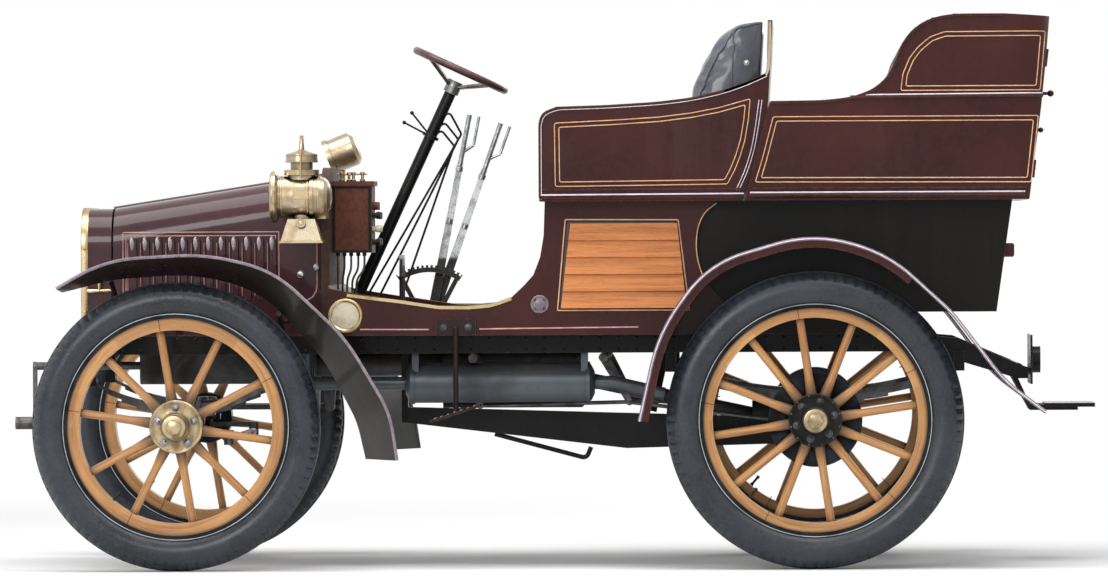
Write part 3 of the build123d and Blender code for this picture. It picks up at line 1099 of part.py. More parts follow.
def tonneau_outline():
    return scaled(TONNEAU_shares, TONNEAU_FRONT_X, TONNEAU_LENGTH, SEAT_BASE_Z, TONNEAU_HEIGHT)


DOOR_HINGE_OUT = 20.0         # hinge axis outboard of the straight line up the tonneau's back
DOOR_HINGE_HEIGHTS = (100.0, 440.0)
HINGE_BARREL_RADIUS = 9.0
HINGE_BARREL_LENGTH = 18.0
HINGE_STRAP_LENGTH = 70.0
HINGE_STRAP_THICKNESS = 9.0
BARREL_CLEARANCE = 6.0


DOOR_FITTING_Y = -130.0
DOOR_STEM_RADIUS = 5.0
# height, reach behind the door and radius of each knob
DOOR_FITTINGS = [(1410.0, 36.0, 10.0), (1300.0, 20.0, 8.0)]


def door_hinge(height):
    """One strap hinge of the rear door: the half on the body, and the half on the door."""
    foot, head = tonneau_outline()[-1], tonneau_outline()[-5]
    rise = (Vector(head[0], 0, head[1]) - Vector(foot[0], 0, foot[1])).normalized()
    out = Vector(rise.Z, 0, -rise.X)
    middle = Vector(foot[0], DOOR_HALF, foot[1]) + out * DOOR_HINGE_OUT + rise * height
    place = Location(Plane(origin=middle, x_dir=out, z_dir=rise))
    radius, long = HINGE_BARREL_RADIUS, HINGE_BARREL_LENGTH
    strap_x0, strap_x1 = -DOOR_HINGE_OUT - HINGE_STRAP_THICKNESS / 2, -radius + HINGE_STRAP_THICKNESS / 4
    clear = radius + BARREL_CLEARANCE
    fixed = z_cylinder(0, 0, -long * 1.5, long * 1.5, radius)
    fixed += block(strap_x0, 0, 0, radius, -long * 1.5, long * 1.5)
    fixed -= block(strap_x0, clear, -clear, clear, -long / 2 - SEAT_GAP, long / 2 + SEAT_GAP)
    fixed += block(strap_x0, strap_x1, 0, HINGE_STRAP_LENGTH, long / 2 + SEAT_GAP, long * 1.5)
    fixed += block(strap_x0, strap_x1, 0, HINGE_STRAP_LENGTH, -long * 1.5, -long / 2 - SEAT_GAP)
    fixed += z_cylinder(0, 0, -long, long, radius / 2)
    swinging = z_cylinder(0, 0, -long / 2, long / 2, radius)
    swinging += block(strap_x0, 0, -radius, 0, -long / 2, long / 2)
    swinging += block(strap_x0, strap_x1, -HINGE_STRAP_LENGTH, 0, -long / 2, long / 2)
    swinging -= z_cylinder(0, 0, -long, long, radius / 2 + RUNNING)
    return place * fixed, place * swinging


def build_rear_body():
    z0, z1 = SEAT_BASE_Z, SEAT_BASE_Z + TONNEAU_HEIGHT
    outline = tonneau_outline()
    end_x = TONNEAU_FRONT_X + TONNEAU_LENGTH
    outer = side_plate(outline, -TONNEAU_HALF, TONNEAU_HALF)
    outer &= rounded_plan(TONNEAU_FRONT_X - OVERRUN, end_x, TONNEAU_HALF, TONNEAU_CORNER, z0 - OVERRUN, z1 + OVERRUN)
    wall = TONNEAU_WALL
    inner_outline = [(x - wall, z + LEDGE) for x, z in outline[12:]]
    inner_outline[0] = (inner_outline[0][0] + wall * 0.1, z1 * 2)
    inner_outline += [(TONNEAU_FRONT_X - OVERRUN * 3, z0 + LEDGE), (TONNEAU_FRONT_X - OVERRUN * 3, z1 * 2)]
    inner = side_plate(inner_outline, -TONNEAU_HALF + wall, TONNEAU_HALF - wall)
    inner &= rounded_plan(TONNEAU_FRONT_X - OVERRUN * 4, end_x - wall, TONNEAU_HALF - wall, TONNEAU_CORNER - wall,
                          z0 - OVERRUN, z1 * 3)
    shell = outer - inner
    well_x = LOWER_REAR_TOP_X - BODY_WALL
    shell -= block(TONNEAU_FRONT_X - OVERRUN, well_x, -LOWER_HALF + BODY_WALL, LOWER_HALF - BODY_WALL,
                   z0 - OVERRUN, z0 + LEDGE + OVERRUN)
    lower_outline = [(LOWER_FRONT_X, LOWER_FLOOR_Z), (LOWER_FRONT_X, z0), (LOWER_REAR_TOP_X, z0),
                     (LOWER_REAR_FOOT_X, LOWER_FLOOR_Z)]
    lower = side_plate(lower_outline, -LOWER_HALF, LOWER_HALF)
    floor_z = LOWER_FLOOR_Z + FLOOR_THICKNESS
    lean = (LOWER_REAR_TOP_X - LOWER_REAR_FOOT_X) / (z0 - LOWER_FLOOR_Z)
    lower -= side_plate([
        (LOWER_FRONT_X + BODY_WALL, floor_z), (LOWER_FRONT_X + BODY_WALL, z0 + OVERRUN),
        (LOWER_REAR_TOP_X - BODY_WALL + OVERRUN * lean, z0 + OVERRUN),
        (LOWER_REAR_FOOT_X - BODY_WALL + FLOOR_THICKNESS * lean, floor_z),
    ], -LOWER_HALF + BODY_WALL, LOWER_HALF - BODY_WALL)
    door_z0, door_z1 = floor_z, z1 + OVERRUN * 3
    opening = block(LOWER_REAR_FOOT_X - BODY_WALL - OVERRUN, end_x + OVERRUN, -DOOR_HALF, DOOR_HALF, door_z0, door_z1)
    hinge_side = DOOR_HALF - SHUT_GAP
    leaf_x = well_x - OVERRUN * 2
    upper_leaf = shell & block(leaf_x, end_x + OVERRUN, -DOOR_HALF + DOOR_FREE_GAP, hinge_side, z0, door_z1)
    upper_leaf -= block(leaf_x, end_x - TONNEAU_WALL * 2.5, -DOOR_HALF, -DOOR_HALF + LEDGE_FREE_GAP, z0,
                        z0 + LEDGE + OVERRUN)
    lower_leaf = lower & block(leaf_x - OVERRUN, end_x + OVERRUN, -DOOR_HALF + LEDGE_FREE_GAP, hinge_side,
                               door_z0 + SHUT_GAP, z0)
    door = upper_leaf + lower_leaf
    back = tonneau_outline()[-4:-1]
    for z, long, radius in DOOR_FITTINGS:
        low, high = [pair for pair in zip(back[1:], back[:-1]) if pair[0][1] <= z <= pair[1][1]][0]
        face_x = low[0] + (high[0] - low[0]) * (z - low[1]) / (high[1] - low[1])
        stem_x = face_x - TONNEAU_WALL / 2
        door += rod((stem_x, DOOR_FITTING_Y, z), (face_x + long, DOOR_FITTING_Y, z), DOOR_STEM_RADIUS)
        door += Pos(face_x + long, DOOR_FITTING_Y, z) * Sphere(radius)
    tonneau = shell - opening + build_rear_seats()
    for height in DOOR_HINGE_HEIGHTS:
        fixed, swinging = door_hinge(height)
        tonneau += fixed
        door += swinging
    save("tonneau", tonneau)
    save("rear_door", door)
    bearers = block(LOWER_FRONT_X, RAIL_REAR_X, -RAIL_OUTER_Y, -RAIL_OUTER_Y + RAIL_FLANGE, RAIL_TOP_Z, LOWER_FLOOR_Z)
    save("lower_rear_body", lower - opening + bearers + mirrored(bearers))


REAR_SEAT_DEPTH = 420.0
REAR_SEAT_TOP_Z = SEAT_BASE_Z + 150.0
REAR_SQUAB_THICKNESS = 80.0


def build_rear_seats():
    low = SEAT_BASE_Z + LEDGE
    side = TONNEAU_HALF - TONNEAU_WALL - 4.0
    rear_x = LOWER_REAR_TOP_X - 4.0
    board = block(rear_x - REAR_SEAT_DEPTH, rear_x, -side, -DOOR_HALF - SHUT_GAP * 2, low, low + BODY_WALL)
    cushion = block(rear_x - REAR_SEAT_DEPTH, rear_x - REAR_SQUAB_THICKNESS, -side, -DOOR_HALF - SHUT_GAP * 2,
                    low + BODY_WALL + SEAT_GAP, REAR_SEAT_TOP_Z)
    squab = block(rear_x - REAR_SQUAB_THICKNESS + SEAT_GAP * 3, rear_x + OVERRUN, -side + TONNEAU_CORNER,
                  -DOOR_HALF - SHUT_GAP * 2, REAR_SEAT_TOP_Z + SEAT_GAP, SEAT_BASE_Z + TONNEAU_HEIGHT)
    save("rear_cushions", cushion, squab, mirrored(cushion), mirrored(squab))
    return board + mirrored(board)


# Wings, drawn as a sheet whose path is mitred and bent

FRONT_WING_X0 = FRONT_AXLE_X - 349.0
FRONT_WING_LENGTH = 1008.0
FRONT_WING_LOW_Z = 328.0
FRONT_WING_HEIGHT = 606.0
# along and up, as shares of the front wing's length and height: outer edge, then inner edge
FRONT_WING_OUTER_shares = [(0.0, 0.845), (0.145, 0.985), (0.443, 1.01), (0.641, 0.927), (0.85, 0.597),
                           (0.979, 0.234), (1.0, 0.0)]
FRONT_WING_INNER_shares = [(0.0, 0.828), (0.155, 0.891), (0.393, 0.919), (0.592, 0.828), (0.775, 0.498),
                           (0.874, 0.185), (0.899, 0.0)]
FRONT_WING_BENDS = [420.0, 600.0, 350.0, 500.0, 300.0]
REAR_WING_X0 = REAR_AXLE_X - 520.0
REAR_WING_LENGTH = 1200.0
REAR_WING_LOW_Z = 440.0
REAR_WING_HEIGHT = 533.0
# along and up, as shares of the rear wing's length and height
REAR_WING_shares = [(0.0, 0.0), (0.048, 0.488), (0.173, 0.872), (0.431, 1.04), (0.615, 0.919),
                    (0.773, 0.591), (0.898, 0.216), (0.999, 0.043)]
REAR_WING_BENDS = [500.0, 320.0, 400.0, 420.0, 420.0, 400.0]


def offset_path(points, distance):
    """The same path moved sideways by a distance, with mitred corners."""
    moved = []
    for count, point in enumerate(points):
        here = Vector(*point)
        ways = []
        if count:
            ways.append((here - Vector(*points[count - 1])).normalized())
        if count < len(points) - 1:
            ways.append((Vector(*points[count + 1]) - here).normalized())
        normals = [Vector(way.Y, -way.X) for way in ways]
        middle = sum(normals, Vector(0, 0)).normalized()
        there = here + middle * (distance / middle.dot(normals[0]))
        moved.append((there.X, there.Y))
    return moved


def sheet_section(points, bends, sheet, y):
    """Section of a bent sheet, as a face in the plane at y."""
    under = offset_path(points, sheet)
    over_line = FilletPolyline(*points, radius=bends)
    under_line = FilletPolyline(*under, radius=[bend - sheet for bend in bends])
    ends = [Line(over_line @ 1, under_line @ 1), Line(under_line @ 0, over_line @ 0)]
    return Plane.XZ.offset(-y) * make_face([over_line, under_line] + ends)


def under_rear_wing(gap, y0, y1):
    """Everything under the rear wing's line, moved out by a gap."""
    line = scaled(REAR_WING_shares, REAR_WING_X0, REAR_WING_LENGTH, REAR_WING_LOW_Z, REAR_WING_HEIGHT)
    over = FilletPolyline(*offset_path(line, gap), radius=[bend - gap for bend in REAR_WING_BENDS])
    face = Plane.XZ.offset(-y0) * make_face([over, Line(over @ 1, over @ 0)])
    return extrude(face, amount=y1 - y0, dir=(0, 1, 0))


def build_wings():
    outer = scaled(FRONT_WING_OUTER_shares, FRONT_WING_X0, FRONT_WING_LENGTH, FRONT_WING_LOW_Z, FRONT_WING_HEIGHT)
    inner = scaled(FRONT_WING_INNER_shares, FRONT_WING_X0, FRONT_WING_LENGTH, FRONT_WING_LOW_Z, FRONT_WING_HEIGHT)
    front = loft([sheet_section(outer, FRONT_WING_BENDS, WING_SHEET, -WING_OUTER_Y),
                  sheet_section(inner, FRONT_WING_BENDS, WING_SHEET, -WING_INNER_Y)], ruled=True)
    save("front_wings", front, mirrored(front))
    arch_line = scaled(REAR_WING_shares, REAR_WING_X0, REAR_WING_LENGTH, REAR_WING_LOW_Z, REAR_WING_HEIGHT)
    face = sheet_section(arch_line, REAR_WING_BENDS, WING_SHEET, -WING_OUTER_Y)
    rear = extrude(face, amount=WING_OUTER_Y - BODY_HALF, dir=(0, 1, 0))
    save("rear_wings", rear, mirrored(rear))


# Lamps, controls and fittings

LAMP_Y = 585.0
LAMP_Z = 1107.0
LAMP_FRONT_X = DASH_FRONT_X - 139.0
LAMP_MIDDLE = 93.0      # front of the bezel to the chimney's middle
# distance behind the front and radius of each step: rolled bezel, drum, seam band, domed back
LAMP_STEPS = [(3.0, 64.0), (0.0, 70.0), (5.0, 76.0), (16.0, 76.0), (22.0, 70.0), (24.0, 61.0), (118.0, 61.0),
              (118.0, 65.0), (128.0, 65.0), (128.0, 61.0), (148.0, 60.0), (160.0, 56.0), (170.0, 48.0),
              (178.0, 35.0), (182.0, 18.0), (183.0, 6.0)]
LAMP_IRON_WIDTH = 24.0
# height above the lamp's middle and radius of each tier of the chimney
CHIMNEY_TIERS = [(50.0, 42.0), (64.0, 42.0), (64.0, 52.0), (80.0, 52.0), (80.0, 33.0), (102.0, 33.0),
                 (102.0, 48.0), (126.0, 46.0), (134.0, 20.0), (140.0, 8.0), (182.0, 5.0)]
FOUNT_TOP_Z = 66.0
FOUNT_LOW_Z = 134.0
FOUNT_TOP_HALF = 40.0
FOUNT_LOW_HALF = 61.0
FOUNT_LIP = 6.0
FOUNT_NECK_RADIUS = 30.0
FOUNT_CAP_OUT = 58.0
FOUNT_CAP_RADIUS = 13.0


def lathe_z(tiers, x, y, z):
    """Turned form about an upright axis, from heights and radii."""
    outline = [(0, tiers[0][0])] + [(radius, height) for height, radius in tiers] + [(0, tiers[-1][0])]
    face = Plane.XZ * Polygon(*outline, align=None)
    return Pos(x, y, z) * revolve(face, Axis.Z)


def build_side_lamps():
    y, z = -LAMP_Y, LAMP_Z
    outline = [(LAMP_STEPS[0][0], 0)] + LAMP_STEPS + [(LAMP_STEPS[-1][0], 0)]
    lamp = Pos(LAMP_FRONT_X, y, z) * revolve(Plane.XZ * Polygon(*outline, align=None), Axis.X)
    middle_x = LAMP_FRONT_X + LAMP_MIDDLE
    lamp += lathe_z(CHIMNEY_TIERS, middle_x, y, z)
    fount = loft([Plane.XY.offset(-FOUNT_LOW_Z) * Rectangle(FOUNT_LOW_HALF * 2, FOUNT_LOW_HALF * 2),
                  Plane.XY.offset(-FOUNT_TOP_Z) * Rectangle(FOUNT_TOP_HALF * 2, FOUNT_TOP_HALF * 2)], ruled=True)
    fount += Pos(0, 0, -FOUNT_LOW_Z) * Box(FOUNT_LOW_HALF * 2 + FOUNT_LIP, FOUNT_LOW_HALF * 2 + FOUNT_LIP, FOUNT_LIP)
    fount += z_cylinder(0, 0, -FOUNT_TOP_Z, 0, FOUNT_NECK_RADIUS)
    fount += rod((0, 0, -FOUNT_TOP_Z - FOUNT_LIP * 2), (0, -FOUNT_CAP_OUT, -FOUNT_TOP_Z - FOUNT_LIP * 2), FOUNT_CAP_RADIUS)
    lamp += Pos(middle_x, y, z) * fount
    iron_z = DASH_TOP_Z - DASH_CORNER
    lamp += block(DASH_FRONT_X, DASH_FRONT_X + LAMP_IRON_WIDTH, y, -DASH_HALF, iron_z - LAMP_IRON_WIDTH, iron_z)
    save("side_lamp", lamp)


SPOT_Y = 600.0
SPOT_Z = 1250.0
SPOT_X = DASH_FRONT_X + LAMP_IRON_WIDTH / 2
SPOT_TILT = 22.0
SPOT_POST_RADIUS = 8.0
# distance behind the lamp's middle and radius of each step of its body
SPOT_STEPS = [(-50.0, 44.0), (-50.0, 58.0), (-34.0, 58.0), (-34.0, 53.0), (36.0, 53.0), (48.0, 40.0), (52.0, 18.0)]


def build_dash_lamp():
    """Swivelling lamp on the driver's side, on a post from the dash's side edge."""
    outline = [(SPOT_STEPS[0][0], 0)] + SPOT_STEPS + [(SPOT_STEPS[-1][0], 0)]
    body = revolve(Plane.XZ * Polygon(*outline, align=None), Axis.X)
    lamp = Pos(SPOT_X, SPOT_Y, SPOT_Z) * Rot(0, -SPOT_TILT, 0) * body
    iron_z = DASH_TOP_Z - DASH_CORNER
    lamp += block(DASH_FRONT_X, DASH_FRONT_X + LAMP_IRON_WIDTH, DASH_HALF, SPOT_Y + LAMP_IRON_WIDTH / 2,
                  iron_z - LAMP_IRON_WIDTH, iron_z)
    lamp += z_cylinder(SPOT_X, SPOT_Y, iron_z - LAMP_IRON_WIDTH, SPOT_Z, SPOT_POST_RADIUS)
    save("dash_lamp", lamp)


COIL_Y0 = -260.0
COIL_Y1 = -60.0
COIL_DEPTH = 120.0
COIL_LOW_Z = 940.0
COIL_HIGH_Z = 1141.0
COIL_LID = 14.0
COIL_KNOB_RADIUS = 12.0
COIL_KNOB_LENGTH = 16.0


def build_coil_box():
    x0 = DASH_FRONT_X + DASH_THICKNESS
    box = block(x0, x0 + COIL_DEPTH, COIL_Y0, COIL_Y1, COIL_LOW_Z, COIL_HIGH_Z)
    lip = COIL_LID / 2
    box += block(x0, x0 + COIL_DEPTH + lip, COIL_Y0 - lip, COIL_Y1 + lip, COIL_HIGH_Z, COIL_HIGH_Z + COIL_LID)
    for share in (0.2, 0.5, 0.8):
        y = COIL_Y0 + (COIL_Y1 - COIL_Y0) * share
        z = COIL_LOW_Z + (COIL_HIGH_Z - COIL_LOW_Z) * 0.7
        box += rod((x0 + COIL_DEPTH, y, z), (x0 + COIL_DEPTH + COIL_KNOB_LENGTH, y, z), COIL_KNOB_RADIUS)
    save("coil_box", box)


LEVER_Y = 545.0
LEVER_SPACING = 28.0
LEVER_THICKNESS = 8.0
LEVER_WIDTH = 30.0
LEVER_PIVOT_X = RISER_X - 398.0
LEVER_PIVOT_Z = 715.0
LEVER_ROUND_RADIUS = 8.0
LEVER_LEAN = (11.0, 19.6)     # degrees back from upright
LEVER_BLADE = (515.0, 510.0)  # pivot to the top of the flat blade
LEVER_LENGTH = (662.0, 662.0)
LEVER_COLLAR_shares = (0.3, 0.62, 0.94)
LEVER_COLLAR_RADIUS = 12.0
LEVER_COLLAR_LENGTH = 14.0
LEVER_GRIP = 120.0
QUADRANT_TEETH = 15
QUADRANT_NOTCH = 7.0
QUADRANT_RADIUS = 185.0
QUADRANT_DEPTH = 22.0
QUADRANT_THICKNESS = 14.0
QUADRANT_SPAN = 34.0          # half angle of the toothed arch


def build_hand_levers():
    shaft_end = LEVER_Y + LEVER_SPACING + LEVER_THICKNESS
    levers = y_cylinder(LEVER_PIVOT_X, BODY_HALF, shaft_end, LEVER_PIVOT_Z, LEVER_WIDTH / 2)
    for count in range(len(LEVER_LEAN)):
        y0 = LEVER_Y + LEVER_SPACING * count - LEVER_THICKNESS / 2
        lean = radians(LEVER_LEAN[count])
        turn = Pos(LEVER_PIVOT_X, 0, LEVER_PIVOT_Z) * Rot(0, LEVER_LEAN[count], 0)
        half = LEVER_WIDTH / 2
        blade = side_plate([(-half, 0), (-half * 0.6, LEVER_BLADE[count]), (half * 0.6, LEVER_BLADE[count]),
                            (half, 0)], y0, y0 + LEVER_THICKNESS)
        y = y0 + LEVER_THICKNESS / 2
        blade += rod((0, y, LEVER_BLADE[count] - half), (0, y, LEVER_LENGTH[count]), LEVER_ROUND_RADIUS)
        for share in LEVER_COLLAR_shares:
            at = LEVER_BLADE[count] * share
            blade += rod((0, y, at), (0, y, at + LEVER_COLLAR_LENGTH), LEVER_COLLAR_RADIUS)
        trigger_x, trigger_z = LEVER_WIDTH, LEVER_LENGTH[count] - LEVER_GRIP
        blade += rod((0, y, trigger_z), (trigger_x, y, trigger_z + LEVER_WIDTH), LEVER_COLLAR_LENGTH / 3)
        blade += rod((trigger_x, y, trigger_z + LEVER_WIDTH), (trigger_x, y, LEVER_LENGTH[count]),
                     LEVER_COLLAR_LENGTH / 3)
        levers += turn * blade
    arch_y = LEVER_Y - LEVER_SPACING / 2 - QUADRANT_THICKNESS / 2
    arch_ring = y_cylinder(LEVER_PIVOT_X, arch_y, arch_y + QUADRANT_THICKNESS, LEVER_PIVOT_Z, QUADRANT_RADIUS)
    arch_ring -= y_cylinder(LEVER_PIVOT_X, arch_y - OVERRUN, arch_y + OVERRUN, LEVER_PIVOT_Z,
                            QUADRANT_RADIUS - QUADRANT_DEPTH)
    reach = QUADRANT_RADIUS * 2
    spread = reach * tan(radians(QUADRANT_SPAN))
    sector = side_plate([(LEVER_PIVOT_X, LEVER_PIVOT_Z), (LEVER_PIVOT_X - spread, LEVER_PIVOT_Z + reach),
                         (LEVER_PIVOT_X + spread, LEVER_PIVOT_Z + reach)], arch_y - OVERRUN, arch_y + OVERRUN)
    quadrant = arch_ring & sector
    for count in range(QUADRANT_TEETH):
        angle = QUADRANT_SPAN * (2 * (count + 0.5) / QUADRANT_TEETH - 1)
        notch = block(-QUADRANT_NOTCH / 2, QUADRANT_NOTCH / 2, arch_y - OVERRUN, arch_y + OVERRUN,
                      QUADRANT_RADIUS - QUADRANT_NOTCH, QUADRANT_RADIUS + OVERRUN)
        quadrant -= Pos(LEVER_PIVOT_X, 0, LEVER_PIVOT_Z) * Rot(0, angle, 0) * notch
    for way in (-1, 1):
        angle = radians(QUADRANT_SPAN * 0.9) * way
        top = (LEVER_PIVOT_X + (QUADRANT_RADIUS - QUADRANT_DEPTH / 2) * sin(angle),
               LEVER_PIVOT_Z + (QUADRANT_RADIUS - QUADRANT_DEPTH / 2) * cos(angle))
        foot = (LEVER_PIVOT_X + LEVER_WIDTH * way * 0.3, LEVER_PIVOT_Z)
        side = LEVER_THICKNESS
        quadrant += side_plate([(foot[0] - side, foot[1]), (top[0] - side, top[1]), (top[0] + side, top[1]),
                                (foot[0] + side, foot[1])], arch_y, arch_y + QUADRANT_THICKNESS)
    save("levers_and_pedals", levers + quadrant, *build_pedals())


STEP_X = RISER_X - 275.0
STEP_BRACKET_HALF = 60.0
STEP_BRACKET_HEIGHT = 50.0
STEP_BRACKET_THICKNESS = 10.0
STEP_STEM_RADIUS = 8.0
STEP_TREAD_LENGTH = 156.0
STEP_TREAD_WIDTH = 130.0
STEP_TREAD_Z = 462.0
STEP_TREAD_TILT = 18.0
STEP_TREAD_THICKNESS = 8.0


def build_side_steps():
    y0 = -BODY_HALF
    low = RAIL_TOP_Z
    step = block(STEP_X - STEP_BRACKET_HALF, STEP_X + STEP_BRACKET_HALF, y0 - STEP_BRACKET_THICKNESS, y0,
                 low, low + STEP_BRACKET_HEIGHT)
    stem_y = y0 - STEP_BRACKET_THICKNESS - STEP_STEM_RADIUS * 0.7
    step += z_cylinder(STEP_X, stem_y, STEP_TREAD_Z, low + STEP_BRACKET_HEIGHT / 2, STEP_STEM_RADIUS)
    tread = Box(STEP_TREAD_LENGTH, STEP_TREAD_WIDTH, STEP_TREAD_THICKNESS)
    step += Pos(STEP_X, y0 - STEP_TREAD_WIDTH / 2, STEP_TREAD_Z) * Rot(0, -STEP_TREAD_TILT, 0) * tread
    save("side_steps", step, mirrored(step))


REAR_STEP_END_X = REAR_AXLE_X + REAR_OVERHANG
REAR_STEP_LENGTH = 150.0
REAR_STEP_HALF = 150.0
REAR_STEP_Z = 466.0
REAR_STEP_THICKNESS = 12.0
REAR_IRON_WIDTH = 30.0
REAR_IRON_THICKNESS = 10.0
REAR_IRON_Y = 90.0
REAR_TUBE_X = RAIL_REAR_X + 350.0
REAR_TUBE_Z = 580.0
REAR_CROSS_TUBE_RADIUS = 22.0


def build_rear_step():
    x1 = REAR_STEP_END_X
    x0 = x1 - REAR_STEP_LENGTH
    step = block(x0, x1, -REAR_STEP_HALF, REAR_STEP_HALF, REAR_STEP_Z, REAR_STEP_Z + REAR_STEP_THICKNESS)
    half = REAR_IRON_WIDTH / 2
    for y in (-REAR_IRON_Y, REAR_IRON_Y):
        thick = REAR_IRON_THICKNESS
        step += side_plate([
            (REAR_TUBE_X, REAR_TUBE_Z), (x0 - REAR_STEP_LENGTH * 0.3, REAR_STEP_Z + thick),
            (x1 - REAR_STEP_LENGTH / 3, REAR_STEP_Z), (x1 - REAR_STEP_LENGTH / 3, REAR_STEP_Z - thick),
            (x0 - REAR_STEP_LENGTH * 0.3, REAR_STEP_Z - thick), (REAR_TUBE_X - thick * 2, REAR_TUBE_Z),
        ], y - half, y + half)
    inner = RAIL_OUTER_Y - RAIL_FLANGE
    step += y_cylinder(REAR_TUBE_X, -inner, inner, REAR_TUBE_Z, REAR_CROSS_TUBE_RADIUS)
    save("rear_step", step)


PLATE_X = REAR_AXLE_X + 648.0
PLATE_THICKNESS = 6.0
PLATE_Y0 = -420.0
PLATE_Y1 = -60.0
PLATE_LOW_Z = 540.0
PLATE_HIGH_Z = 686.0
TAIL_LAMP_RADIUS = 40.0
TAIL_LAMP_LENGTH = 24.0
PLATE_ARM_RADIUS = 8.0


def build_number_plate():
    plate = block(PLATE_X - PLATE_THICKNESS, PLATE_X, PLATE_Y0, PLATE_Y1, PLATE_LOW_Z, PLATE_HIGH_Z)
    middle_z = (PLATE_LOW_Z + PLATE_HIGH_Z) / 2
    for share in (0.36, 0.72):
        y = PLATE_Y0 + (PLATE_Y1 - PLATE_Y0) * share
        plate += rod((REAR_TUBE_X + REAR_CROSS_TUBE_RADIUS, y, REAR_TUBE_Z),
                     (PLATE_X - PLATE_THICKNESS / 2, y, REAR_TUBE_Z), PLATE_ARM_RADIUS)
    lamp_y = PLATE_Y0 + TAIL_LAMP_RADIUS * 1.5
    lamp = rod((PLATE_X, lamp_y, middle_z), (PLATE_X + TAIL_LAMP_LENGTH, lamp_y, middle_z), TAIL_LAMP_RADIUS)
    save("number_plate", plate + lamp)


CRANK_Z = 600.0
CRANK_SHAFT_RADIUS = 12.0
CRANK_ARM_WIDTH = 26.0
CRANK_ARM_THICKNESS = 12.0
CRANK_GRIP_RADIUS = 19.0
CRANK_GRIP_LENGTH = 54.0
CRANK_GRIP_Z = 427.0
CRANK_BEARING_RADIUS = 26.0


def build_starting_handle():
    end_x = FRONT_AXLE_X - FRONT_OVERHANG
    arm_x = end_x + CRANK_GRIP_LENGTH
    engine_x = BONNET_START_X + ENGINE_BEHIND
    handle = rod((arm_x, 0, CRANK_Z), (engine_x, 0, CRANK_Z), CRANK_SHAFT_RADIUS)
    half = CRANK_ARM_WIDTH / 2
    handle += block(arm_x, arm_x + CRANK_ARM_THICKNESS, -half, half, CRANK_GRIP_Z, CRANK_Z)
    handle += rod((arm_x, 0, CRANK_Z), (arm_x + CRANK_ARM_THICKNESS, 0, CRANK_Z), half)
    handle += rod((end_x, 0, CRANK_GRIP_Z), (arm_x, 0, CRANK_GRIP_Z), CRANK_GRIP_RADIUS)
    handle += rod((arm_x, 0, CRANK_GRIP_Z), (arm_x + CRANK_ARM_THICKNESS, 0, CRANK_GRIP_Z), half)
    save("starting_handle", handle)


PEDAL_RADIUS = 7.0
PEDAL_PAD_HALF = 32.0
PEDAL_PAD_THICKNESS = 10.0
PEDAL_FOOT_X = DASH_FRONT_X + 220.0
PEDAL_HEAD_Z = 900.0
PEDAL_YS = (130.0, 215.0)


def build_pedals():
    pedals = []
    foot_z = RAIL_TOP_Z + FLOOR_THICKNESS
    for y in PEDAL_YS:
        pad = block(PEDAL_FOOT_X - PEDAL_PAD_THICKNESS, PEDAL_FOOT_X, y - PEDAL_PAD_HALF, y + PEDAL_PAD_HALF,
                    PEDAL_HEAD_Z - PEDAL_PAD_HALF, PEDAL_HEAD_Z + PEDAL_PAD_HALF)
        pad += rod((PEDAL_FOOT_X - PEDAL_PAD_THICKNESS / 2, y, foot_z),
                   (PEDAL_FOOT_X - PEDAL_PAD_THICKNESS / 2, y, PEDAL_HEAD_Z), PEDAL_RADIUS)
        pedals.append(pad)
    return pedals


STAY_RADIUS = 8.0
STAY_BEND = 30.0


def build_wing_stays():
    stays = []
    rail_y = -RAIL_OUTER_Y - STAY_RADIUS
    # place along the front wing, then height of its inner edge there as a share of the wing's height
    front_stays = [(FRONT_AXLE_X - 200.0, 0.865), (FRONT_AXLE_X + 297.0, 0.713)]
    for x, share in front_stays:
        z = FRONT_WING_LOW_Z + FRONT_WING_HEIGHT * share
        stays.append(bent_rod([(x, rail_y, RAIL_TOP_Z - RAIL_HEIGHT), (x, rail_y, z - STAY_LIFT),
                               (x, -WING_INNER_Y - STAY_RADIUS, z)], STAY_RADIUS, STAY_BEND))
    save("wing_stays", *stays, *[mirrored(stay) for stay in stays])


STAY_LIFT = 40.0


if __name__ == "__main__":
    build_wheels()
    build_frame()
    build_springs()
    build_front_axle()
    build_steering_gear()
    build_bonnet()
    build_radiator()
    build_dash()
    build_engine_and_gearbox()
    build_rear_axle()
    build_exhaust_and_torque_arm()
    build_brake_rods()
    build_body_sides()
    build_louvre_panels()
    build_floor()
    build_column()
    build_control_cables()
    build_steering_wheel()
    build_front_seat()
    build_front_cushions()
    build_rear_body()
    build_wings()
    build_side_lamps()
    build_dash_lamp()
    build_coil_box()
    build_hand_levers()
    build_side_steps()
    build_rear_step()
    build_number_plate()
    build_starting_handle()
    build_wing_stays()
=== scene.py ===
# %% [markdown]
# # A brass era motor car, dressed over its CAD frame
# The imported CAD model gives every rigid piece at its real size. This lesson keeps those pieces,
# gives each one a finish, and adds what is too fine or too soft for CAD: tyre tread, coachlines,
# leather, bolts and lamp glass. The car faces -X, its left side is -Y, and lengths are metres.

# %% Load the frame
import bpy
import bmesh
from math import atan2, cos, exp, pi, radians, sin, sqrt, tau
from mathutils import Matrix, Vector
from mathutils.bvhtree import BVHTree


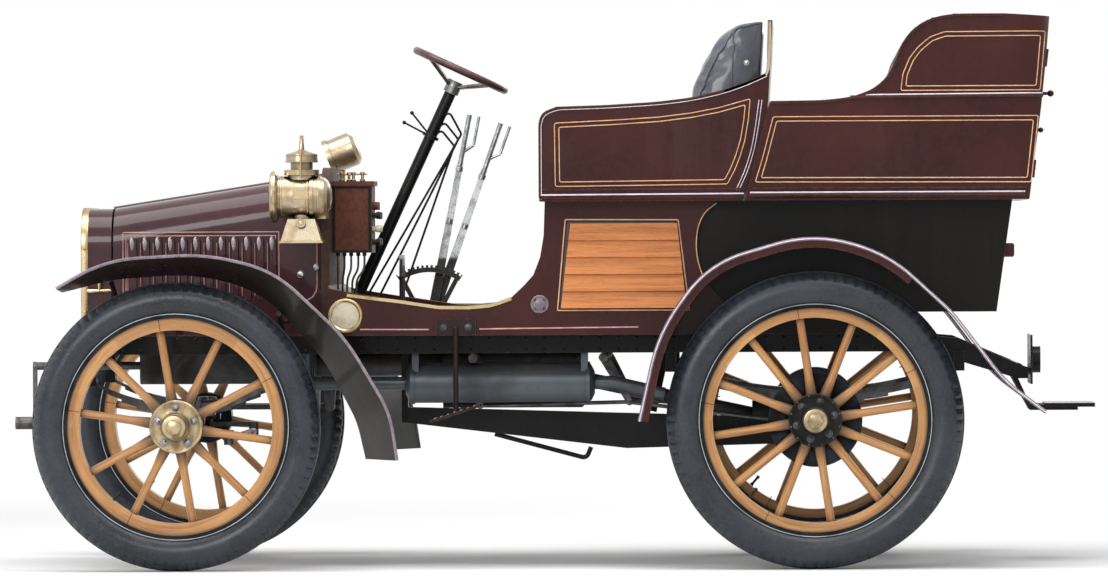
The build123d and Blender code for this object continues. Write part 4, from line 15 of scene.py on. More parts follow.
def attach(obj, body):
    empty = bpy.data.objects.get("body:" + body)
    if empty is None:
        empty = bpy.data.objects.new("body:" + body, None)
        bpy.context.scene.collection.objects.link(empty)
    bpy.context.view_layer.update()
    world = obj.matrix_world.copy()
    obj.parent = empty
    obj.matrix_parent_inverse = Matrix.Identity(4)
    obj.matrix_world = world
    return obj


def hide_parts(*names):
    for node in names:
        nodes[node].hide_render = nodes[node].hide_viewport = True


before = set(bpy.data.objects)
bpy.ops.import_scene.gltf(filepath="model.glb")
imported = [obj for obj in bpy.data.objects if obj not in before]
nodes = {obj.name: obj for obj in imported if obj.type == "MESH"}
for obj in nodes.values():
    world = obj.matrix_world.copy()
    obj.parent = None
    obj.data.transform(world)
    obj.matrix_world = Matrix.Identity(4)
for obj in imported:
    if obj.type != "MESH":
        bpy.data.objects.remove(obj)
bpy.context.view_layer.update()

# %% [markdown]
# The camera comes first. The photograph was taken from far away with a long lens, almost square
# to the car's left side and about a metre up, so a 272 mm lens stands 25 m out, turned a little
# towards the bonnet. Distance sets how much the far wheels shrink, and the lens sets the scale.

# %% Camera
CAMERA_AT = (0.7408, -25.35, 0.9705)
CAMERA_TURN = (90 - 0.3516, 0.0, 1.6666)
CAMERA_ROLL = 0.2735
LENS = 271.69

camera_data = bpy.data.cameras.new("camera")
camera = bpy.data.objects.new("camera", camera_data)
bpy.context.scene.collection.objects.link(camera)
camera_data.lens = LENS
camera_data.sensor_width = 36.0
camera_data.sensor_fit = "HORIZONTAL"
camera_data.clip_end = 200.0
turn = Matrix.Rotation(radians(CAMERA_TURN[2]), 4, "Z") @ Matrix.Rotation(radians(CAMERA_TURN[0]), 4, "X")
turn = turn @ Matrix.Rotation(radians(-CAMERA_ROLL), 4, "Z")
camera.matrix_world = Matrix.Translation(CAMERA_AT) @ turn
bpy.context.scene.camera = camera
print("camera at", CAMERA_AT)

# %% [markdown]
# A studio floor should keep the car's shadow and yet melt into a white background. The floor is
# a diffuse white near the car and turns into plain white light further out, so no horizon shows.
# The light is a broad overhead panel, one beside the camera, a weaker one behind the car, and a
# soft sky.

# %% Floor, sky and lamps
scene = bpy.context.scene
scene.view_settings.view_transform = "Standard"
FLOOR_HALF = 60.0
SHADOW_NEAR, SHADOW_FAR = 3.2, 7.0
SKY_FILL = 0.55


def add_node(tree, kind, settings=None, **inputs):
    """Adds a shader node, and sets or links its inputs by name, or by number as in0."""
    made = tree.nodes.new("ShaderNode" + kind)
    for key, value in (settings or {}).items():
        setattr(made, key, value)
    for key, value in inputs.items():
        numbered = key.startswith("in") and key[2:].isdigit()
        socket = made.inputs[int(key[2:]) if numbered else key.replace("_", " ")]
        if isinstance(value, bpy.types.NodeSocket):
            tree.links.new(value, socket)
        else:
            socket.default_value = value
    return made


def mesh_object(name, points, faces, smooth=False):
    """Makes a mesh object from points and faces, with its normals facing out."""
    mesh = bpy.data.meshes.new(name)
    mesh.from_pydata([tuple(point) for point in points], [], faces)
    work = bmesh.new()
    work.from_mesh(mesh)
    bmesh.ops.recalc_face_normals(work, faces=work.faces)
    work.to_mesh(mesh)
    work.free()
    mesh.polygons.foreach_set("use_smooth", [smooth] * len(mesh.polygons))
    made = bpy.data.objects.new(name, mesh)
    bpy.context.scene.collection.objects.link(made)
    return made


floor = mesh_object("studio_floor", [(-FLOOR_HALF, -FLOOR_HALF, 0), (FLOOR_HALF, -FLOOR_HALF, 0),
                                     (FLOOR_HALF, FLOOR_HALF, 0), (-FLOOR_HALF, FLOOR_HALF, 0)],
                    [(0, 1, 2, 3)])
floor_paint = bpy.data.materials.new("floor_white")
floor_paint.use_nodes = True
tree = floor_paint.node_tree
tree.nodes.clear()
place = add_node(tree, "TexCoord")
reach = add_node(tree, "VectorMath", {"operation": "LENGTH"}, in0=place.outputs["Object"])
fade = add_node(tree, "MapRange", {"interpolation_type": "SMOOTHSTEP"}, Value=reach.outputs["Value"],
                From_Min=SHADOW_NEAR, From_Max=SHADOW_FAR)
matt = add_node(tree, "BsdfDiffuse", Color=(0.88, 0.88, 0.88, 1))
glow = add_node(tree, "Emission", Color=(1, 1, 1, 1), Strength=1.0)
rays = add_node(tree, "LightPath")
seen = add_node(tree, "Math", {"operation": "MAXIMUM"}, in0=rays.outputs["Is Camera Ray"],
                in1=rays.outputs["Is Glossy Ray"])
share = add_node(tree, "Math", {"operation": "MULTIPLY"}, in0=seen.outputs[0], in1=fade.outputs[0])
both = add_node(tree, "MixShader", in0=share.outputs[0], in1=matt.outputs[0], in2=glow.outputs[0])
end = add_node(tree, "OutputMaterial", Surface=both.outputs[0])
floor.data.materials.append(floor_paint)

world = bpy.data.worlds.new("studio_sky")
scene.world = world
world.use_nodes = True
tree = world.node_tree
tree.nodes.clear()
rays = add_node(tree, "LightPath")
shown = add_node(tree, "Math", {"operation": "MAXIMUM"}, in0=rays.outputs["Is Camera Ray"],
                 in1=rays.outputs["Is Glossy Ray"])
shown = add_node(tree, "Math", {"operation": "MAXIMUM"}, in0=shown.outputs[0],
                 in1=rays.outputs["Is Transmission Ray"])
level = add_node(tree, "MapRange", Value=shown.outputs[0], To_Min=SKY_FILL, To_Max=1.0)
sky = add_node(tree, "Background", Color=(1, 1, 1, 1), Strength=level.outputs[0])
add_node(tree, "OutputWorld", Surface=sky.outputs[0])

# name, place, aim, width, height, power in watts
PANELS = [
    ("overhead_panel", (-0.2, -1.2, 5.2), (0.0, 0.0, 0.6), 7.0, 3.2, 300.0),
    ("camera_panel", (-3.5, -9.0, 4.2), (0.0, 0.0, 0.8), 5.0, 3.0, 330.0),
    ("back_panel", (2.5, 7.5, 4.0), (0.0, 0.0, 0.8), 5.0, 3.0, 160.0),
]
for name, at, aim, width, height, power in PANELS:
    lamp = bpy.data.lights.new(name, "AREA")
    lamp.shape = "RECTANGLE"
    lamp.size, lamp.size_y, lamp.energy = width, height, power
    stand = bpy.data.objects.new(name, lamp)
    scene.collection.objects.link(stand)
    stand.location = at
    stand.rotation_euler = (Vector(aim) - Vector(at)).to_track_quat("-Z", "Y").to_euler()
print("studio:", len(PANELS), "panels, sky fill", SKY_FILL)

# %% [markdown]
# Old finishes share a few effects: dust that lies on upward faces, edges rubbed to a paler colour,
# streaks where rain ran down, wood grain, and a painted shade that darkens hollows and corners by
# ambient occlusion. Each effect is one node group with named inputs, built once here and placed in
# many materials. The recipe class holds one node tree and gives its nodes short calls.

# %% Shared effects


class Recipe:
    """Short calls for the nodes of one material or one shared effect."""

    def __init__(self, tree):
        self.tree = tree
        self.place = self.add("TexCoord")["Object"]

    def add(self, kind, settings=None, **inputs):
        return add_node(self.tree, kind, settings, **inputs).outputs

    def maths(self, operation, first, second=0.0):
        return self.add("Math", {"operation": operation}, in0=first, in1=second)[0]

    def times(self, first, second):
        return self.maths("MULTIPLY", first, second)

    def plus(self, first, second):
        return self.maths("ADD", first, second)

    def most(self, first, second):
        return self.maths("MAXIMUM", first, second)

    def vector(self, operation, first, second=(0.0, 0.0, 0.0)):
        return self.add("VectorMath", {"operation": operation}, in0=first, in1=second)

    def ramp(self, value, low, high, to_low=0.0, to_high=1.0):
        return self.add("MapRange", {"interpolation_type": "SMOOTHSTEP"}, Value=value, From_Min=low,
                        From_Max=high, To_Min=to_low, To_Max=to_high)[0]

    def noise(self, scale, detail=4.0, roughness=0.55, distortion=0.0, at=None):
        return self.add("TexNoise", Vector=self.place if at is None else at, Scale=scale, Detail=detail,
                        Roughness=roughness, Distortion=distortion)["Fac"]

    def patches(self, low, high, scale, detail=4.0, roughness=0.55, distortion=0.0, at=None):
        """Noise as a mask: nought where it is under low, one where it is over high."""
        return self.ramp(self.noise(scale, detail, roughness, distortion, at), low, high)

    def cracks(self, scale, width):
        """Thin lines between the cells of a Voronoi pattern."""
        cells = self.add("TexVoronoi", {"feature": "DISTANCE_TO_EDGE"}, Vector=self.place, Scale=scale)
        return self.ramp(cells["Distance"], 0.0, width, 1.0, 0.0)

    def stretched(self, scale):
        return self.add("Mapping", Vector=self.place, Scale=scale)[0]

    def shared(self, group, **inputs):
        """Places a shared effect, and sets or links its inputs."""
        made = self.tree.nodes.new("ShaderNodeGroup")
        made.node_tree = group
        for key, value in inputs.items():
            self.feed(made.inputs[key], value)
        return made.outputs

    def feed(self, socket, value):
        if isinstance(value, bpy.types.NodeSocket):
            self.tree.links.new(value, socket)
        else:
            socket.default_value = value


def shared_effect(name, inputs, outputs):
    """Starts a shader node group, and returns its recipe with its inputs and outputs."""
    group = bpy.data.node_groups.new(name, "ShaderNodeTree")
    for label, kind, value in inputs:
        socket = group.interface.new_socket(label, in_out="INPUT", socket_type="NodeSocket" + kind)
        if value is not None:
            socket.default_value = value
    for label in outputs:
        group.interface.new_socket(label, in_out="OUTPUT", socket_type="NodeSocketFloat")
    return Recipe(group), group.nodes.new("NodeGroupInput").outputs, group.nodes.new("NodeGroupOutput").inputs


effect, given, out = shared_effect("dust_film", [("Amount", "Float", 0.4), ("Scale", "Float", 6.0)], ["Mask"])
facing = effect.add("SeparateXYZ", Vector=effect.add("NewGeometry")["Normal"])["Z"]
height = effect.add("SeparateXYZ", Vector=effect.place)["Z"]
lying = effect.ramp(facing, -0.1, 1.0, 0.15, 1.0)
low_down = effect.ramp(height, 0.1, 1.3, 1.0, 0.35)
film = effect.times(effect.times(lying, low_down), effect.patches(0.35, 0.75, given["Scale"], 6.0, 0.65))
effect.feed(out["Mask"], effect.times(film, given["Amount"]))
dust_film = effect.tree

effect, given, out = shared_effect("rubbed_edge", [("Width", "Float", 0.003), ("Scale", "Float", 40.0)],
                                   ["Mask"])
bevel = effect.add("Bevel", {"samples": 4}, Radius=given["Width"])[0]
along = effect.vector("DOT_PRODUCT", bevel, effect.add("NewGeometry")["Normal"])["Value"]
edge = effect.ramp(along, 0.985, 0.86)
effect.feed(out["Mask"], effect.times(edge, effect.patches(0.38, 0.62, given["Scale"], 5.0, 0.7)))
rubbed_edge = effect.tree

effect, given, out = shared_effect("rain_streaks", [("Scale", "Float", 14.0)], ["Mask"])
long_way = effect.stretched((1.0, 1.0, 0.06))
runs = effect.patches(0.42, 0.72, given["Scale"], 5.0, 0.7, at=long_way)
effect.feed(out["Mask"], effect.times(runs, effect.patches(0.35, 0.7, 1.7, 3.0)))
rain_streaks = effect.tree

effect, given, out = shared_effect("board_grain", [("Vector", "Vector", None),
                                                   ("Stretch", "Vector", (1.5, 40.0, 40.0)),
                                                   ("Knots", "Float", 0.6)], ["Grain", "Tone"])
long_way = effect.vector("MULTIPLY", given["Vector"], given["Stretch"])[0]
effect.feed(out["Grain"], effect.patches(0.36, 0.66, 6.0, 8.0, 0.7, 0.4, long_way))
rings = effect.patches(0.35, 0.7, 1.6, 3.0, 0.5, 1.2, long_way)
effect.feed(out["Tone"], effect.times(rings, given["Knots"]))
board_grain = effect.tree

# Painted shade: ambient occlusion darkens the colour in hollows, corners and between parts.
effect, given, out = shared_effect("hollow_shade", [("Reach", "Float", 0.03)], ["Mask"])
open_sky = effect.add("AmbientOcclusion", {"samples": 6}, Distance=given["Reach"])["AO"]
effect.feed(out["Mask"], effect.ramp(open_sky, 0.92, 0.35))
hollow_shade = effect.tree
print("shared effects:", [group.name for group in bpy.data.node_groups])

# %% [markdown]
# Every finish below starts the same way: one Principled shader whose plain settings sit on its own
# sockets, and a base colour that is built up in layers, each laid on through a mask. Coordinates
# come from the piece itself, so a finish turns and opens with the piece that wears it.

# %% Finish helpers
DUST = (0.34, 0.30, 0.25)


def tint(colour, share):
    return tuple(part * share for part in colour)


class Finish(Recipe):
    """A material with one Principled shader. Colours are red, green and blue."""

    def __init__(self, name, **settings):
        self.made = bpy.data.materials.new(name)
        self.made.use_nodes = True
        super().__init__(self.made.node_tree)
        self.shader = self.tree.nodes["Principled BSDF"].inputs
        for key, value in settings.items():
            self.shader[key.replace("_", " ")].default_value = value

    def mix(self, share, first, second):
        made = add_node(self.tree, "Mix", {"data_type": "RGBA", "blend_type": "MIX"})
        for number, value in ((0, share), (6, first), (7, second)):
            self.feed(made.inputs[number], value + (1.0,) if isinstance(value, tuple) else value)
        return made.outputs[2]

    def start(self, mask, first, second):
        self.base = self.mix(mask, first, second)

    def layer(self, mask, colour, share=None):
        """Lays a colour on through a mask, and returns the mask."""
        self.base = self.mix(mask if share is None else self.times(mask, share), self.base, colour)
        return mask

    def rubbed(self, width, scale, colour, share=None):
        return self.layer(self.shared(rubbed_edge, Width=width, Scale=scale)["Mask"], colour, share)

    # Painted shade: lays a colour into hollows and corners through ambient occlusion.
    def shade_hollows(self, reach, colour, share=None):
        return self.layer(self.shared(hollow_shade, Reach=reach)["Mask"], colour, share)

    def dusty(self, amount, scale, colour=DUST):
        return self.layer(self.shared(dust_film, Amount=amount, Scale=scale)["Mask"], colour)

    def done(self, rough, height=None, distance=0.0, strength=0.0):
        """Links the colour, the roughness and a relief of that height in metres."""
        self.feed(self.shader["Base Color"], self.base)
        self.feed(self.shader["Roughness"], rough)
        if height is not None:
            bump = self.add("Bump", Height=height, Distance=distance, Strength=strength)[0]
            self.feed(self.shader["Normal"], bump)
        return self.made


print("dust colour", DUST)

# %% [markdown]
# The body is brush painted in a very dark oxblood red under clear varnish, a hundred years old: it
# reflects like glass, yet the reflection wavers, edges have rubbed through, and dust has settled
# low down. A clear coat over a dark base gives the depth; noise bends the coat a little.

# %% Coach paint and enamel


def coach_paint(name, colour, edge_colour, dust, streaks, gloss=0.3):
    paint = Finish(name, Coat_Roughness=0.07, Coat_IOR=1.35, IOR=1.22)
    cloudy = paint.patches(0.3, 0.7, 2.2, 5.0, 0.6)
    fine = paint.patches(0.35, 0.7, 60.0, 3.0, 0.6)
    paint.start(cloudy, tint(colour, 0.8), tint(colour, 1.3))
    paint.layer(fine, tint(colour, 1.8), 0.25)
    paint.layer(paint.shared(rain_streaks, Scale=12.0)["Mask"], tint(DUST, 0.6), streaks)
    worn = paint.rubbed(0.0035, 55.0, edge_colour)
    used = paint.most(paint.dusty(dust, 5.0), worn)
    hairlines = paint.times(paint.cracks(9.0, 0.004), paint.patches(0.52, 0.66, 7.0, 3.0))
    paint.layer(hairlines, tint(colour, 3.0), 0.5)
    paint.feed(paint.shader["Coat Weight"], paint.ramp(used, 0.0, 0.7, gloss, 0.04))
    rough = paint.plus(paint.plus(paint.times(cloudy, 0.14), 0.24), paint.times(used, 0.5))
    waves = paint.plus(paint.noise(5.0, 2.0, 0.4), paint.times(fine, 0.08))
    return paint.done(rough, waves, 0.0036, 0.5)


maroon = coach_paint("oxblood_coach_paint", (0.036, 0.0085, 0.0075), (0.14, 0.07, 0.06), 0.06, 0.07)
maroon_bonnet = coach_paint("oxblood_bonnet_paint", (0.036, 0.009, 0.013), (0.15, 0.08, 0.08), 0.04, 0.05,
                            0.9)
wing_black = coach_paint("black_wing_enamel", (0.009, 0.007, 0.0055), (0.12, 0.10, 0.075), 0.07, 0.10, 0.14)
chassis_black = coach_paint("black_chassis_enamel", (0.005, 0.0053, 0.0056), (0.10, 0.08, 0.06), 0.05, 0.07,
                            0.12)
body_black = coach_paint("lower_body_black", (0.0062, 0.0048, 0.0042), (0.10, 0.08, 0.06), 0.03, 0.04, 0.15)
wing_maroon = coach_paint("rear_wing_paint", (0.016, 0.006, 0.0065), (0.14, 0.09, 0.085), 0.07, 0.08)
# Painted highlight: a pale lilac paint for the light that the wing beads and side bosses catch.
bead_highlight_paint = coach_paint("rolled_bead_paint", (0.15, 0.115, 0.135), (0.55, 0.50, 0.55), 0.05, 0.05, 0.9)
# Painted highlight: a pale lilac paint for the light that each louvre's hood catches.
hood_highlight_paint = coach_paint("louvre_hood_paint", (0.30, 0.26, 0.29), (0.72, 0.68, 0.72), 0.05, 0.05, 0.9)
print("paints:", maroon.name, maroon_bonnet.name, wing_black.name, chassis_black.name)

# %% [markdown]
# Brass, nickel and steel are metals, so their colour is the colour of their reflection. Old brass
# is never one tone: polish leaves the high places pale, a brown tarnish lies in patches with small
# dark spots, and a painted shade darkens the hollows. The same recipe with other colours makes worn
# steel and cast iron.

# %% Bright metals and castings


def worn_metal(name, bright, dull, smooth, rough, spots, scale=9.0, grit=0.00035, metal=1.0):
    alloy = Finish(name)
    patches = alloy.patches(0.36, 0.68, scale, 6.0, 0.62, 0.5)
    specks = alloy.patches(0.60, 0.74, scale * 16, 4.0, 0.7)
    alloy.start(patches, bright, dull)
    spotted = alloy.layer(alloy.times(specks, spots), tint(dull, 0.25))
    alloy.rubbed(0.002, 70.0, bright, 0.7)
    # Painted shade in hollows and corners, in a dark tarnish colour.
    alloy.shade_hollows(0.022, tint(dull, 0.3), 0.85)
    film = alloy.dusty(spots * 0.25, 7.0)
    brushed = alloy.noise(5.0, 3.0, 0.6, at=alloy.stretched((6.0, 90.0, 90.0)))
    level = alloy.plus(alloy.times(patches, 0.75), alloy.times(brushed, 0.3))
    level = alloy.ramp(level, 0.0, 1.0, smooth, rough)
    alloy.feed(alloy.shader["Metallic"], alloy.ramp(alloy.most(film, spotted), 0.0, 0.8, metal, metal * 0.2))
    bumps = alloy.plus(alloy.noise(34.0, 4.0, 0.6), alloy.times(specks, -0.4))
    return alloy.done(alloy.most(level, film), bumps, grit, 0.7)


brass = worn_metal("aged_brass", (0.68, 0.53, 0.31), (0.33, 0.23, 0.11), 0.16, 0.42, 0.5)
pale_brass = worn_metal("pale_lamp_brass", (0.59, 0.50, 0.36), (0.27, 0.20, 0.12), 0.20, 0.46, 0.55)
steel = worn_metal("bright_steel", (0.56, 0.57, 0.58), (0.20, 0.20, 0.205), 0.16, 0.45, 0.4)
rim_steel = worn_metal("dark_rim_steel", (0.026, 0.029, 0.035), (0.009, 0.010, 0.012), 0.28, 0.5, 0.2)
hub_brass = worn_metal("aged_hub_brass", (0.52, 0.42, 0.26), (0.21, 0.155, 0.085), 0.26, 0.52, 0.6, 22.0)
cast_iron = worn_metal("painted_castings", (0.085, 0.088, 0.092), (0.035, 0.032, 0.03), 0.42, 0.75, 0.7, 6.0,
                       0.0012, 0.5)
oily_steel = worn_metal("oily_spring_steel", (0.12, 0.12, 0.125), (0.045, 0.038, 0.032), 0.3, 0.62, 0.6, 14.0,
                        0.0006, 0.8)
copper = worn_metal("radiator_copper", (0.26, 0.17, 0.11), (0.07, 0.055, 0.045), 0.35, 0.65, 0.6, 20.0,
                    0.0006)
silencer_grey = worn_metal("silencer_sheet", (0.075, 0.088, 0.10), (0.034, 0.04, 0.046), 0.30, 0.5, 0.5, 5.0,
                           0.0008, 0.35)
print("metals made")

# %% [markdown]
# The wheels are varnished ash. In a spoke the grain runs out from the hub, and in the felloes it
# follows the rim, so the grain is drawn in polar coordinates about the wheel's centre: one noise
# stretched along the radius, one stretched round the circle, and the radius picks between them.

# %% Wheel wood
FRONT_WHEEL, REAR_WHEEL = (-1.0975, 0.428), (0.7925, 0.440)


def wheel_wood(name, centre, felloe_inside):
    wood = Finish(name, Coat_Weight=0.3, Coat_Roughness=0.16, Coat_IOR=1.4, IOR=1.38)
    moved = wood.vector("SUBTRACT", wood.place, (centre[0], 0.0, centre[1]))[0]
    apart = wood.add("SeparateXYZ", Vector=moved)
    flat = wood.add("CombineXYZ", X=apart["X"], Z=apart["Z"])[0]
    radius = wood.vector("LENGTH", flat)["Value"]
    angle = wood.maths("ARCTAN2", apart["Z"], apart["X"])
    round_rim = wood.add("CombineXYZ", X=wood.times(angle, 0.42), Y=wood.times(radius, 22.0),
                         Z=wood.times(apart["Y"], 22.0))[0]
    out_along = wood.add("CombineXYZ", X=wood.times(radius, 1.5), Y=wood.times(angle, 5.0),
                         Z=wood.times(apart["Y"], 24.0))[0]
    in_felloe = wood.maths("GREATER_THAN", radius, felloe_inside)
    pick = wood.add("Mix", {"data_type": "VECTOR"}, in0=in_felloe, in4=out_along, in5=round_rim)[1]
    grain = wood.shared(board_grain, Vector=pick, Stretch=(1.0, 1.0, 1.0), Knots=0.7)
    each = wood.add("TexWhiteNoise", {"noise_dimensions": "1D"},
                    W=wood.maths("ROUND", wood.times(angle, 1.6)))
    # Painted shade: the spokes darken in a band just outside the hub plate, where they crowd together.
    root_shade_distance = wood.maths("ABSOLUTE", wood.maths("SUBTRACT", radius, 0.085))
    wood.start(grain["Tone"], (0.51, 0.245, 0.082), (0.24, 0.088, 0.025))
    wood.layer(grain["Grain"], (0.66, 0.40, 0.17), 0.5)
    wood.layer(each["Value"], (0.30, 0.125, 0.042), 0.45)
    wood.layer(wood.ramp(root_shade_distance, 0.0, 0.05, 0.75, 0.0), (0.09, 0.05, 0.025))
    wood.layer(wood.patches(0.62, 0.75, 90.0, 4.0, 0.7), (0.10, 0.055, 0.03), 0.6)
    wood.rubbed(0.004, 45.0, (0.74, 0.50, 0.28), 0.5)
    # Painted shade in hollows and corners.
    wood.shade_hollows(0.030, (0.050, 0.020, 0.010), 0.8)
    film = wood.dusty(0.12, 9.0)
    rough = wood.plus(wood.plus(wood.times(grain["Grain"], 0.16), 0.30), wood.times(film, 0.4))
    return wood.done(rough, grain["Grain"], 0.0006, 0.5)


front_wood = wheel_wood("front_wheel_ash", FRONT_WHEEL, 0.287)
rear_wood = wheel_wood("rear_wheel_ash", REAR_WHEEL, 0.303)
print("wheel woods:", front_wood.name, rear_wood.name)

# %% [markdown]
# The other woods are straight boards. The grain group takes the piece's coordinates and a stretch:
# a small stretch along the board and a large one across it. The louvred panels under the front seat
# are orange with fresh varnish, the coil box is red mahogany, the floor is plain dirty pine.

# %% Board woods


def board_wood(name, light, dark, stretch, varnish, dust):
    wood = Finish(name, Coat_Weight=varnish, Coat_Roughness=0.12, Coat_IOR=1.4, IOR=1.3)
    grain = wood.shared(board_grain, Vector=wood.place, Stretch=stretch, Knots=0.7)
    wood.start(grain["Tone"], light, dark)
    wood.layer(grain["Grain"], tint(light, 1.25), 0.5)
    pores = wood.layer(wood.patches(0.6, 0.72, 22.0, 2.0, at=wood.stretched(stretch)), tint(dark, 0.4), 0.5)
    wood.rubbed(0.003, 50.0, tint(dark, 0.5), 0.6)
    film = wood.dusty(dust, 6.0)
    rough = wood.plus(wood.times(grain["Grain"], 0.15), 0.5 - varnish * 0.22)
    rough = wood.plus(rough, wood.times(film, 0.4))
    return wood.done(rough, wood.maths("SUBTRACT", grain["Grain"], pores), 0.0006, 0.6)


louvre_wood = board_wood("orange_varnished_pine", (0.60, 0.215, 0.062), (0.36, 0.105, 0.028),
                         (1.6, 16.0, 40.0), 0.55, 0.1)
mahogany = board_wood("red_mahogany", (0.115, 0.034, 0.018), (0.045, 0.012, 0.008), (30.0, 2.0, 30.0), 0.1,
                      0.1)
dash_wood = board_wood("dash_oak", (0.060, 0.030, 0.020), (0.022, 0.011, 0.009), (30.0, 1.8, 30.0), 0.02, 0.1)
floor_pine = board_wood("floor_pine", (0.20, 0.145, 0.095), (0.09, 0.06, 0.04), (1.8, 26.0, 26.0), 0.0, 0.35)
print("board woods made")

# %% [markdown]
# Rubber is a soft dark grey with a blue cast. It holds road dust in its ribs and shows a web of
# fine cracks on the walls. Leather is nearly black with a navy shine; its grain is small cells
# with creases between them, and the creases stay dull while the tops are polished by use.

# %% Rubber, leather and glass
soft = Finish("old_tyre_rubber", IOR=1.42)
patch = soft.patches(0.3, 0.72, 5.0, 5.0, 0.65)
soft.start(patch, (0.010, 0.013, 0.018), (0.028, 0.035, 0.047))
grit = soft.layer(soft.patches(0.45, 0.75, 130.0, 4.0, 0.7), (0.075, 0.082, 0.090), 0.30)
soft.rubbed(0.004, 60.0, (0.13, 0.14, 0.15), 0.6)
# Painted shade: the grooves and hollows darken to near black.
soft.shade_hollows(0.012, (0.006, 0.006, 0.007))
soft.dusty(0.18, 7.0, (0.25, 0.235, 0.21))
cracks = soft.times(soft.cracks(160.0, 0.06), soft.patches(0.5, 0.7, 14.0))
rubber = soft.done(soft.plus(soft.times(patch, 0.12), 0.24), soft.maths("SUBTRACT", soft.times(grit, 0.5),
                                                                        cracks), 0.0006, 0.7)

soft = Finish("navy_black_leather", IOR=1.5, Coat_Weight=0.7, Coat_Roughness=0.16)
folds = soft.patches(0.4, 0.6, 11.0, 6.0, 0.6, 1.4)
used = soft.patches(0.35, 0.7, 3.2, 4.0)
soft.start(used, (0.018, 0.023, 0.033), (0.060, 0.074, 0.104))
creases = soft.layer(soft.cracks(240.0, 0.12), (0.006, 0.006, 0.008), 0.6)
soft.rubbed(0.006, 30.0, (0.10, 0.09, 0.08), 0.5)
soft.dusty(0.16, 6.0)
leather = soft.done(soft.plus(soft.times(used, 0.14), 0.30), soft.plus(soft.times(creases, -0.5), folds),
                    0.0013, 0.7)

clear = Finish("lamp_glass", Transmission_Weight=1.0, IOR=1.46, Roughness=0.03)
smear = clear.patches(0.45, 0.7, 26.0, 5.0)
clear.start(smear, (0.97, 0.98, 0.97), (0.86, 0.86, 0.82))
lamp_glass = clear.done(clear.plus(clear.times(smear, 0.12), 0.02))
print("rubber, leather, glass made")

# %% [markdown]
# Coachlines are thin brush strokes of gold, pink and black paint; a pale lilac paint makes painted
# highlights on the mouldings and wing beads, and pink also makes the painted highlight down each
# bonnet louvre. They are modelled as very thin bars and strips that lie on the panels. Their
# material breaks the edge of the stroke a little and lets the tone wander, as a brush does.

# %% Line paints


def line_paint(name, colour, faded, rough=0.38):
    paint = Finish(name, Coat_Weight=0.3, Coat_Roughness=0.1)
    wander = paint.patches(0.35, 0.7, 24.0, 5.0, 0.7)
    paint.start(wander, colour, faded)
    missed = paint.layer(paint.patches(0.60, 0.72, 210.0, 4.0, 0.75), tint(faded, 0.3), 0.55)
    return paint.done(paint.plus(paint.times(wander, 0.2), rough), missed, 0.0002, 0.4)


gold_line = line_paint("pale_gold_line", (0.74, 0.43, 0.23), (0.54, 0.27, 0.13))
pink_line = line_paint("pink_coach_line", (0.62, 0.36, 0.33), (0.36, 0.17, 0.16))
# Painted highlight: this pale lilac stands for light caught by mouldings and the rear wing beads, and also
# draws two thin lines on the seat shell.
lilac_line_and_highlight = line_paint("lilac_moulding_line", (0.82, 0.75, 0.84), (0.58, 0.50, 0.58), 0.2)
black_line = line_paint("black_line", (0.012, 0.010, 0.010), (0.03, 0.024, 0.022))
cream_knob = line_paint("ivory_knob", (0.72, 0.66, 0.50), (0.50, 0.42, 0.28), 0.25)
print("line paints made")

# %% [markdown]
# Two CAD pieces carry two finishes. The hand levers are bright above their black quadrant, and the
# steering wheel has a wooden rim on steel spokes. A mask from the piece's own coordinates parts
# them: height for the levers, distance from the wheel's axis for the wheel.

# %% Parted finishes
QUADRANT_TOP = 0.915
STEERING_CENTRE, STEERING_RAKE, RIM_INSIDE = (-0.2889, 0.300, 1.4974), radians(24.8), 0.132


def parted_metal(name, mask_of, first, second, metal_first, metal_second):
    parted = Finish(name, Coat_Weight=0.1, Coat_Roughness=0.15)
    mask = mask_of(parted)
    mottle = parted.patches(0.34, 0.70, 26.0, 6.0, 0.65)
    grain = parted.noise(9.0, 4.0, 0.6, at=parted.stretched((40.0, 40.0, 6.0)))
    low = parted.mix(mottle, first, tint(first, 0.45))
    parted.start(mask, low, parted.mix(mottle, second, tint(second, 0.45)))
    parted.layer(parted.ramp(grain, 0.55, 0.75), tint(first, 0.3), 0.5)
    # Painted shade in hollows and corners.
    parted.shade_hollows(0.016, (0.02, 0.016, 0.013), 0.8)
    parted.rubbed(0.002, 60.0, (0.5, 0.5, 0.5), 0.6)
    parted.feed(parted.shader["Metallic"], parted.ramp(mask, 0.0, 1.0, metal_first, metal_second))
    bumps = parted.plus(mottle, grain)
    return parted.done(parted.ramp(bumps, 0.2, 1.6, 0.22, 0.5), bumps, 0.0004, 0.5)


def above_quadrant(recipe):
    height = recipe.add("SeparateXYZ", Vector=recipe.place)["Z"]
    return recipe.ramp(height, QUADRANT_TOP, QUADRANT_TOP + 0.012)


def out_on_rim(recipe):
    """One on the rim, nought on the spokes and hub."""
    moved = recipe.vector("SUBTRACT", recipe.place, STEERING_CENTRE)[0]
    across = recipe.vector("CROSS_PRODUCT", moved, (sin(STEERING_RAKE), 0.0, cos(STEERING_RAKE)))[0]
    return recipe.ramp(recipe.vector("LENGTH", across)["Value"], RIM_INSIDE, RIM_INSIDE + 0.003)


lever_steel = parted_metal("hand_lever_steel", above_quadrant, (0.022, 0.021, 0.020), (0.58, 0.59, 0.60),
                           0.2, 1.0)
wheel_finish = parted_metal("steering_wheel_finish", out_on_rim, (0.30, 0.30, 0.29), (0.085, 0.030, 0.026),
                            1.0, 0.0)
print("parted finishes:", lever_steel.name, wheel_finish.name)

# %% [markdown]
# Now each CAD piece gets its finish by name, and one table keeps the choice in one place. A second
# colour on a piece, such as its lines and beads, comes from the new pieces further down.

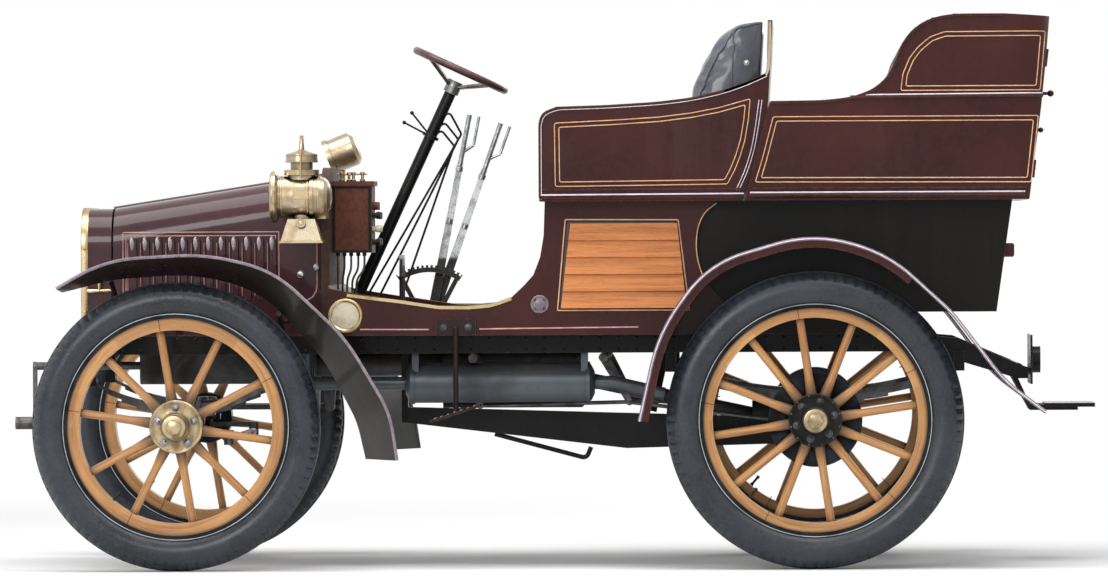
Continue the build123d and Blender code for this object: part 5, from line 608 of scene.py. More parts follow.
# %% Finishes for the CAD pieces
WEARERS = (
    (maroon, "body_sides tonneau rear_door front_seat_shell"), (body_black, "lower_rear_body"),
    (maroon_bonnet, "bonnet_left bonnet_right bonnet_sills radiator_shell"), (copper, "radiator_core"),
    (wing_black, "front_wings"), (wing_maroon, "rear_wings side_steps"), (dash_wood, "dashboard"),
    (mahogany, "coil_box"), (louvre_wood, "louvre_panels"), (floor_pine, "floor_boards"),
    (wheel_finish, "steering_wheel"), (lever_steel, "levers_and_pedals"), (pale_brass, "side_lamp dash_lamp"),
    (chassis_black, "wing_stays steering_column control_cables rear_step number_plate frame_rails"),
    (chassis_black, "cross_members front_axle torque_arm"), (silencer_grey, "silencer"),
    (oily_steel, "starting_handle brake_rods leaf_springs knuckle_left knuckle_right track_rod"),
    (oily_steel, "drag_link drop_arm"), (cast_iron, "rear_axle engine_block gearbox_and_shaft"),
)
FINISHES = {name: finish for finish, names in WEARERS for name in names.split()}
CORNERS = [("front_left", FRONT_WHEEL, -1), ("front_right", FRONT_WHEEL, 1),
           ("rear_left", REAR_WHEEL, -1), ("rear_right", REAR_WHEEL, 1)]
for corner, centre, side in CORNERS:
    FINISHES["wood_wheel_" + corner] = front_wood if "front" in corner else rear_wood
    FINISHES["rim_and_hub_" + corner] = rim_steel


def dress(piece, finish):
    piece.data.materials.clear()
    piece.data.materials.append(finish)


for name, finish in FINISHES.items():
    dress(nodes[name], finish)
print("dressed", len(FINISHES), "CAD pieces; left for later:", sorted(set(nodes) - set(FINISHES)))

# %% [markdown]
# The new pieces are made from a few forms: a flat strip along a line on a panel, a round bar along
# a path, a turned form, a bolt, a rivet head and a softened block. Each form returns its points and
# faces, several are joined into one object, and that object rides on one body. Every form is
# closed, so it exports as a real solid. A table says which slot of the record a finish stands in.

# %% Forms
LEFT, RIGHT = -1, 1
SIDES = ((LEFT, "left"), (RIGHT, "right"))
SHARP_FROM = radians(38)
SUNK = 0.0006
SLOT_FINISHES = {
    "maroon_paint": (maroon, maroon_bonnet, wing_maroon, bead_highlight_paint, hood_highlight_paint),
    "black_paint": (wing_black, chassis_black, body_black), "brass": (brass, pale_brass, hub_brass),
    "steel": (steel, oily_steel, rim_steel), "leather": (leather,),
}
SLOT_OF = {made.name: slot for slot, finishes in SLOT_FINISHES.items() for made in finishes}


def assemble(name, parts, finish, body="chassis"):
    """Joins forms into one piece, gives it a finish, and puts it on a body."""
    points, faces = [], []
    for part_points, part_faces in parts:
        start = len(points)
        points += part_points
        faces += [tuple(start + corner for corner in face) for face in part_faces]
    made = mesh_object(name, points, faces, True)
    made.data.materials.append(finish)
    made.data.set_sharp_from_angle(angle=SHARP_FROM)
    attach(made, body)
    return made


def mirrored(parts):
    """The same forms on the other side of the car."""
    return [([(x, -y, z) for x, y, z in points], faces) for points, faces in parts]


def rounded(points, radius, steps=5, closed=False):
    """A path whose corners are turned into short curves."""
    path, count = [], len(points)
    for index, corner in enumerate(points):
        if not closed and index in (0, count - 1):
            path.append(Vector(corner))
            continue
        here, before, after = Vector(corner), Vector(points[index - 1]), Vector(points[(index + 1) % count])
        into, away = (before - here), (after - here)
        cut = min(radius, into.length * 0.45, away.length * 0.45)
        first, last = here + into.normalized() * cut, here + away.normalized() * cut
        for step in range(steps + 1):
            share = step / steps
            path.append(first * (1 - share) ** 2 + here * 2 * share * (1 - share) + last * share ** 2)
    return path


def heading(path, index, closed=False):
    """Direction of a path at one of its points."""
    here = Vector(path[index])
    before = Vector(path[index - 1]) if index or closed else here
    after = Vector(path[(index + 1) % len(path)]) if index < len(path) - 1 or closed else here
    return (after - before).normalized()


def skin(rows, sides, closed=False):
    """Faces between rows of points, each with the same number of sides, and caps at open ends."""
    faces = []
    for row in range(rows if closed else rows - 1):
        low, high = row * sides, (row + 1) % rows * sides
        for step in range(sides):
            turn = (step + 1) % sides
            faces.append((low + step, low + turn, high + turn, high + step))
    if not closed:
        faces += [tuple(reversed(range(sides))), tuple(range((rows - 1) * sides, rows * sides))]
    return faces


def strip(path, y, width, proud, side=LEFT, closed=False):
    """Flat strip along a path of (x, z) on the panel at y, standing proud of it towards side."""
    points = []
    for index, place in enumerate(path):
        way = heading(path, index, closed)
        across = Vector((-way.y, way.x)) * width / 2
        for off, rise in ((-1, -SUNK), (1, -SUNK), (0.8, proud), (-0.8, proud)):
            spot = Vector(place) + across * off
            points.append((spot.x, side * (abs(y) + rise), spot.y))
    return points, skin(len(path), 4, closed)


def tube(path, radius, sides=8, closed=False, flatten=1.0):
    """Round bar along a path in space; radius may be one number or one for each point."""
    points, up = [], None
    path = [Vector(spot) for spot in path]
    radii = radius if isinstance(radius, (list, tuple)) else [radius] * len(path)
    for index, here in enumerate(path):
        way = heading(path, index, closed)
        if up is None:
            up = way.orthogonal().normalized()
        up = (up - way * up.dot(way)).normalized()
        across = way.cross(up)
        for step in range(sides):
            angle = tau * step / sides
            points.append(tuple(here + (up * cos(angle) + across * sin(angle) * flatten) * radii[index]))
    return points, skin(len(path), sides, closed)


def turned(outline, at, axis, steps=32, phase=0.0):
    """Turned form: an outline of (distance along the axis, radius), closed on the axis or as a ring."""
    axis, at = Vector(axis).normalized(), Vector(at)
    across = axis.orthogonal().normalized() if abs(axis.y) < 0.9 else Vector((1, 0, 0))
    other = axis.cross(across)
    ring = outline[0][1] > 0 and outline[0] == outline[-1]
    rows = outline[:-1] if ring else outline
    points, faces, starts = [], [], []
    for along, radius in rows:
        starts.append(len(points))
        if radius <= 0:
            points.append(tuple(at + axis * along))
            continue
        for step in range(steps):
            angle = tau * step / steps + phase
            points.append(tuple(at + axis * along + (across * cos(angle) + other * sin(angle)) * radius))
    count = len(rows)
    for index in range(count if ring else count - 1):
        here, there = index, (index + 1) % count
        for step in range(steps):
            turn = (step + 1) % steps
            low, high = starts[here], starts[there]
            if rows[here][1] <= 0:
                faces.append((low, high + turn, high + step))
            elif rows[there][1] <= 0:
                faces.append((low + step, low + turn, high))
            else:
                faces.append((low + step, low + turn, high + turn, high + step))
    return points, faces


def bolt(at, axis, radius, height, washer=1.35):
    """Hexagon head with a chamfered crown, on a round washer."""
    plate = [(0, 0), (0, radius * washer), (height * 0.2, radius * washer), (height * 0.2, 0)]
    head = [(height * 0.15, 0), (height * 0.15, radius), (height * 0.85, radius), (height, radius * 0.78),
            (height, 0)]
    return [turned(plate, at, axis, 16), turned(head, at, axis, 6, 0.3)]


def dome(at, axis, radius, height, steps=10):
    """Round rivet head."""
    rows = [(0, 0), (0, radius)] + [(height * sin(angle), radius * cos(angle)) for angle
                                    in (0.5, 1.0)] + [(height, 0)]
    return turned(rows, at, axis, steps)


def slab(low, high, bevel):
    """Block with softened edges between two corners."""
    work = bmesh.new()
    bmesh.ops.create_cube(work, size=1.0)
    for vertex in work.verts:
        vertex.co = Vector([(a + b) / 2 + share * (b - a) for a, b, share in zip(low, high, vertex.co)])
    bmesh.ops.bevel(work, geom=list(work.edges), offset=bevel, segments=2, affect="EDGES")
    points = [tuple(vertex.co) for vertex in work.verts]
    faces = [tuple(vertex.index for vertex in face.verts) for face in work.faces]
    work.free()
    return points, faces


print("forms ready")

# %% [markdown]
# A beaded-edge tyre of this age has a round wall, and a tread of small blocks that wraps over the
# shoulders. The section is three arcs, as on the CAD tyre. Grooves are pressed into it by moving
# the points inwards where a groove runs round the tyre or crosses the shoulder, so the tyre keeps
# its outside size. Low ridges ring the walls.

# %% Tyres
TYRE_HALF, BEAD_HALF = 0.055, 0.030
BLOCKS, BLOCK_STEPS = 84, 4
HALF_TRACK = 0.650
TYRES = {"front": (0.428, 0.331), "rear": (0.440, 0.340)}
# The tread starts at this share of the height; a groove is its place and its half width
TREAD_FROM, SHOULDER, SHOULDER_CUT = 0.70, 0.017, 0.0045
GROOVES, GROOVE_CUT = ((0.0155, 0.0022), (0.0045, 0.0016)), 0.0035
WALL_RIDGE = 0.0009


def arc(first, middle, last, steps):
    """Points on the circle through three points, the last one left out."""
    (ax, ay), (bx, by), (cx, cy) = first, middle, last
    d = 2 * (ax * (by - cy) + bx * (cy - ay) + cx * (ay - by))
    ux = ((ax**2 + ay**2) * (by - cy) + (bx**2 + by**2) * (cy - ay) + (cx**2 + cy**2) * (ay - by)) / d
    uy = ((ax**2 + ay**2) * (cx - bx) + (bx**2 + by**2) * (ax - cx) + (cx**2 + cy**2) * (bx - ax)) / d
    start, way, end = (atan2(y - uy, x - ux) for x, y in (first, middle, last))
    sweep = (end - start) % tau
    if not 0 < (way - start) % tau < sweep:
        sweep -= tau
    size = sqrt((ax - ux) ** 2 + (ay - uy) ** 2)
    return [(ux + size * cos(start + sweep * step / steps), uy + size * sin(start + sweep * step / steps))
            for step in range(steps)]


def tread_cut(across, share, turn):
    """How deep a point of the tyre is pressed in, at a share of its height."""
    if share > TREAD_FROM:
        if any(abs(abs(across) - groove) < half for groove, half in GROOVES):
            return GROOVE_CUT
        if abs(across) > SHOULDER and (turn + (2 if across > 0 else 0)) % BLOCK_STEPS == 0:
            return SHOULDER_CUT * min(1.0, (share - TREAD_FROM) / 0.10)
    elif 0.1 < share < 0.66 and int(share * 40) % 9 == 0:
        return -WALL_RIDGE
    return 0.0


def tyre_form(radius, rim, centre, side):
    height = radius - rim
    shoulder, wall = (0.62 * TYRE_HALF, radius - height * 0.14), (TYRE_HALF, rim + height * 0.5)
    far_shoulder, far_wall = (-shoulder[0], shoulder[1]), (-wall[0], wall[1])
    section = arc((BEAD_HALF, rim), wall, shoulder, 14) + arc(shoulder, (0.0, radius), far_shoulder, 22)
    section += arc(far_shoulder, far_wall, (-BEAD_HALF, rim), 14) + [(-BEAD_HALF, rim), (0.0, rim - 0.001)]
    points, around = [], BLOCKS * BLOCK_STEPS
    for turn in range(around):
        angle = tau * turn / around
        for across, out in section:
            cut = tread_cut(across, (out - rim) / height, turn)
            slope = Vector((across, (out - rim - height * 0.5))).normalized()
            across_now, out_now = across - slope.x * cut, out - slope.y * cut
            points.append((centre[0] + out_now * cos(angle), side * HALF_TRACK + across_now,
                           centre[1] + out_now * sin(angle)))
    return points, skin(around, len(section), True)


for corner, centre, side in CORNERS:
    cover = tyre_form(*TYRES[corner.split("_")[0]], centre, side)
    made = assemble("tyre_cover_" + corner, [cover], rubber, "wheel_" + corner)
    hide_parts("tyre_" + corner)
print("tyre covers:", len(made.data.polygons), "faces each")

# %% [markdown]
# Each wheel's hub is a brass plate held by bolts over the spoke roots, a turned cap and a nut. The
# rear plates are black. The felloe is made of five bent lengths whose joints show as thin dark
# lines, a bright wire edge shows at each side of the rim, and one valve stands through the felloe.

# %% Wheel furniture
FELLOE_JOINTS, FIRST_JOINT, VALVE_ANGLE = 5, 0.47, 4.0
HUB_FACE, STUD_CIRCLE, RIVET_CIRCLE = 0.029, 0.057, 0.0735


def spoke_way(angle):
    """Direction from the hub at an angle, in the wheel's plane."""
    return Vector((cos(angle), 0, sin(angle)))


def wheel_furniture(corner, centre, side):
    front = "front" in corner
    rim = TYRES[corner.split("_")[0]][1]
    middle = Vector((centre[0], side * HALF_TRACK, centre[1]))
    out = Vector((0, side, 0))
    body = "wheel_" + corner
    plate = [(0.0245, 0.0375), (0.0300, 0.0375), (0.0312, 0.0420), (0.0290, 0.0480), (0.0290, 0.0700),
             (0.0302, 0.0720), (0.0302, 0.0770), (0.0285, 0.0790), (0.0245, 0.0790), (0.0245, 0.0375)]
    shell = [(0.0300, 0.0376), (0.0400, 0.0395), (0.0440, 0.0430), (0.0480, 0.0430), (0.0520, 0.0395),
             (0.0600, 0.0385), (0.0620, 0.0350), (0.0621, 0.0372), (0.0300, 0.0374), (0.0300, 0.0376)]
    cap = [(0.0618, 0.0), (0.0618, 0.0365), (0.0700, 0.0372), (0.0740, 0.0352), (0.0900, 0.0354),
           (0.1040, 0.0352), (0.1072, 0.0342), (0.1082, 0.0300), (0.1082, 0.0)]
    assemble("hub_plate_" + corner, [turned(plate, middle, out, 56), turned(shell, middle, out, 48)],
             hub_brass if front else chassis_black, body)
    nut = [(0.108, 0.0), (0.108, 0.0225), (0.1185, 0.0225), (0.1206, 0.018), (0.1206, 0.0)]
    assemble("hub_cap_" + corner, [turned(cap, middle, out, 48), turned(nut, middle, out, 6)], hub_brass,
             body)
    stud = [(0.0, 0.0), (0.0, 0.0050), (0.013, 0.0050), (0.0145, 0.0035), (0.0145, 0.0)]
    hub_face = middle + out * HUB_FACE
    count, parts = 5 if front else 6, []
    for index in range(count):
        spot = hub_face + spoke_way(tau * (index + 0.25) / count) * STUD_CIRCLE
        parts += bolt(spot, out, 0.0085, 0.010)
        parts.append(turned(stud, spot, out, 12))
    if not front:
        for index in range(12):
            spot = hub_face + spoke_way(tau * (index + 0.5) / 12) * RIVET_CIRCLE
            parts.append(dome(spot, out, 0.0035, 0.0025, 8))
    assemble("hub_bolts_" + corner, parts, steel if front else oily_steel, body)
    edges, joints = [], []
    for face in (-1, 1):
        ring = [(0.0385, rim + 0.0012), (0.0405, rim + 0.0018), (0.0405, rim + 0.0042),
                (0.0385, rim + 0.0052), (0.0345, rim + 0.0042), (0.0345, rim + 0.0012),
                (0.0385, rim + 0.0012)]
        edges.append(turned(ring, middle, out * face, 120))
        for index in range(FELLOE_JOINTS):
            away = spoke_way(tau * index / FELLOE_JOINTS + FIRST_JOINT)
            near, far = (middle + out * face * 0.0309 + away * (rim - reach) for reach in (0.0435, 0.0095))
            joints.append(tube([near, far], 0.0009, 6))
    assemble("rim_edges_" + corner, edges, steel, body)
    stem = middle + spoke_way(VALVE_ANGLE) * (rim - 0.038)
    inward = -spoke_way(VALVE_ANGLE)
    valve = [(0, 0), (0, 0.006), (0.006, 0.006), (0.006, 0.0038), (0.028, 0.0038), (0.028, 0.0052),
             (0.036, 0.0050), (0.038, 0.0)]
    assemble("felloe_joints_" + corner, joints + [turned(valve, stem, inward, 12)], chassis_black, body)


for corner, centre, side in CORNERS:
    wheel_furniture(corner, centre, side)
print("wheel furniture on", len(CORNERS), "wheels")

# %% [markdown]
# Mouldings are half-round strips nailed round the body: along the foot of the front seat and
# the tonneau, and along the tonneau's waist. The bright line over each dark one is a painted
# highlight, a thin pale lilac strip.
# Both they and the coachlines follow paths of (x, z) points. On a flat panel a path becomes a
# strip; on a bent one it becomes a bar that is laid on the imported panel by looking in from outside.

# %% Mouldings
SEAT_Y, TONNEAU_Y, SIDE_Y, BONNET_Y = 0.560, 0.590, 0.500, 0.270


def both_sides(path, y, width, proud, closed=False):
    return [strip(path, y, width, proud, side, closed) for side in (LEFT, RIGHT)]


def along_line(points, gap):
    """Points every gap along a line of corners."""
    placed = []
    for first, last in zip(points, points[1:]):
        first, last = Vector(first), Vector(last)
        count = max(1, int((last - first).length / gap))
        placed += [first.lerp(last, step / count) for step in range(count)]
    return placed + [Vector(points[-1])]


def on_panel(node, path, radius, closed=False, gap=0.02):
    """Bars along a path of (x, z), laid on both sides of a CAD panel by looking in from outside."""
    if closed:
        path = path + path[:1]
    bars = []
    for side in (LEFT, RIGHT):
        spots = []
        for spot in along_line(path, gap):
            found, place = nodes[node].ray_cast((spot.x, side * 1.2, spot.y), (0, -side, 0))[:2]
            if found and place.y * side > 0.3:
                spots.append((spot.x, place.y + side * radius * 0.3, spot.y))
        bars.append(tube(spots[:-1] if closed else spots, radius, 8, closed))
    return bars


seat_front = [(-0.020, 1.1000), (-0.020, 1.324), (-0.010, 1.350), (0.027, 1.366), (0.173, 1.370),
              (0.327, 1.379), (0.430, 1.391), (0.527, 1.413), (0.597, 1.438), (0.650, 1.462)]
tonneau_top = [(0.664, 1.380), (0.825, 1.382), (0.910, 1.392), (0.969, 1.414), (1.009, 1.447),
               (1.035, 1.493), (1.053, 1.546), (1.086, 1.591), (1.138, 1.624), (1.206, 1.636),
               (1.351, 1.636)]
rails = both_sides([(-0.020, 1.104), (0.545, 1.104), (0.584, 1.106)], SEAT_Y, 0.016, 0.006)
rails += both_sides([(-0.020, 1.125), (0.545, 1.125), (0.590, 1.125)], SEAT_Y, 0.005, 0.003)
rails += both_sides(rounded(seat_front, 0.04, 3), SEAT_Y, 0.010, 0.004)
rails += on_panel("tonneau", [(0.600, 1.104), (1.436, 1.104)], 0.0075)
rails += on_panel("tonneau", [(0.900, 1.3935), (1.468, 1.397)], 0.0060)
rails += on_panel("tonneau", [(0.612, 1.125), (1.440, 1.125)], 0.0025)
rails += both_sides(rounded(tonneau_top, 0.03, 3), TONNEAU_Y, 0.009, 0.004)
assemble("body_mouldings", rails, maroon)
# Painted highlights: thin pale lilac strips along the top of each moulding.
lights = both_sides([(-0.018, 1.1090), (0.584, 1.1110)], SEAT_Y, 0.0050, 0.0078)
lights += both_sides(rounded([(x + 0.0035, z - 0.0045) for x, z in seat_front], 0.04, 3), SEAT_Y, 0.0022,
                     0.0046)
# Two thin lines down the seat shell's rear edge, in the same pale lilac paint.
for gap in (0.0, 0.009):
    edge = [(0.630 + gap, 1.388), (0.621 + gap, 1.320), (0.607 + gap, 1.240), (0.586 + gap, 1.175),
            (0.561 + gap, 1.122)]
    lights += on_panel("front_seat_shell", rounded(edge, 0.05, 3), 0.0013)
lights += on_panel("tonneau", [(0.602, 1.1125), (1.436, 1.1125)], 0.0030)
lights += on_panel("tonneau", [(0.905, 1.4000), (1.468, 1.4035)], 0.0028)
assemble("moulding_lines_and_highlights", lights, lilac_line_and_highlight)
print("mouldings on both sides")

# %% [markdown]
# The coachlines come in pairs, drawn by brush along the panel's edge. A frame of a few corners is
# drawn once, then again a little smaller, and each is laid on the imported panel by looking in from
# outside, so that it follows the tonneau round its rear corner.

# %% Coachlines


def inside(points, gap):
    """The same closed frame, moved inwards by a gap."""
    count, moved = len(points), []
    middle = sum((Vector(spot) for spot in points), Vector((0, 0))) / count
    for index, spot in enumerate(points):
        here, before, after = Vector(spot), Vector(points[index - 1]), Vector(points[(index + 1) % count])
        one, two = (here - before).normalized(), (after - here).normalized()
        first, second = Vector((-one.y, one.x)), Vector((-two.y, two.x))
        if first.dot(middle - here) < 0 and second.dot(middle - here) < 0:
            first, second = -first, -second
        half = (first + second).normalized()
        moved.append(here + half * (gap / max(half.dot(first), 0.3)))
    return [tuple(spot) for spot in moved]


def double_frame(node, points, gap=0.0130, corner=0.006):
    lines = []
    for frame_points in (points, inside(points, gap)):
        lines += on_panel(node, rounded(frame_points, corner, 3, True), 0.0016, True)
    return lines


seat_panel = [(0.023, 1.322), (0.200, 1.330), (0.330, 1.338), (0.430, 1.350), (0.510, 1.365),
              (0.604, 1.391), (0.598, 1.330), (0.588, 1.270), (0.573, 1.220), (0.556, 1.178),
              (0.535, 1.139), (0.025, 1.134)]
waist_panel = [(0.672, 1.337), (1.456, 1.337), (1.434, 1.141), (0.618, 1.144), (0.640, 1.215)]
upper_panel = [(1.050, 1.413), (1.056, 1.462), (1.076, 1.509), (1.101, 1.541), (1.137, 1.571),
               (1.180, 1.586), (1.478, 1.587), (1.462, 1.413)]
gold = double_frame("front_seat_shell", seat_panel)
gold += double_frame("tonneau", waist_panel)
gold += double_frame("tonneau", upper_panel)
louvre_frame = [(0.052, 1.036), (0.388, 1.034), (0.420, 0.766), (0.028, 0.766)]
gold += both_sides(rounded(louvre_frame, 0.004, 3, True), SIDE_Y, 0.0040, 0.0009, True)
gold += both_sides(rounded([(0.502, 1.083), (0.466, 1.056), (0.446, 1.014), (0.440, 0.958), (0.446, 0.907),
                            (0.466, 0.852)], 0.03, 3), 0.5005, 0.0035, 0.0007)
assemble("gold_coachlines", gold, gold_line)
dark = both_sides(rounded(inside(louvre_frame, 0.010), 0.004, 3, True), SIDE_Y, 0.009, 0.0035, True)
assemble("louvre_panel_frame", dark, black_line)
pink = both_sides([(-0.560, 0.712), (-0.355, 0.711)], SIDE_Y, 0.0045, 0.0007)
pink += both_sides([(-0.205, 0.712), (0.000, 0.714), (0.268, 0.716)], SIDE_Y, 0.0045, 0.0007)
assemble("pink_coachlines", pink, pink_line)
print("coachlines:", len(gold), "gold,", len(pink), "pink")

# %% [markdown]
# The bonnet side carries a pink line that drops near the dash and curls forward, and two round
# catches. They sit on the bonnet's side panel, so they ride on the bonnet half and swing up with it.

# %% Bonnet side
for side, word in SIDES:
    body = "bonnet_" + word
    thin = [strip([(-0.700, 0.975), (-0.700, 0.850), (-0.703, 0.826), (-0.714, 0.808), (-0.733, 0.797),
                   (-0.760, 0.792)], BONNET_Y, 0.0045, 0.0008, side)]
    assemble("bonnet_coachline_" + word, thin, pink_line, body)
    catch = [(0, 0), (0, 0.011), (0.003, 0.011), (0.005, 0.006), (0.011, 0.006), (0.014, 0.009),
             (0.018, 0.008), (0.019, 0)]
    catches = [turned(catch, (x, side * BONNET_Y, z), (0, side, 0), 20) for x,
               z in ((-0.701, 0.897), (-0.749, 0.876))]
    assemble("bonnet_catches_" + word, catches, steel, body)
print("bonnet fittings on both halves")

# %% [markdown]
# The seats are leather stretched over horsehair. Each starts as a plain closed form a little smaller
# than its place. It is remeshed into even squares, softened, and blown up by the cloth solver with
# no gravity, so its sides pull in between the corners as stuffed leather does. Points that would
# leave the seat box are set back against its walls. The diamond buttoning comes after that, because
# a remesh would blur it: points sink along crossing pleats and deepest at the buttons.

# %% Stuffing
STUFFING_PRESSURE, STUFFING_FRAMES = 4.0, 20


def freeze(made):
    """Replaces a mesh by the shape that its modifiers give it."""
    graph = bpy.context.evaluated_depsgraph_get()
    shape = bpy.data.meshes.new_from_object(made.evaluated_get(graph))
    made.modifiers.clear()
    made.data = shape


def prism(outline, low_y, high_y):
    """Closed form from an outline of (x, z) carried from one y to another."""
    count = len(outline)
    points = [(x, y, z) for y in (low_y, high_y) for x, z in outline]
    faces = [tuple(range(count)), tuple(reversed(range(count, 2 * count)))]
    faces += [(index, index + count, (index + 1) % count + count, (index + 1) % count) for index
              in range(count)]
    return points, faces


def stuffed(name, outline, low_y, high_y, most, held, square=0.0135):
    """Leather cover: most is how far a point may swell, held sets a point back inside its place."""
    made = mesh_object(name, *prism(outline, low_y, high_y), True)
    remesh = made.modifiers.new("squares", "REMESH")
    remesh.mode, remesh.voxel_size = "VOXEL", square
    soften = made.modifiers.new("soften", "SMOOTH")
    soften.factor, soften.iterations = 0.5, 5
    freeze(made)
    before = [vertex.co.copy() for vertex in made.data.vertices]
    cloth = made.modifiers.new("stuffing", "CLOTH")
    cloth.settings.use_pressure = True
    cloth.settings.uniform_pressure_force = STUFFING_PRESSURE
    cloth.settings.effector_weights.gravity = 0.0
    cloth.collision_settings.use_collision = False
    for step in range(1, STUFFING_FRAMES + 1):
        bpy.context.scene.frame_set(step)
    freeze(made)
    bpy.context.scene.frame_set(1)
    for vertex, start in zip(made.data.vertices, before):
        moved = vertex.co - start
        if moved.length > most:
            vertex.co = start + moved.normalized() * most
        vertex.co = held(vertex.co)
    finer = made.modifiers.new("finer", "SUBSURF")
    finer.levels = finer.render_levels = 1
    freeze(made)
    made.data.materials.clear()
    made.data.materials.append(leather)
    made.data.shade_smooth()
    return made


def cover_tree(made):
    return BVHTree.FromPolygons([v.co for v in made.data.vertices], [p.vertices for p in made.data.polygons])


def buttoned(made, facing, rows_along, start, width, height, depth, margin):
    """Sinks crossing pleats into the faces that look along facing; returns where the buttons go."""
    facing, rows_along, start = Vector(facing).normalized(), Vector(rows_along).normalized(), Vector(start)
    edges = [[min(v.co.y for v in made.data.vertices), max(v.co.y for v in made.data.vertices)]]
    runs = [v.co.dot(rows_along) for v in made.data.vertices if v.normal.dot(facing) > 0.5]
    edges.append([min(runs), max(runs)])
    for vertex in made.data.vertices:
        look = min(1.0, max(0.0, (vertex.normal.dot(facing) - 0.30) / 0.40))
        if not look:
            continue
        u = (vertex.co.y - start.y) / width
        w = (vertex.co - start).dot(rows_along) / height
        pleat = sqrt(abs(sin(pi * (u + w)) * sin(pi * (u - w))))
        button = exp(-((sin(pi * (u + w)) ** 2 + sin(pi * (u - w)) ** 2) * 6.0))
        places = ((vertex.co.y, edges[0]), (vertex.co.dot(rows_along), edges[1]))
        border = min(min(place - low, high - place) for place, (low, high) in places)
        fade = look * min(1.0, max(0.0, border / margin))
        vertex.co -= facing * depth * fade * (0.62 * (1.0 - pleat) + 0.38 * button)
    spots, tree = [], cover_tree(made)
    for row in range(-12, 13):
        for column in range(-12, 13):
            across = Vector((0, 1, 0)) * width * (column + (row % 2) / 2)
            spot = start + across + rows_along * height * row / 2
            run = spot.dot(rows_along)
            if min(spot.y - edges[0][0], edges[0][1] - spot.y, run - edges[1][0],
                   edges[1][1] - run) < margin * 0.8:
                continue
            hit = tree.ray_cast(spot + facing * 0.3, -facing)[0]
            if hit is not None:
                spots.append(dome(hit - facing * 0.002, facing, 0.0085, 0.006, 12))
    return spots


def on_cover(made, path, lift):
    """Moves each point of a path onto a cover, lifted a little off it."""
    tree, placed = cover_tree(made), []
    for spot in path:
        place, normal = tree.find_nearest(Vector(spot))[:2]
        placed.append(place + normal * lift)
    return placed


print("stuffing ready")

# %% [markdown]
# The driver's seat has one long cushion and a reclined squab with a rolled top. The photograph
# shows the squab's end panel with an upright seam and one stud, so both are here, as a welt and a
# turned stud. The seat shell's sloping back is written as a line that the leather must not cross.

# %% Front seat leather
SHELL_BACK = [(1.112, 0.552), (1.204, 0.5825), (1.320, 0.6207), (1.411, 0.6318), (1.646, 0.645)]
SEAT_INSIDE, SEAT_HALF = 0.5375, 0.527
SQUAB_FRONT, SQUAB_LOW, SQUAB_TOP = 0.40, 1.2632, 1.6225
CUSHION_FRONT, CUSHION_LOW, CUSHION_TOP, TOP_UNDER_SQUAB = -0.001, 1.1126, 1.285, 1.2622


def shell_back(z):
    for (low_z, low_x), (high_z, high_x) in zip(SHELL_BACK, SHELL_BACK[1:]):
        if z <= high_z:
            return low_x + (high_x - low_x) * (z - low_z) / (high_z - low_z)
    return SHELL_BACK[-1][1]


def in_seat(place, front, back, low, high):
    """Sets a point back inside the seat box."""
    return Vector((min(max(place.x, front), back - 0.002), min(max(place.y, -SEAT_INSIDE), SEAT_INSIDE),
                   min(max(place.z, low), high)))


def in_squab(place):
    back = shell_back(min(max(place.z, SQUAB_LOW), SQUAB_TOP))
    return in_seat(place, SQUAB_FRONT, back, SQUAB_LOW, SQUAB_TOP)


def in_front_cushion(place):
    top = TOP_UNDER_SQUAB if place.x > SQUAB_FRONT else CUSHION_TOP
    return in_seat(place, CUSHION_FRONT, shell_back(place.z), CUSHION_LOW, top)


squab_outline = [(0.444, 1.270), (0.436, 1.340), (0.445, 1.412), (0.478, 1.490), (0.520, 1.562),
                 (0.552, 1.602), (0.585, 1.618), (0.650, 1.622), (0.655, 1.600), (0.643, 1.411),
                 (0.631, 1.320), (0.612, 1.270)]
squab = stuffed("front_squab_leather", squab_outline, -SEAT_HALF, SEAT_HALF, 0.018, in_squab)
squab_buttons = buttoned(squab, (-0.93, 0, 0.37), (0.37, 0, 0.93), (0.45, 0.0, 1.345), 0.150, 0.150, 0.013,
                         0.085)
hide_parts("front_squab")
cushion_outline = [(0.010, 1.122), (0.010, 1.235), (0.030, 1.250), (0.250, 1.254), (0.480, 1.250),
                   (0.488, 1.236), (0.488, 1.122)]
cushion = stuffed("front_cushion_leather", cushion_outline, -SEAT_HALF, SEAT_HALF, 0.022, in_front_cushion)
cushion_buttons = buttoned(cushion, (0, 0, 1), (1, 0, 0), (0.20, 0.0, 1.26), 0.150, 0.150, 0.016, 0.045)
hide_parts("front_cushion")
for soft in (squab, cushion):
    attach(soft, "chassis")
assemble("front_seat_buttons", squab_buttons + cushion_buttons, leather)
welts = []
for side in (LEFT, RIGHT):
    seam = along_line([(0.549, side * 0.55, 1.40), (0.549, side * 0.55, 1.60)], 0.012)
    welts.append(tube(on_cover(squab, seam, 0.0012), 0.0026, 8))
    edge = along_line([(x - 0.01, side * 0.532, z) for x, z in squab_outline[:8]], 0.014)
    welts.append(tube(on_cover(squab, edge, 0.0012), 0.0034, 8))
front_edge = along_line([(-0.01, -0.515, 1.250), (-0.01, 0.515, 1.250)], 0.014)
welts.append(tube(on_cover(cushion, front_edge, 0.0012), 0.0036, 8))
assemble("front_seat_welts", welts, leather)
studs = []
for side in (LEFT, RIGHT):
    at = on_cover(squab, [(0.606, side * 0.56, 1.498)], 0.0)[0]
    studs.append(dome(at, (0, side, 0), 0.0060, 0.005, 20))
    studs.append(turned([(0, 0.0060), (0, 0.0082), (0.002, 0.0082), (0.003, 0.0060), (0, 0.0060)], at,
                        (0, side, 0), 24))
assemble("front_seat_studs", studs, steel)
print("front seat:", len(squab.data.polygons), "and", len(cushion.data.polygons), "faces")

# %% [markdown]
# Each rear corner seat has a cushion, a tall squab against the back, and a padded arm that follows
# the swept front edge of the tonneau. Only the arm's roll shows from the side. The left ones are
# made once, and the right ones are the same mesh turned over.

# %% Rear seat leather


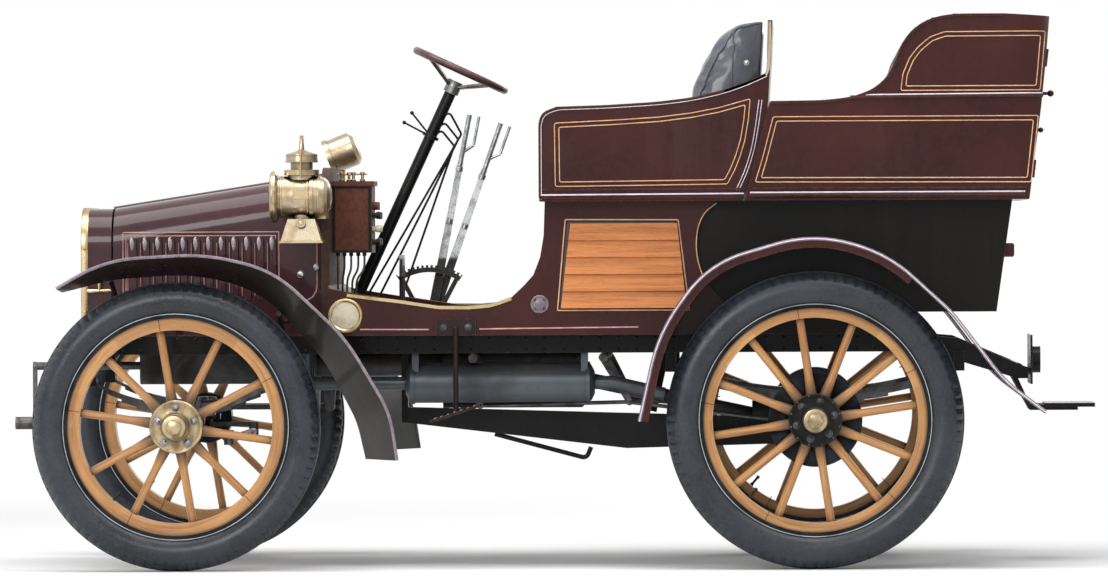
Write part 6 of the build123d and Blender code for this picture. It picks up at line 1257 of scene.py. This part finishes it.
def in_box(low, high):
    """Returns a rule that sets a point back inside a box."""
    def held(place):
        return Vector([min(max(value, least), most) for value, least, most in zip(place, low, high)])
    return held


def other_side(made, name):
    points = [(v.co.x, -v.co.y, v.co.z) for v in made.data.vertices]
    twin = mesh_object(name, points, [tuple(reversed(p.vertices)) for p in made.data.polygons], True)
    twin.data.materials.append(leather)
    return twin


REAR_SQUARE = 0.011
cushion_outline = [(0.966, 1.139), (0.966, 1.222), (0.980, 1.232), (1.280, 1.232), (1.288, 1.222),
                   (1.288, 1.139)]
cushion_place = in_box((0.953, -0.5645, 1.1305), (1.2965, -0.2015, 1.252))
rear_cushion = stuffed("rear_cushion_left", cushion_outline, -0.556, -0.211, 0.018, cushion_place,
                       REAR_SQUARE)
rear_buttons = buttoned(rear_cushion, (0, 0, 1), (1, 0, 0), (1.126, -0.383, 1.24), 0.115, 0.115, 0.013, 0.035)
squab_outline = [(1.308, 1.262), (1.306, 1.560), (1.320, 1.615), (1.345, 1.628), (1.388, 1.626),
                 (1.388, 1.262)]
squab_place = in_box((1.284, -0.4695, 1.2535), (1.3965, -0.2015, 1.6395))
rear_squab = stuffed("rear_squab_left", squab_outline, -0.461, -0.211, 0.018, squab_place, REAR_SQUARE)
rear_buttons += buttoned(rear_squab, (-1, 0, 0), (0, 0, 1), (1.30, -0.336, 1.45), 0.100, 0.115, 0.013, 0.035)
arm_outline = [(0.985, 1.285), (0.962, 1.375), (0.985, 1.420), (1.004, 1.470), (1.020, 1.520),
               (1.048, 1.570), (1.095, 1.610), (1.160, 1.6285), (1.280, 1.6295), (1.285, 1.285)]
arm_place = in_box((0.93, -0.5672, 1.254), (1.2825, -0.512, 1.637))
arm_pad = stuffed("rear_arm_left", arm_outline, -0.5635, -0.530, 0.012, arm_place, REAR_SQUARE)
assemble("rear_seat_buttons", rear_buttons + mirrored(rear_buttons), leather)
for made, fill in ((rear_cushion, 0.85), (rear_squab, 0.8), (arm_pad, 0.7)):
    for soft in (made, other_side(made, made.name.replace("left", "right"))):
        if made is not arm_pad:
            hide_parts("rear_cushions")
        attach(soft, "chassis")
print("rear seats:", len(rear_cushion.data.polygons), "faces a cushion")

# %% [markdown]
# The bonnet's side is flat up to its rounded shoulder, and its top climbs towards the dash. One
# function says how far out the sheet lies at any point, so the louvre frame can bend over the
# shoulder with it. Each louvre has a hood at its head, painted pale as a painted highlight, and a
# pink line down its lip that is a painted highlight too.

# %% Bonnet louvres and frame
BONNET_FRONT, BONNET_RISE, BONNET_HEAD, BONNET_SHOULDER = -1.3135, 0.1548, 1.076, 0.110
LOUVRES, LOUVRE_FIRST, LOUVRE_PITCH = 12, -1.255, 0.0382
# How far the hood stands out, its height and its half thickness, from foot to head
HOOD = ((0.0095, 0.950, 0.0035), (0.0112, 0.960, 0.0075), (0.0112, 0.972, 0.0095), (0.0090, 0.982, 0.0085),
        (0.0035, 0.989, 0.0035))


def bonnet_out(x, z):
    """How far the bonnet sheet lies from the middle of the car."""
    above = z - (BONNET_HEAD + BONNET_RISE * (x - BONNET_FRONT) - BONNET_SHOULDER)
    if above <= 0:
        return BONNET_Y
    return BONNET_Y - BONNET_SHOULDER + sqrt(max(BONNET_SHOULDER ** 2 - min(above, 0.1) ** 2, 0.0))


def bonnet_path(corners, side, lift, gap=0.02):
    flat = along_line([(x, 0, z) for x, z in corners], gap)
    return [(spot.x, side * (bonnet_out(spot.x, spot.z) + lift), spot.z) for spot in flat]


louvre_outer = [(-1.284, 0.801), (-1.284, 1.004), (-0.815, 1.004), (-0.815, 0.801)]
louvre_inner = [(-1.275, 0.808), (-1.275, 0.993), (-0.825, 0.993), (-0.825, 0.808)]
for side, word in SIDES:
    body = "bonnet_" + word
    lines = [tube(bonnet_path(path, side, 0.0004), 0.0016, 6) for path in (louvre_outer, louvre_inner)]
    hoods = []
    for index in range(LOUVRES):
        x = LOUVRE_FIRST + LOUVRE_PITCH * index
        # Painted highlight: a pink line down each louvre's lip for the light it catches.
        lines.append(tube(bonnet_path([(x - 0.0145, 0.812), (x - 0.0145, 0.972)], side, 0.0002), 0.0011, 6))
        out = bonnet_out(x, 0.975)
        path = [(x, side * (out + reach), z) for reach, z, _ in HOOD]
        hoods.append(tube(path, [thick for _, _, thick in HOOD], 12, False, 0.42))
    assemble("louvre_lines_" + word, lines, pink_line, body)
    # Painted highlight on each louvre hood.
    assemble("louvre_hoods_" + word, hoods, hood_highlight_paint, body)
    rivets = [dome((x, side * bonnet_out(x, z), z), (0, side, 0), 0.0042, 0.003)
              for x, z in ((-0.749, 1.046), (-0.749, 1.009))]
    assemble("bonnet_rivets_" + word, rivets, steel, body)
print("louvre hoods:", LOUVRES, "a side")

# %% [markdown]
# The radiator wears a polished brass band round its front edge. The band is a flat bar bent round
# the radiator's outline, with rivets on its sides, and a T-shaped catch stands on each side.

# %% Radiator
RADIATOR_FRONT, RADIATOR_LOW = -1.4095, 0.742


def shoulder_outline(half, low, high, corner, steps=8):
    """Outline of (y, z) up one side, over two rounded shoulders and down the other side."""
    path = [(-half, low)]
    for step in range(steps + 1):
        angle = pi / 2 * step / steps
        path.append((-half + corner - corner * cos(angle), high - corner + corner * sin(angle)))
    return path + [(-y, z) for y, z in reversed(path)]


def bent_bar(path, near, far, thick):
    """Flat bar round an outline of (y, z), from one x to another, standing out by its thickness."""
    points = []
    for index in range(len(path)):
        way = heading(path, index)
        out = Vector((-way.y, way.x))
        for x, rise in ((near, -0.0008), (near, thick * 0.7), (near + 0.002, thick), (far - 0.002, thick),
                        (far, thick * 0.7), (far, -0.0008)):
            spot = Vector(path[index]) + out * rise
            points.append((x, spot.x, spot.y))
    return points, skin(len(path), 6)


radiator_outline = shoulder_outline(BONNET_Y, RADIATOR_LOW, BONNET_HEAD, BONNET_SHOULDER)
brass_parts = [bent_bar(radiator_outline, RADIATOR_FRONT - 0.0015, RADIATOR_FRONT + 0.0195, 0.0035)]
assemble("radiator_brass", brass_parts, brass)
rivets = [dome((RADIATOR_FRONT + 0.009, side * (BONNET_Y + 0.0034), z), (0, side, 0), 0.0038, 0.0028)
          for side in (LEFT, RIGHT) for z in (0.765, 0.860, 0.955)]
catch_bar = ((-1.396, 0.003), (-1.388, 0.0065), (-1.354, 0.0048), (-1.326, 0.0065), (-1.319, 0.003))
for side in (LEFT, RIGHT):
    reach = side * (BONNET_Y + 0.013)
    rivets.append(tube([(x, reach, 0.829) for x, _ in catch_bar], [thick for _, thick in catch_bar], 12))
    rivets.append(tube([(-1.3545, reach, 0.829), (-1.3545, reach, 0.858)], [0.0048, 0.0065], 12))
    rivets.append(turned([(0, 0), (0, 0.012), (0.004, 0.011), (0.008, 0.007), (0.017, 0.0065), (0.019, 0)],
                         (-1.3545, side * BONNET_Y, 0.858), (0, side, 0), 20))
assemble("radiator_catches", rivets, brass)
print("radiator band follows", len(radiator_outline), "points")

# %% [markdown]
# A wing's outer edge is rolled round a wire. Its long bright line is a painted highlight: the bead
# wears a pale lilac paint. The bead follows the imported wing itself: the points of its outer face
# are sorted round the wheel, and the upper one of each close pair is kept. The rear wings also have
# a shallow side valance.

# %% Wing beads
WING_EDGE_Y, WING_SHEET, VALANCE_DEPTH, VALANCE_REACH = 0.738, 0.004, 0.026, 0.33


def wing_edge(node, centre, side):
    middle = Vector(centre)
    spots = {(round(v.co.x, 5), round(v.co.z, 5)) for v in nodes[node].data.vertices
             if abs(v.co.y - side * WING_EDGE_Y) < 0.0004}
    spots = [Vector(spot) for spot in spots]

    def covered(spot):
        further = (spot - middle).length + WING_SHEET * 0.4
        return any((other - spot).length < WING_SHEET * 1.6 and (other - middle).length > further
                   for other in spots)

    upper = [spot for spot in spots if not covered(spot)]
    upper.sort(key=lambda spot: atan2(spot.x - middle.x, spot.y - middle.y))
    inward = [spot + (middle - spot).normalized() * WING_SHEET / 2 for spot in upper]
    return [(spot.x, side * (WING_EDGE_Y - 0.002), spot.y) for spot in inward]


for side, word in SIDES:
    front_edge = wing_edge("front_wings", FRONT_WHEEL, side)
    # Painted highlight: the bead's pale lilac paint stands for the light along its crest.
    assemble("front_wing_bead_" + word, [tube(front_edge, 0.0046, 8)], bead_highlight_paint)
    rear_edge = wing_edge("rear_wings", REAR_WHEEL, side)
    assemble("rear_wing_bead_" + word, [tube(rear_edge, 0.0055, 8)], bead_highlight_paint)
    # Painted highlight: a thin pale lilac line along the outside of the rear bead.
    line = [Vector(spot) + Vector((0, side * 0.0052, 0)) for spot in rear_edge]
    assemble("rear_wing_highlight_" + word, [tube(line, 0.0017, 8)], lilac_line_and_highlight)
    middle, hem = Vector(REAR_WHEEL), [Vector((x, z)) for x, y, z in rear_edge]
    hem = [spot + (middle - spot).normalized() * VALANCE_DEPTH / 2 for spot in hem]
    hem = [spot for spot in hem if spot.x < REAR_WHEEL[0] + VALANCE_REACH]
    valance = strip(hem, WING_EDGE_Y - 0.004, VALANCE_DEPTH, 0.002, side)
    assemble("rear_wing_valance_" + word, [valance], maroon)
print("wing beads on four wings")

# %% [markdown]
# The body side has small fittings: a brass strip along the step-over edge, a bare enamel disc in a
# brass ring, a round boss with four screws, the step bracket's bolts, pale edging round the front
# seat's side, and a small box at the tail. The disc stays plain.

# %% Body side fittings
sill = [(-0.599, 0.814), (-0.518, 0.803), (-0.444, 0.794), (-0.325, 0.776), (-0.236, 0.775),
        (-0.176, 0.780), (-0.147, 0.788), (-0.109, 0.802)]
assemble("sill_strips", both_sides(sill, 0.5005, 0.011, 0.003), brass)
seat_edge = [(0.528, 1.4135), (0.571, 1.4285), (0.620, 1.4465), (0.6505, 1.4605), (0.6580, 1.4800),
             (0.6620, 1.540), (0.6635, 1.6200)]
assemble("seat_edging", both_sides(seat_edge, SEAT_Y, 0.0100, 0.0040), pale_brass)
cowl = both_sides([(-0.6945, 0.830), (-0.6945, 1.046)], BONNET_Y, 0.010, 0.004)
assemble("cowl_mouldings", cowl, maroon)
rings, discs, bosses, screws = [], [], [], []
for side in (LEFT, RIGHT):
    out = (0, side, 0)
    at = (-0.603, side * 0.500, 0.753)
    rings.append(turned([(-0.0005, 0.039), (-0.0005, 0.051), (0.003, 0.051), (0.006, 0.048), (0.006, 0.044),
                         (0.003, 0.0405), (0.003, 0.039), (-0.0005, 0.039)], at, out, 56))
    discs.append(turned([(-0.0005, 0), (-0.0005, 0.0395), (0.0022, 0.0395), (0.0030, 0.030), (0.0033, 0)],
                        at, out, 48))
    at = Vector((-0.025, side * 0.500, 0.785))
    bosses.append(turned([(-0.0005, 0), (-0.0005, 0.027), (0.004, 0.027), (0.006, 0.025), (0.006, 0.016),
                          (0.014, 0.015), (0.016, 0.012), (0.016, 0)], at, out, 40))
    for index in range(4):
        angle = tau * (index + 0.5) / 4
        screws += bolt(at + Vector((cos(angle) * 0.0205, side * 0.0055, sin(angle) * 0.0205)), out, 0.0035,
                       0.003)
    for x in (-0.312, -0.238):
        screws += bolt((x, side * 0.5095, 0.718), out, 0.0075, 0.007)
assemble("enamel_disc_rings", rings, brass)
assemble("enamel_discs", discs, cream_knob)
# Painted highlight: the boss wears the pale lilac bead paint for the light it catches.
assemble("side_bosses", bosses, bead_highlight_paint)
assemble("tail_box", [slab((1.350, -0.470, 0.919), (1.386, -0.420, 0.960), 0.003)], maroon)
assemble("side_screws", screws, oily_steel)
print("side fittings placed")

# %% [markdown]
# The side lamp is turned brass. The CAD piece has its drum, chimney and oil fount, and this adds
# what makes it a lamp: a thick convex lens, soldered hoops, a hinge pin, a bare plate and the
# wire bail over the chimney.

# %% Lamps
LAMP_AT = Vector((-0.8195, -0.585, 1.107))
CHIMNEY_X = -0.7265


def hoop(along, radius, proud, wide):
    return turned([(along, radius - 0.001), (along, radius + proud * 0.6),
                   (along + wide * 0.3, radius + proud), (along + wide * 0.7, radius + proud),
                   (along + wide, radius + proud * 0.6), (along + wide, radius - 0.001),
                   (along, radius - 0.001)], LAMP_AT, (1, 0, 0), 64)


lamp_parts = [hoop(0.030, 0.061, 0.0025, 0.006), hoop(0.108, 0.061, 0.0025, 0.006),
              hoop(0.009, 0.076, 0.0015, 0.004), hoop(0.140, 0.0605, 0.002, 0.005)]
for rise, radius in ((0.066, 0.0525), (0.078, 0.0525), (0.104, 0.0485), (0.123, 0.047)):
    lamp_parts.append(turned([(rise - 0.0018, radius - 0.002), (rise - 0.001, radius + 0.0012),
                              (rise + 0.001, radius + 0.0012), (rise + 0.0018, radius - 0.002),
                              (rise - 0.0018, radius - 0.002)], (CHIMNEY_X, LAMP_AT.y, LAMP_AT.z),
                             (0, 0, 1), 48))
lamp_parts.append(tube([(-0.806, -0.6625, 1.090), (-0.806, -0.6625, 1.124)], 0.0045, 12))
lamp_parts.append(tube([(-0.806, -0.6625, 1.085), (-0.806, -0.6625, 1.0905)], 0.0028, 10))
lamp_parts.append(slab((-0.750, -0.6482, 1.101), (-0.702, -0.6446, 1.124), 0.0008))
for x in (-0.746, -0.706):
    lamp_parts.append(dome((x, -0.6480, 1.1125), (0, -1, 0), 0.0018, 0.0014))
bail = rounded([(CHIMNEY_X, -0.6405, 1.166), (CHIMNEY_X, -0.6405, 1.250), (CHIMNEY_X, -0.600, 1.283),
                (CHIMNEY_X, -0.570, 1.283), (CHIMNEY_X, -0.5295, 1.250), (CHIMNEY_X, -0.5295, 1.166)],
               0.018, 5)
lamp_parts.append(tube(bail, 0.0024, 8))
lamp_parts += bolt((CHIMNEY_X, -0.6435, 1.031), (0, -1, 0), 0.0065, 0.006)
assemble("side_lamp_trim", lamp_parts, brass)
lens = [(-0.004, 0.0), (-0.004, 0.0625), (-0.0015, 0.0625), (0.0015, 0.050), (0.0040, 0.030), (0.0050, 0.0)]
assemble("side_lamp_lens", [turned(lens, LAMP_AT + Vector((-0.0005, 0, 0)), (-1, 0, 0), 48)], lamp_glass)
print("side lamp:", len(lamp_parts), "fittings")

# %% [markdown]
# The lubricator box on the dash has black corner irons, rows of sight-feed knobs on its rear face,
# taps on its lid, and thin rigid pipes that run down from it.

# %% Lubricator box
BOX_FRONT, BOX_REAR, BOX_SIDE, BOX_FOOT, BOX_HEAD = -0.6555, -0.5355, -0.260, 0.940, 1.141
KNOBS_Y = (-0.225, -0.160, -0.095)
irons = []
for x in (BOX_FRONT + 0.001, BOX_REAR - 0.011):
    low = (x, BOX_SIDE - 0.0022, BOX_FOOT + 0.001)
    irons.append(slab(low, (x + 0.010, BOX_SIDE + 0.002, BOX_HEAD - 0.001), 0.0006))
for z in (BOX_FOOT + 0.001, BOX_HEAD - 0.009):
    low = (BOX_FRONT + 0.011, BOX_SIDE - 0.0018, z)
    irons.append(slab(low, (BOX_REAR - 0.011, BOX_SIDE + 0.002, z + 0.008), 0.0006))
assemble("box_irons", irons, chassis_black)
knob = [(0, 0), (0, 0.0085), (0.004, 0.0085), (0.005, 0.005), (0.010, 0.005), (0.012, 0.0105),
        (0.020, 0.0115), (0.024, 0.009), (0.025, 0)]
black_knobs = [turned(knob, (BOX_REAR - 0.0005, y, z), (1, 0, 0), 20) for y in KNOBS_Y for z
               in (1.052, 0.972)]
cream_knobs = [turned(knob, (BOX_REAR - 0.0005, y, 1.012), (1, 0, 0), 20) for y in KNOBS_Y]
assemble("feed_knobs_black", black_knobs, chassis_black)
assemble("feed_knobs_cream", cream_knobs, cream_knob)
taps, pipes = [], []
for x, y in ((-0.628, -0.205), (-0.596, -0.150), (-0.566, -0.205), (-0.612, -0.100)):
    taps.append(turned([(0, 0), (0, 0.008), (0.006, 0.008), (0.008, 0.0045), (0.020, 0.0045),
                        (0.022, 0.007), (0.028, 0.007), (0.030, 0)], (x, y, 1.1545), (0, 0, 1), 16))
    taps.append(tube([(x - 0.014, y, 1.1765), (x + 0.014, y, 1.1765)], 0.0026, 8))
for index, (x, y) in enumerate(((-0.640, -0.220), (-0.622, -0.190), (-0.600, -0.225), (-0.580, -0.200),
                                (-0.560, -0.225))):
    foot = (x - 0.006 * index, y - 0.004 * index, 0.802)
    path = rounded([(x, y, 0.942), (x, y, 0.890), (foot[0], foot[1], 0.860), foot], 0.02, 5)
    pipes.append(tube(path, 0.0032, 8))
    pipes.append(turned([(0, 0), (0, 0.0065), (0.010, 0.0065), (0.010, 0)], (x, y, 0.9305), (0, 0, 1), 6))
assemble("feed_taps", taps, brass)
assemble("feed_pipes", pipes, oily_steel)
print("lubricator box:", len(black_knobs) + len(cream_knobs), "knobs,", len(taps) // 2, "taps")

# %% [markdown]
# Underneath, the frame rails are riveted to their cross members, with two rows of round heads on
# each rail's outer side. The steps have raised ribs so that a wet shoe grips.

# %% Frame rivets and step ribs
RAIL_SIDE, RIVETS, FIRST_RIVET, RIVET_PITCH = 0.370, 46, -1.28, 0.055
heads = []
for side in (LEFT, RIGHT):
    for index in range(RIVETS):
        x = FIRST_RIVET + RIVET_PITCH * index
        for z in (0.648, 0.683):
            found, place = nodes["frame_rails"].ray_cast((x, side * 1.2, z), (0, -side, 0))[:2]
            if found and abs(abs(place.y) - RAIL_SIDE) < 0.001:
                heads.append(dome(place, (0, side, 0), 0.0048, 0.0032, 8))
assemble("frame_rivets", heads, chassis_black)
ribs = []
for side in (LEFT, RIGHT):
    for index in range(7):
        shift = (index - 3) * 0.0195
        x, z = -0.275 + shift, 0.4665 + shift * 0.325
        ribs.append(tube([(x, side * 0.503, z), (x, side * 0.628, z)], 0.0026, 6))
assemble("step_ribs", ribs, steel)
print("frame rivets:", len(heads), "step ribs:", len(ribs))
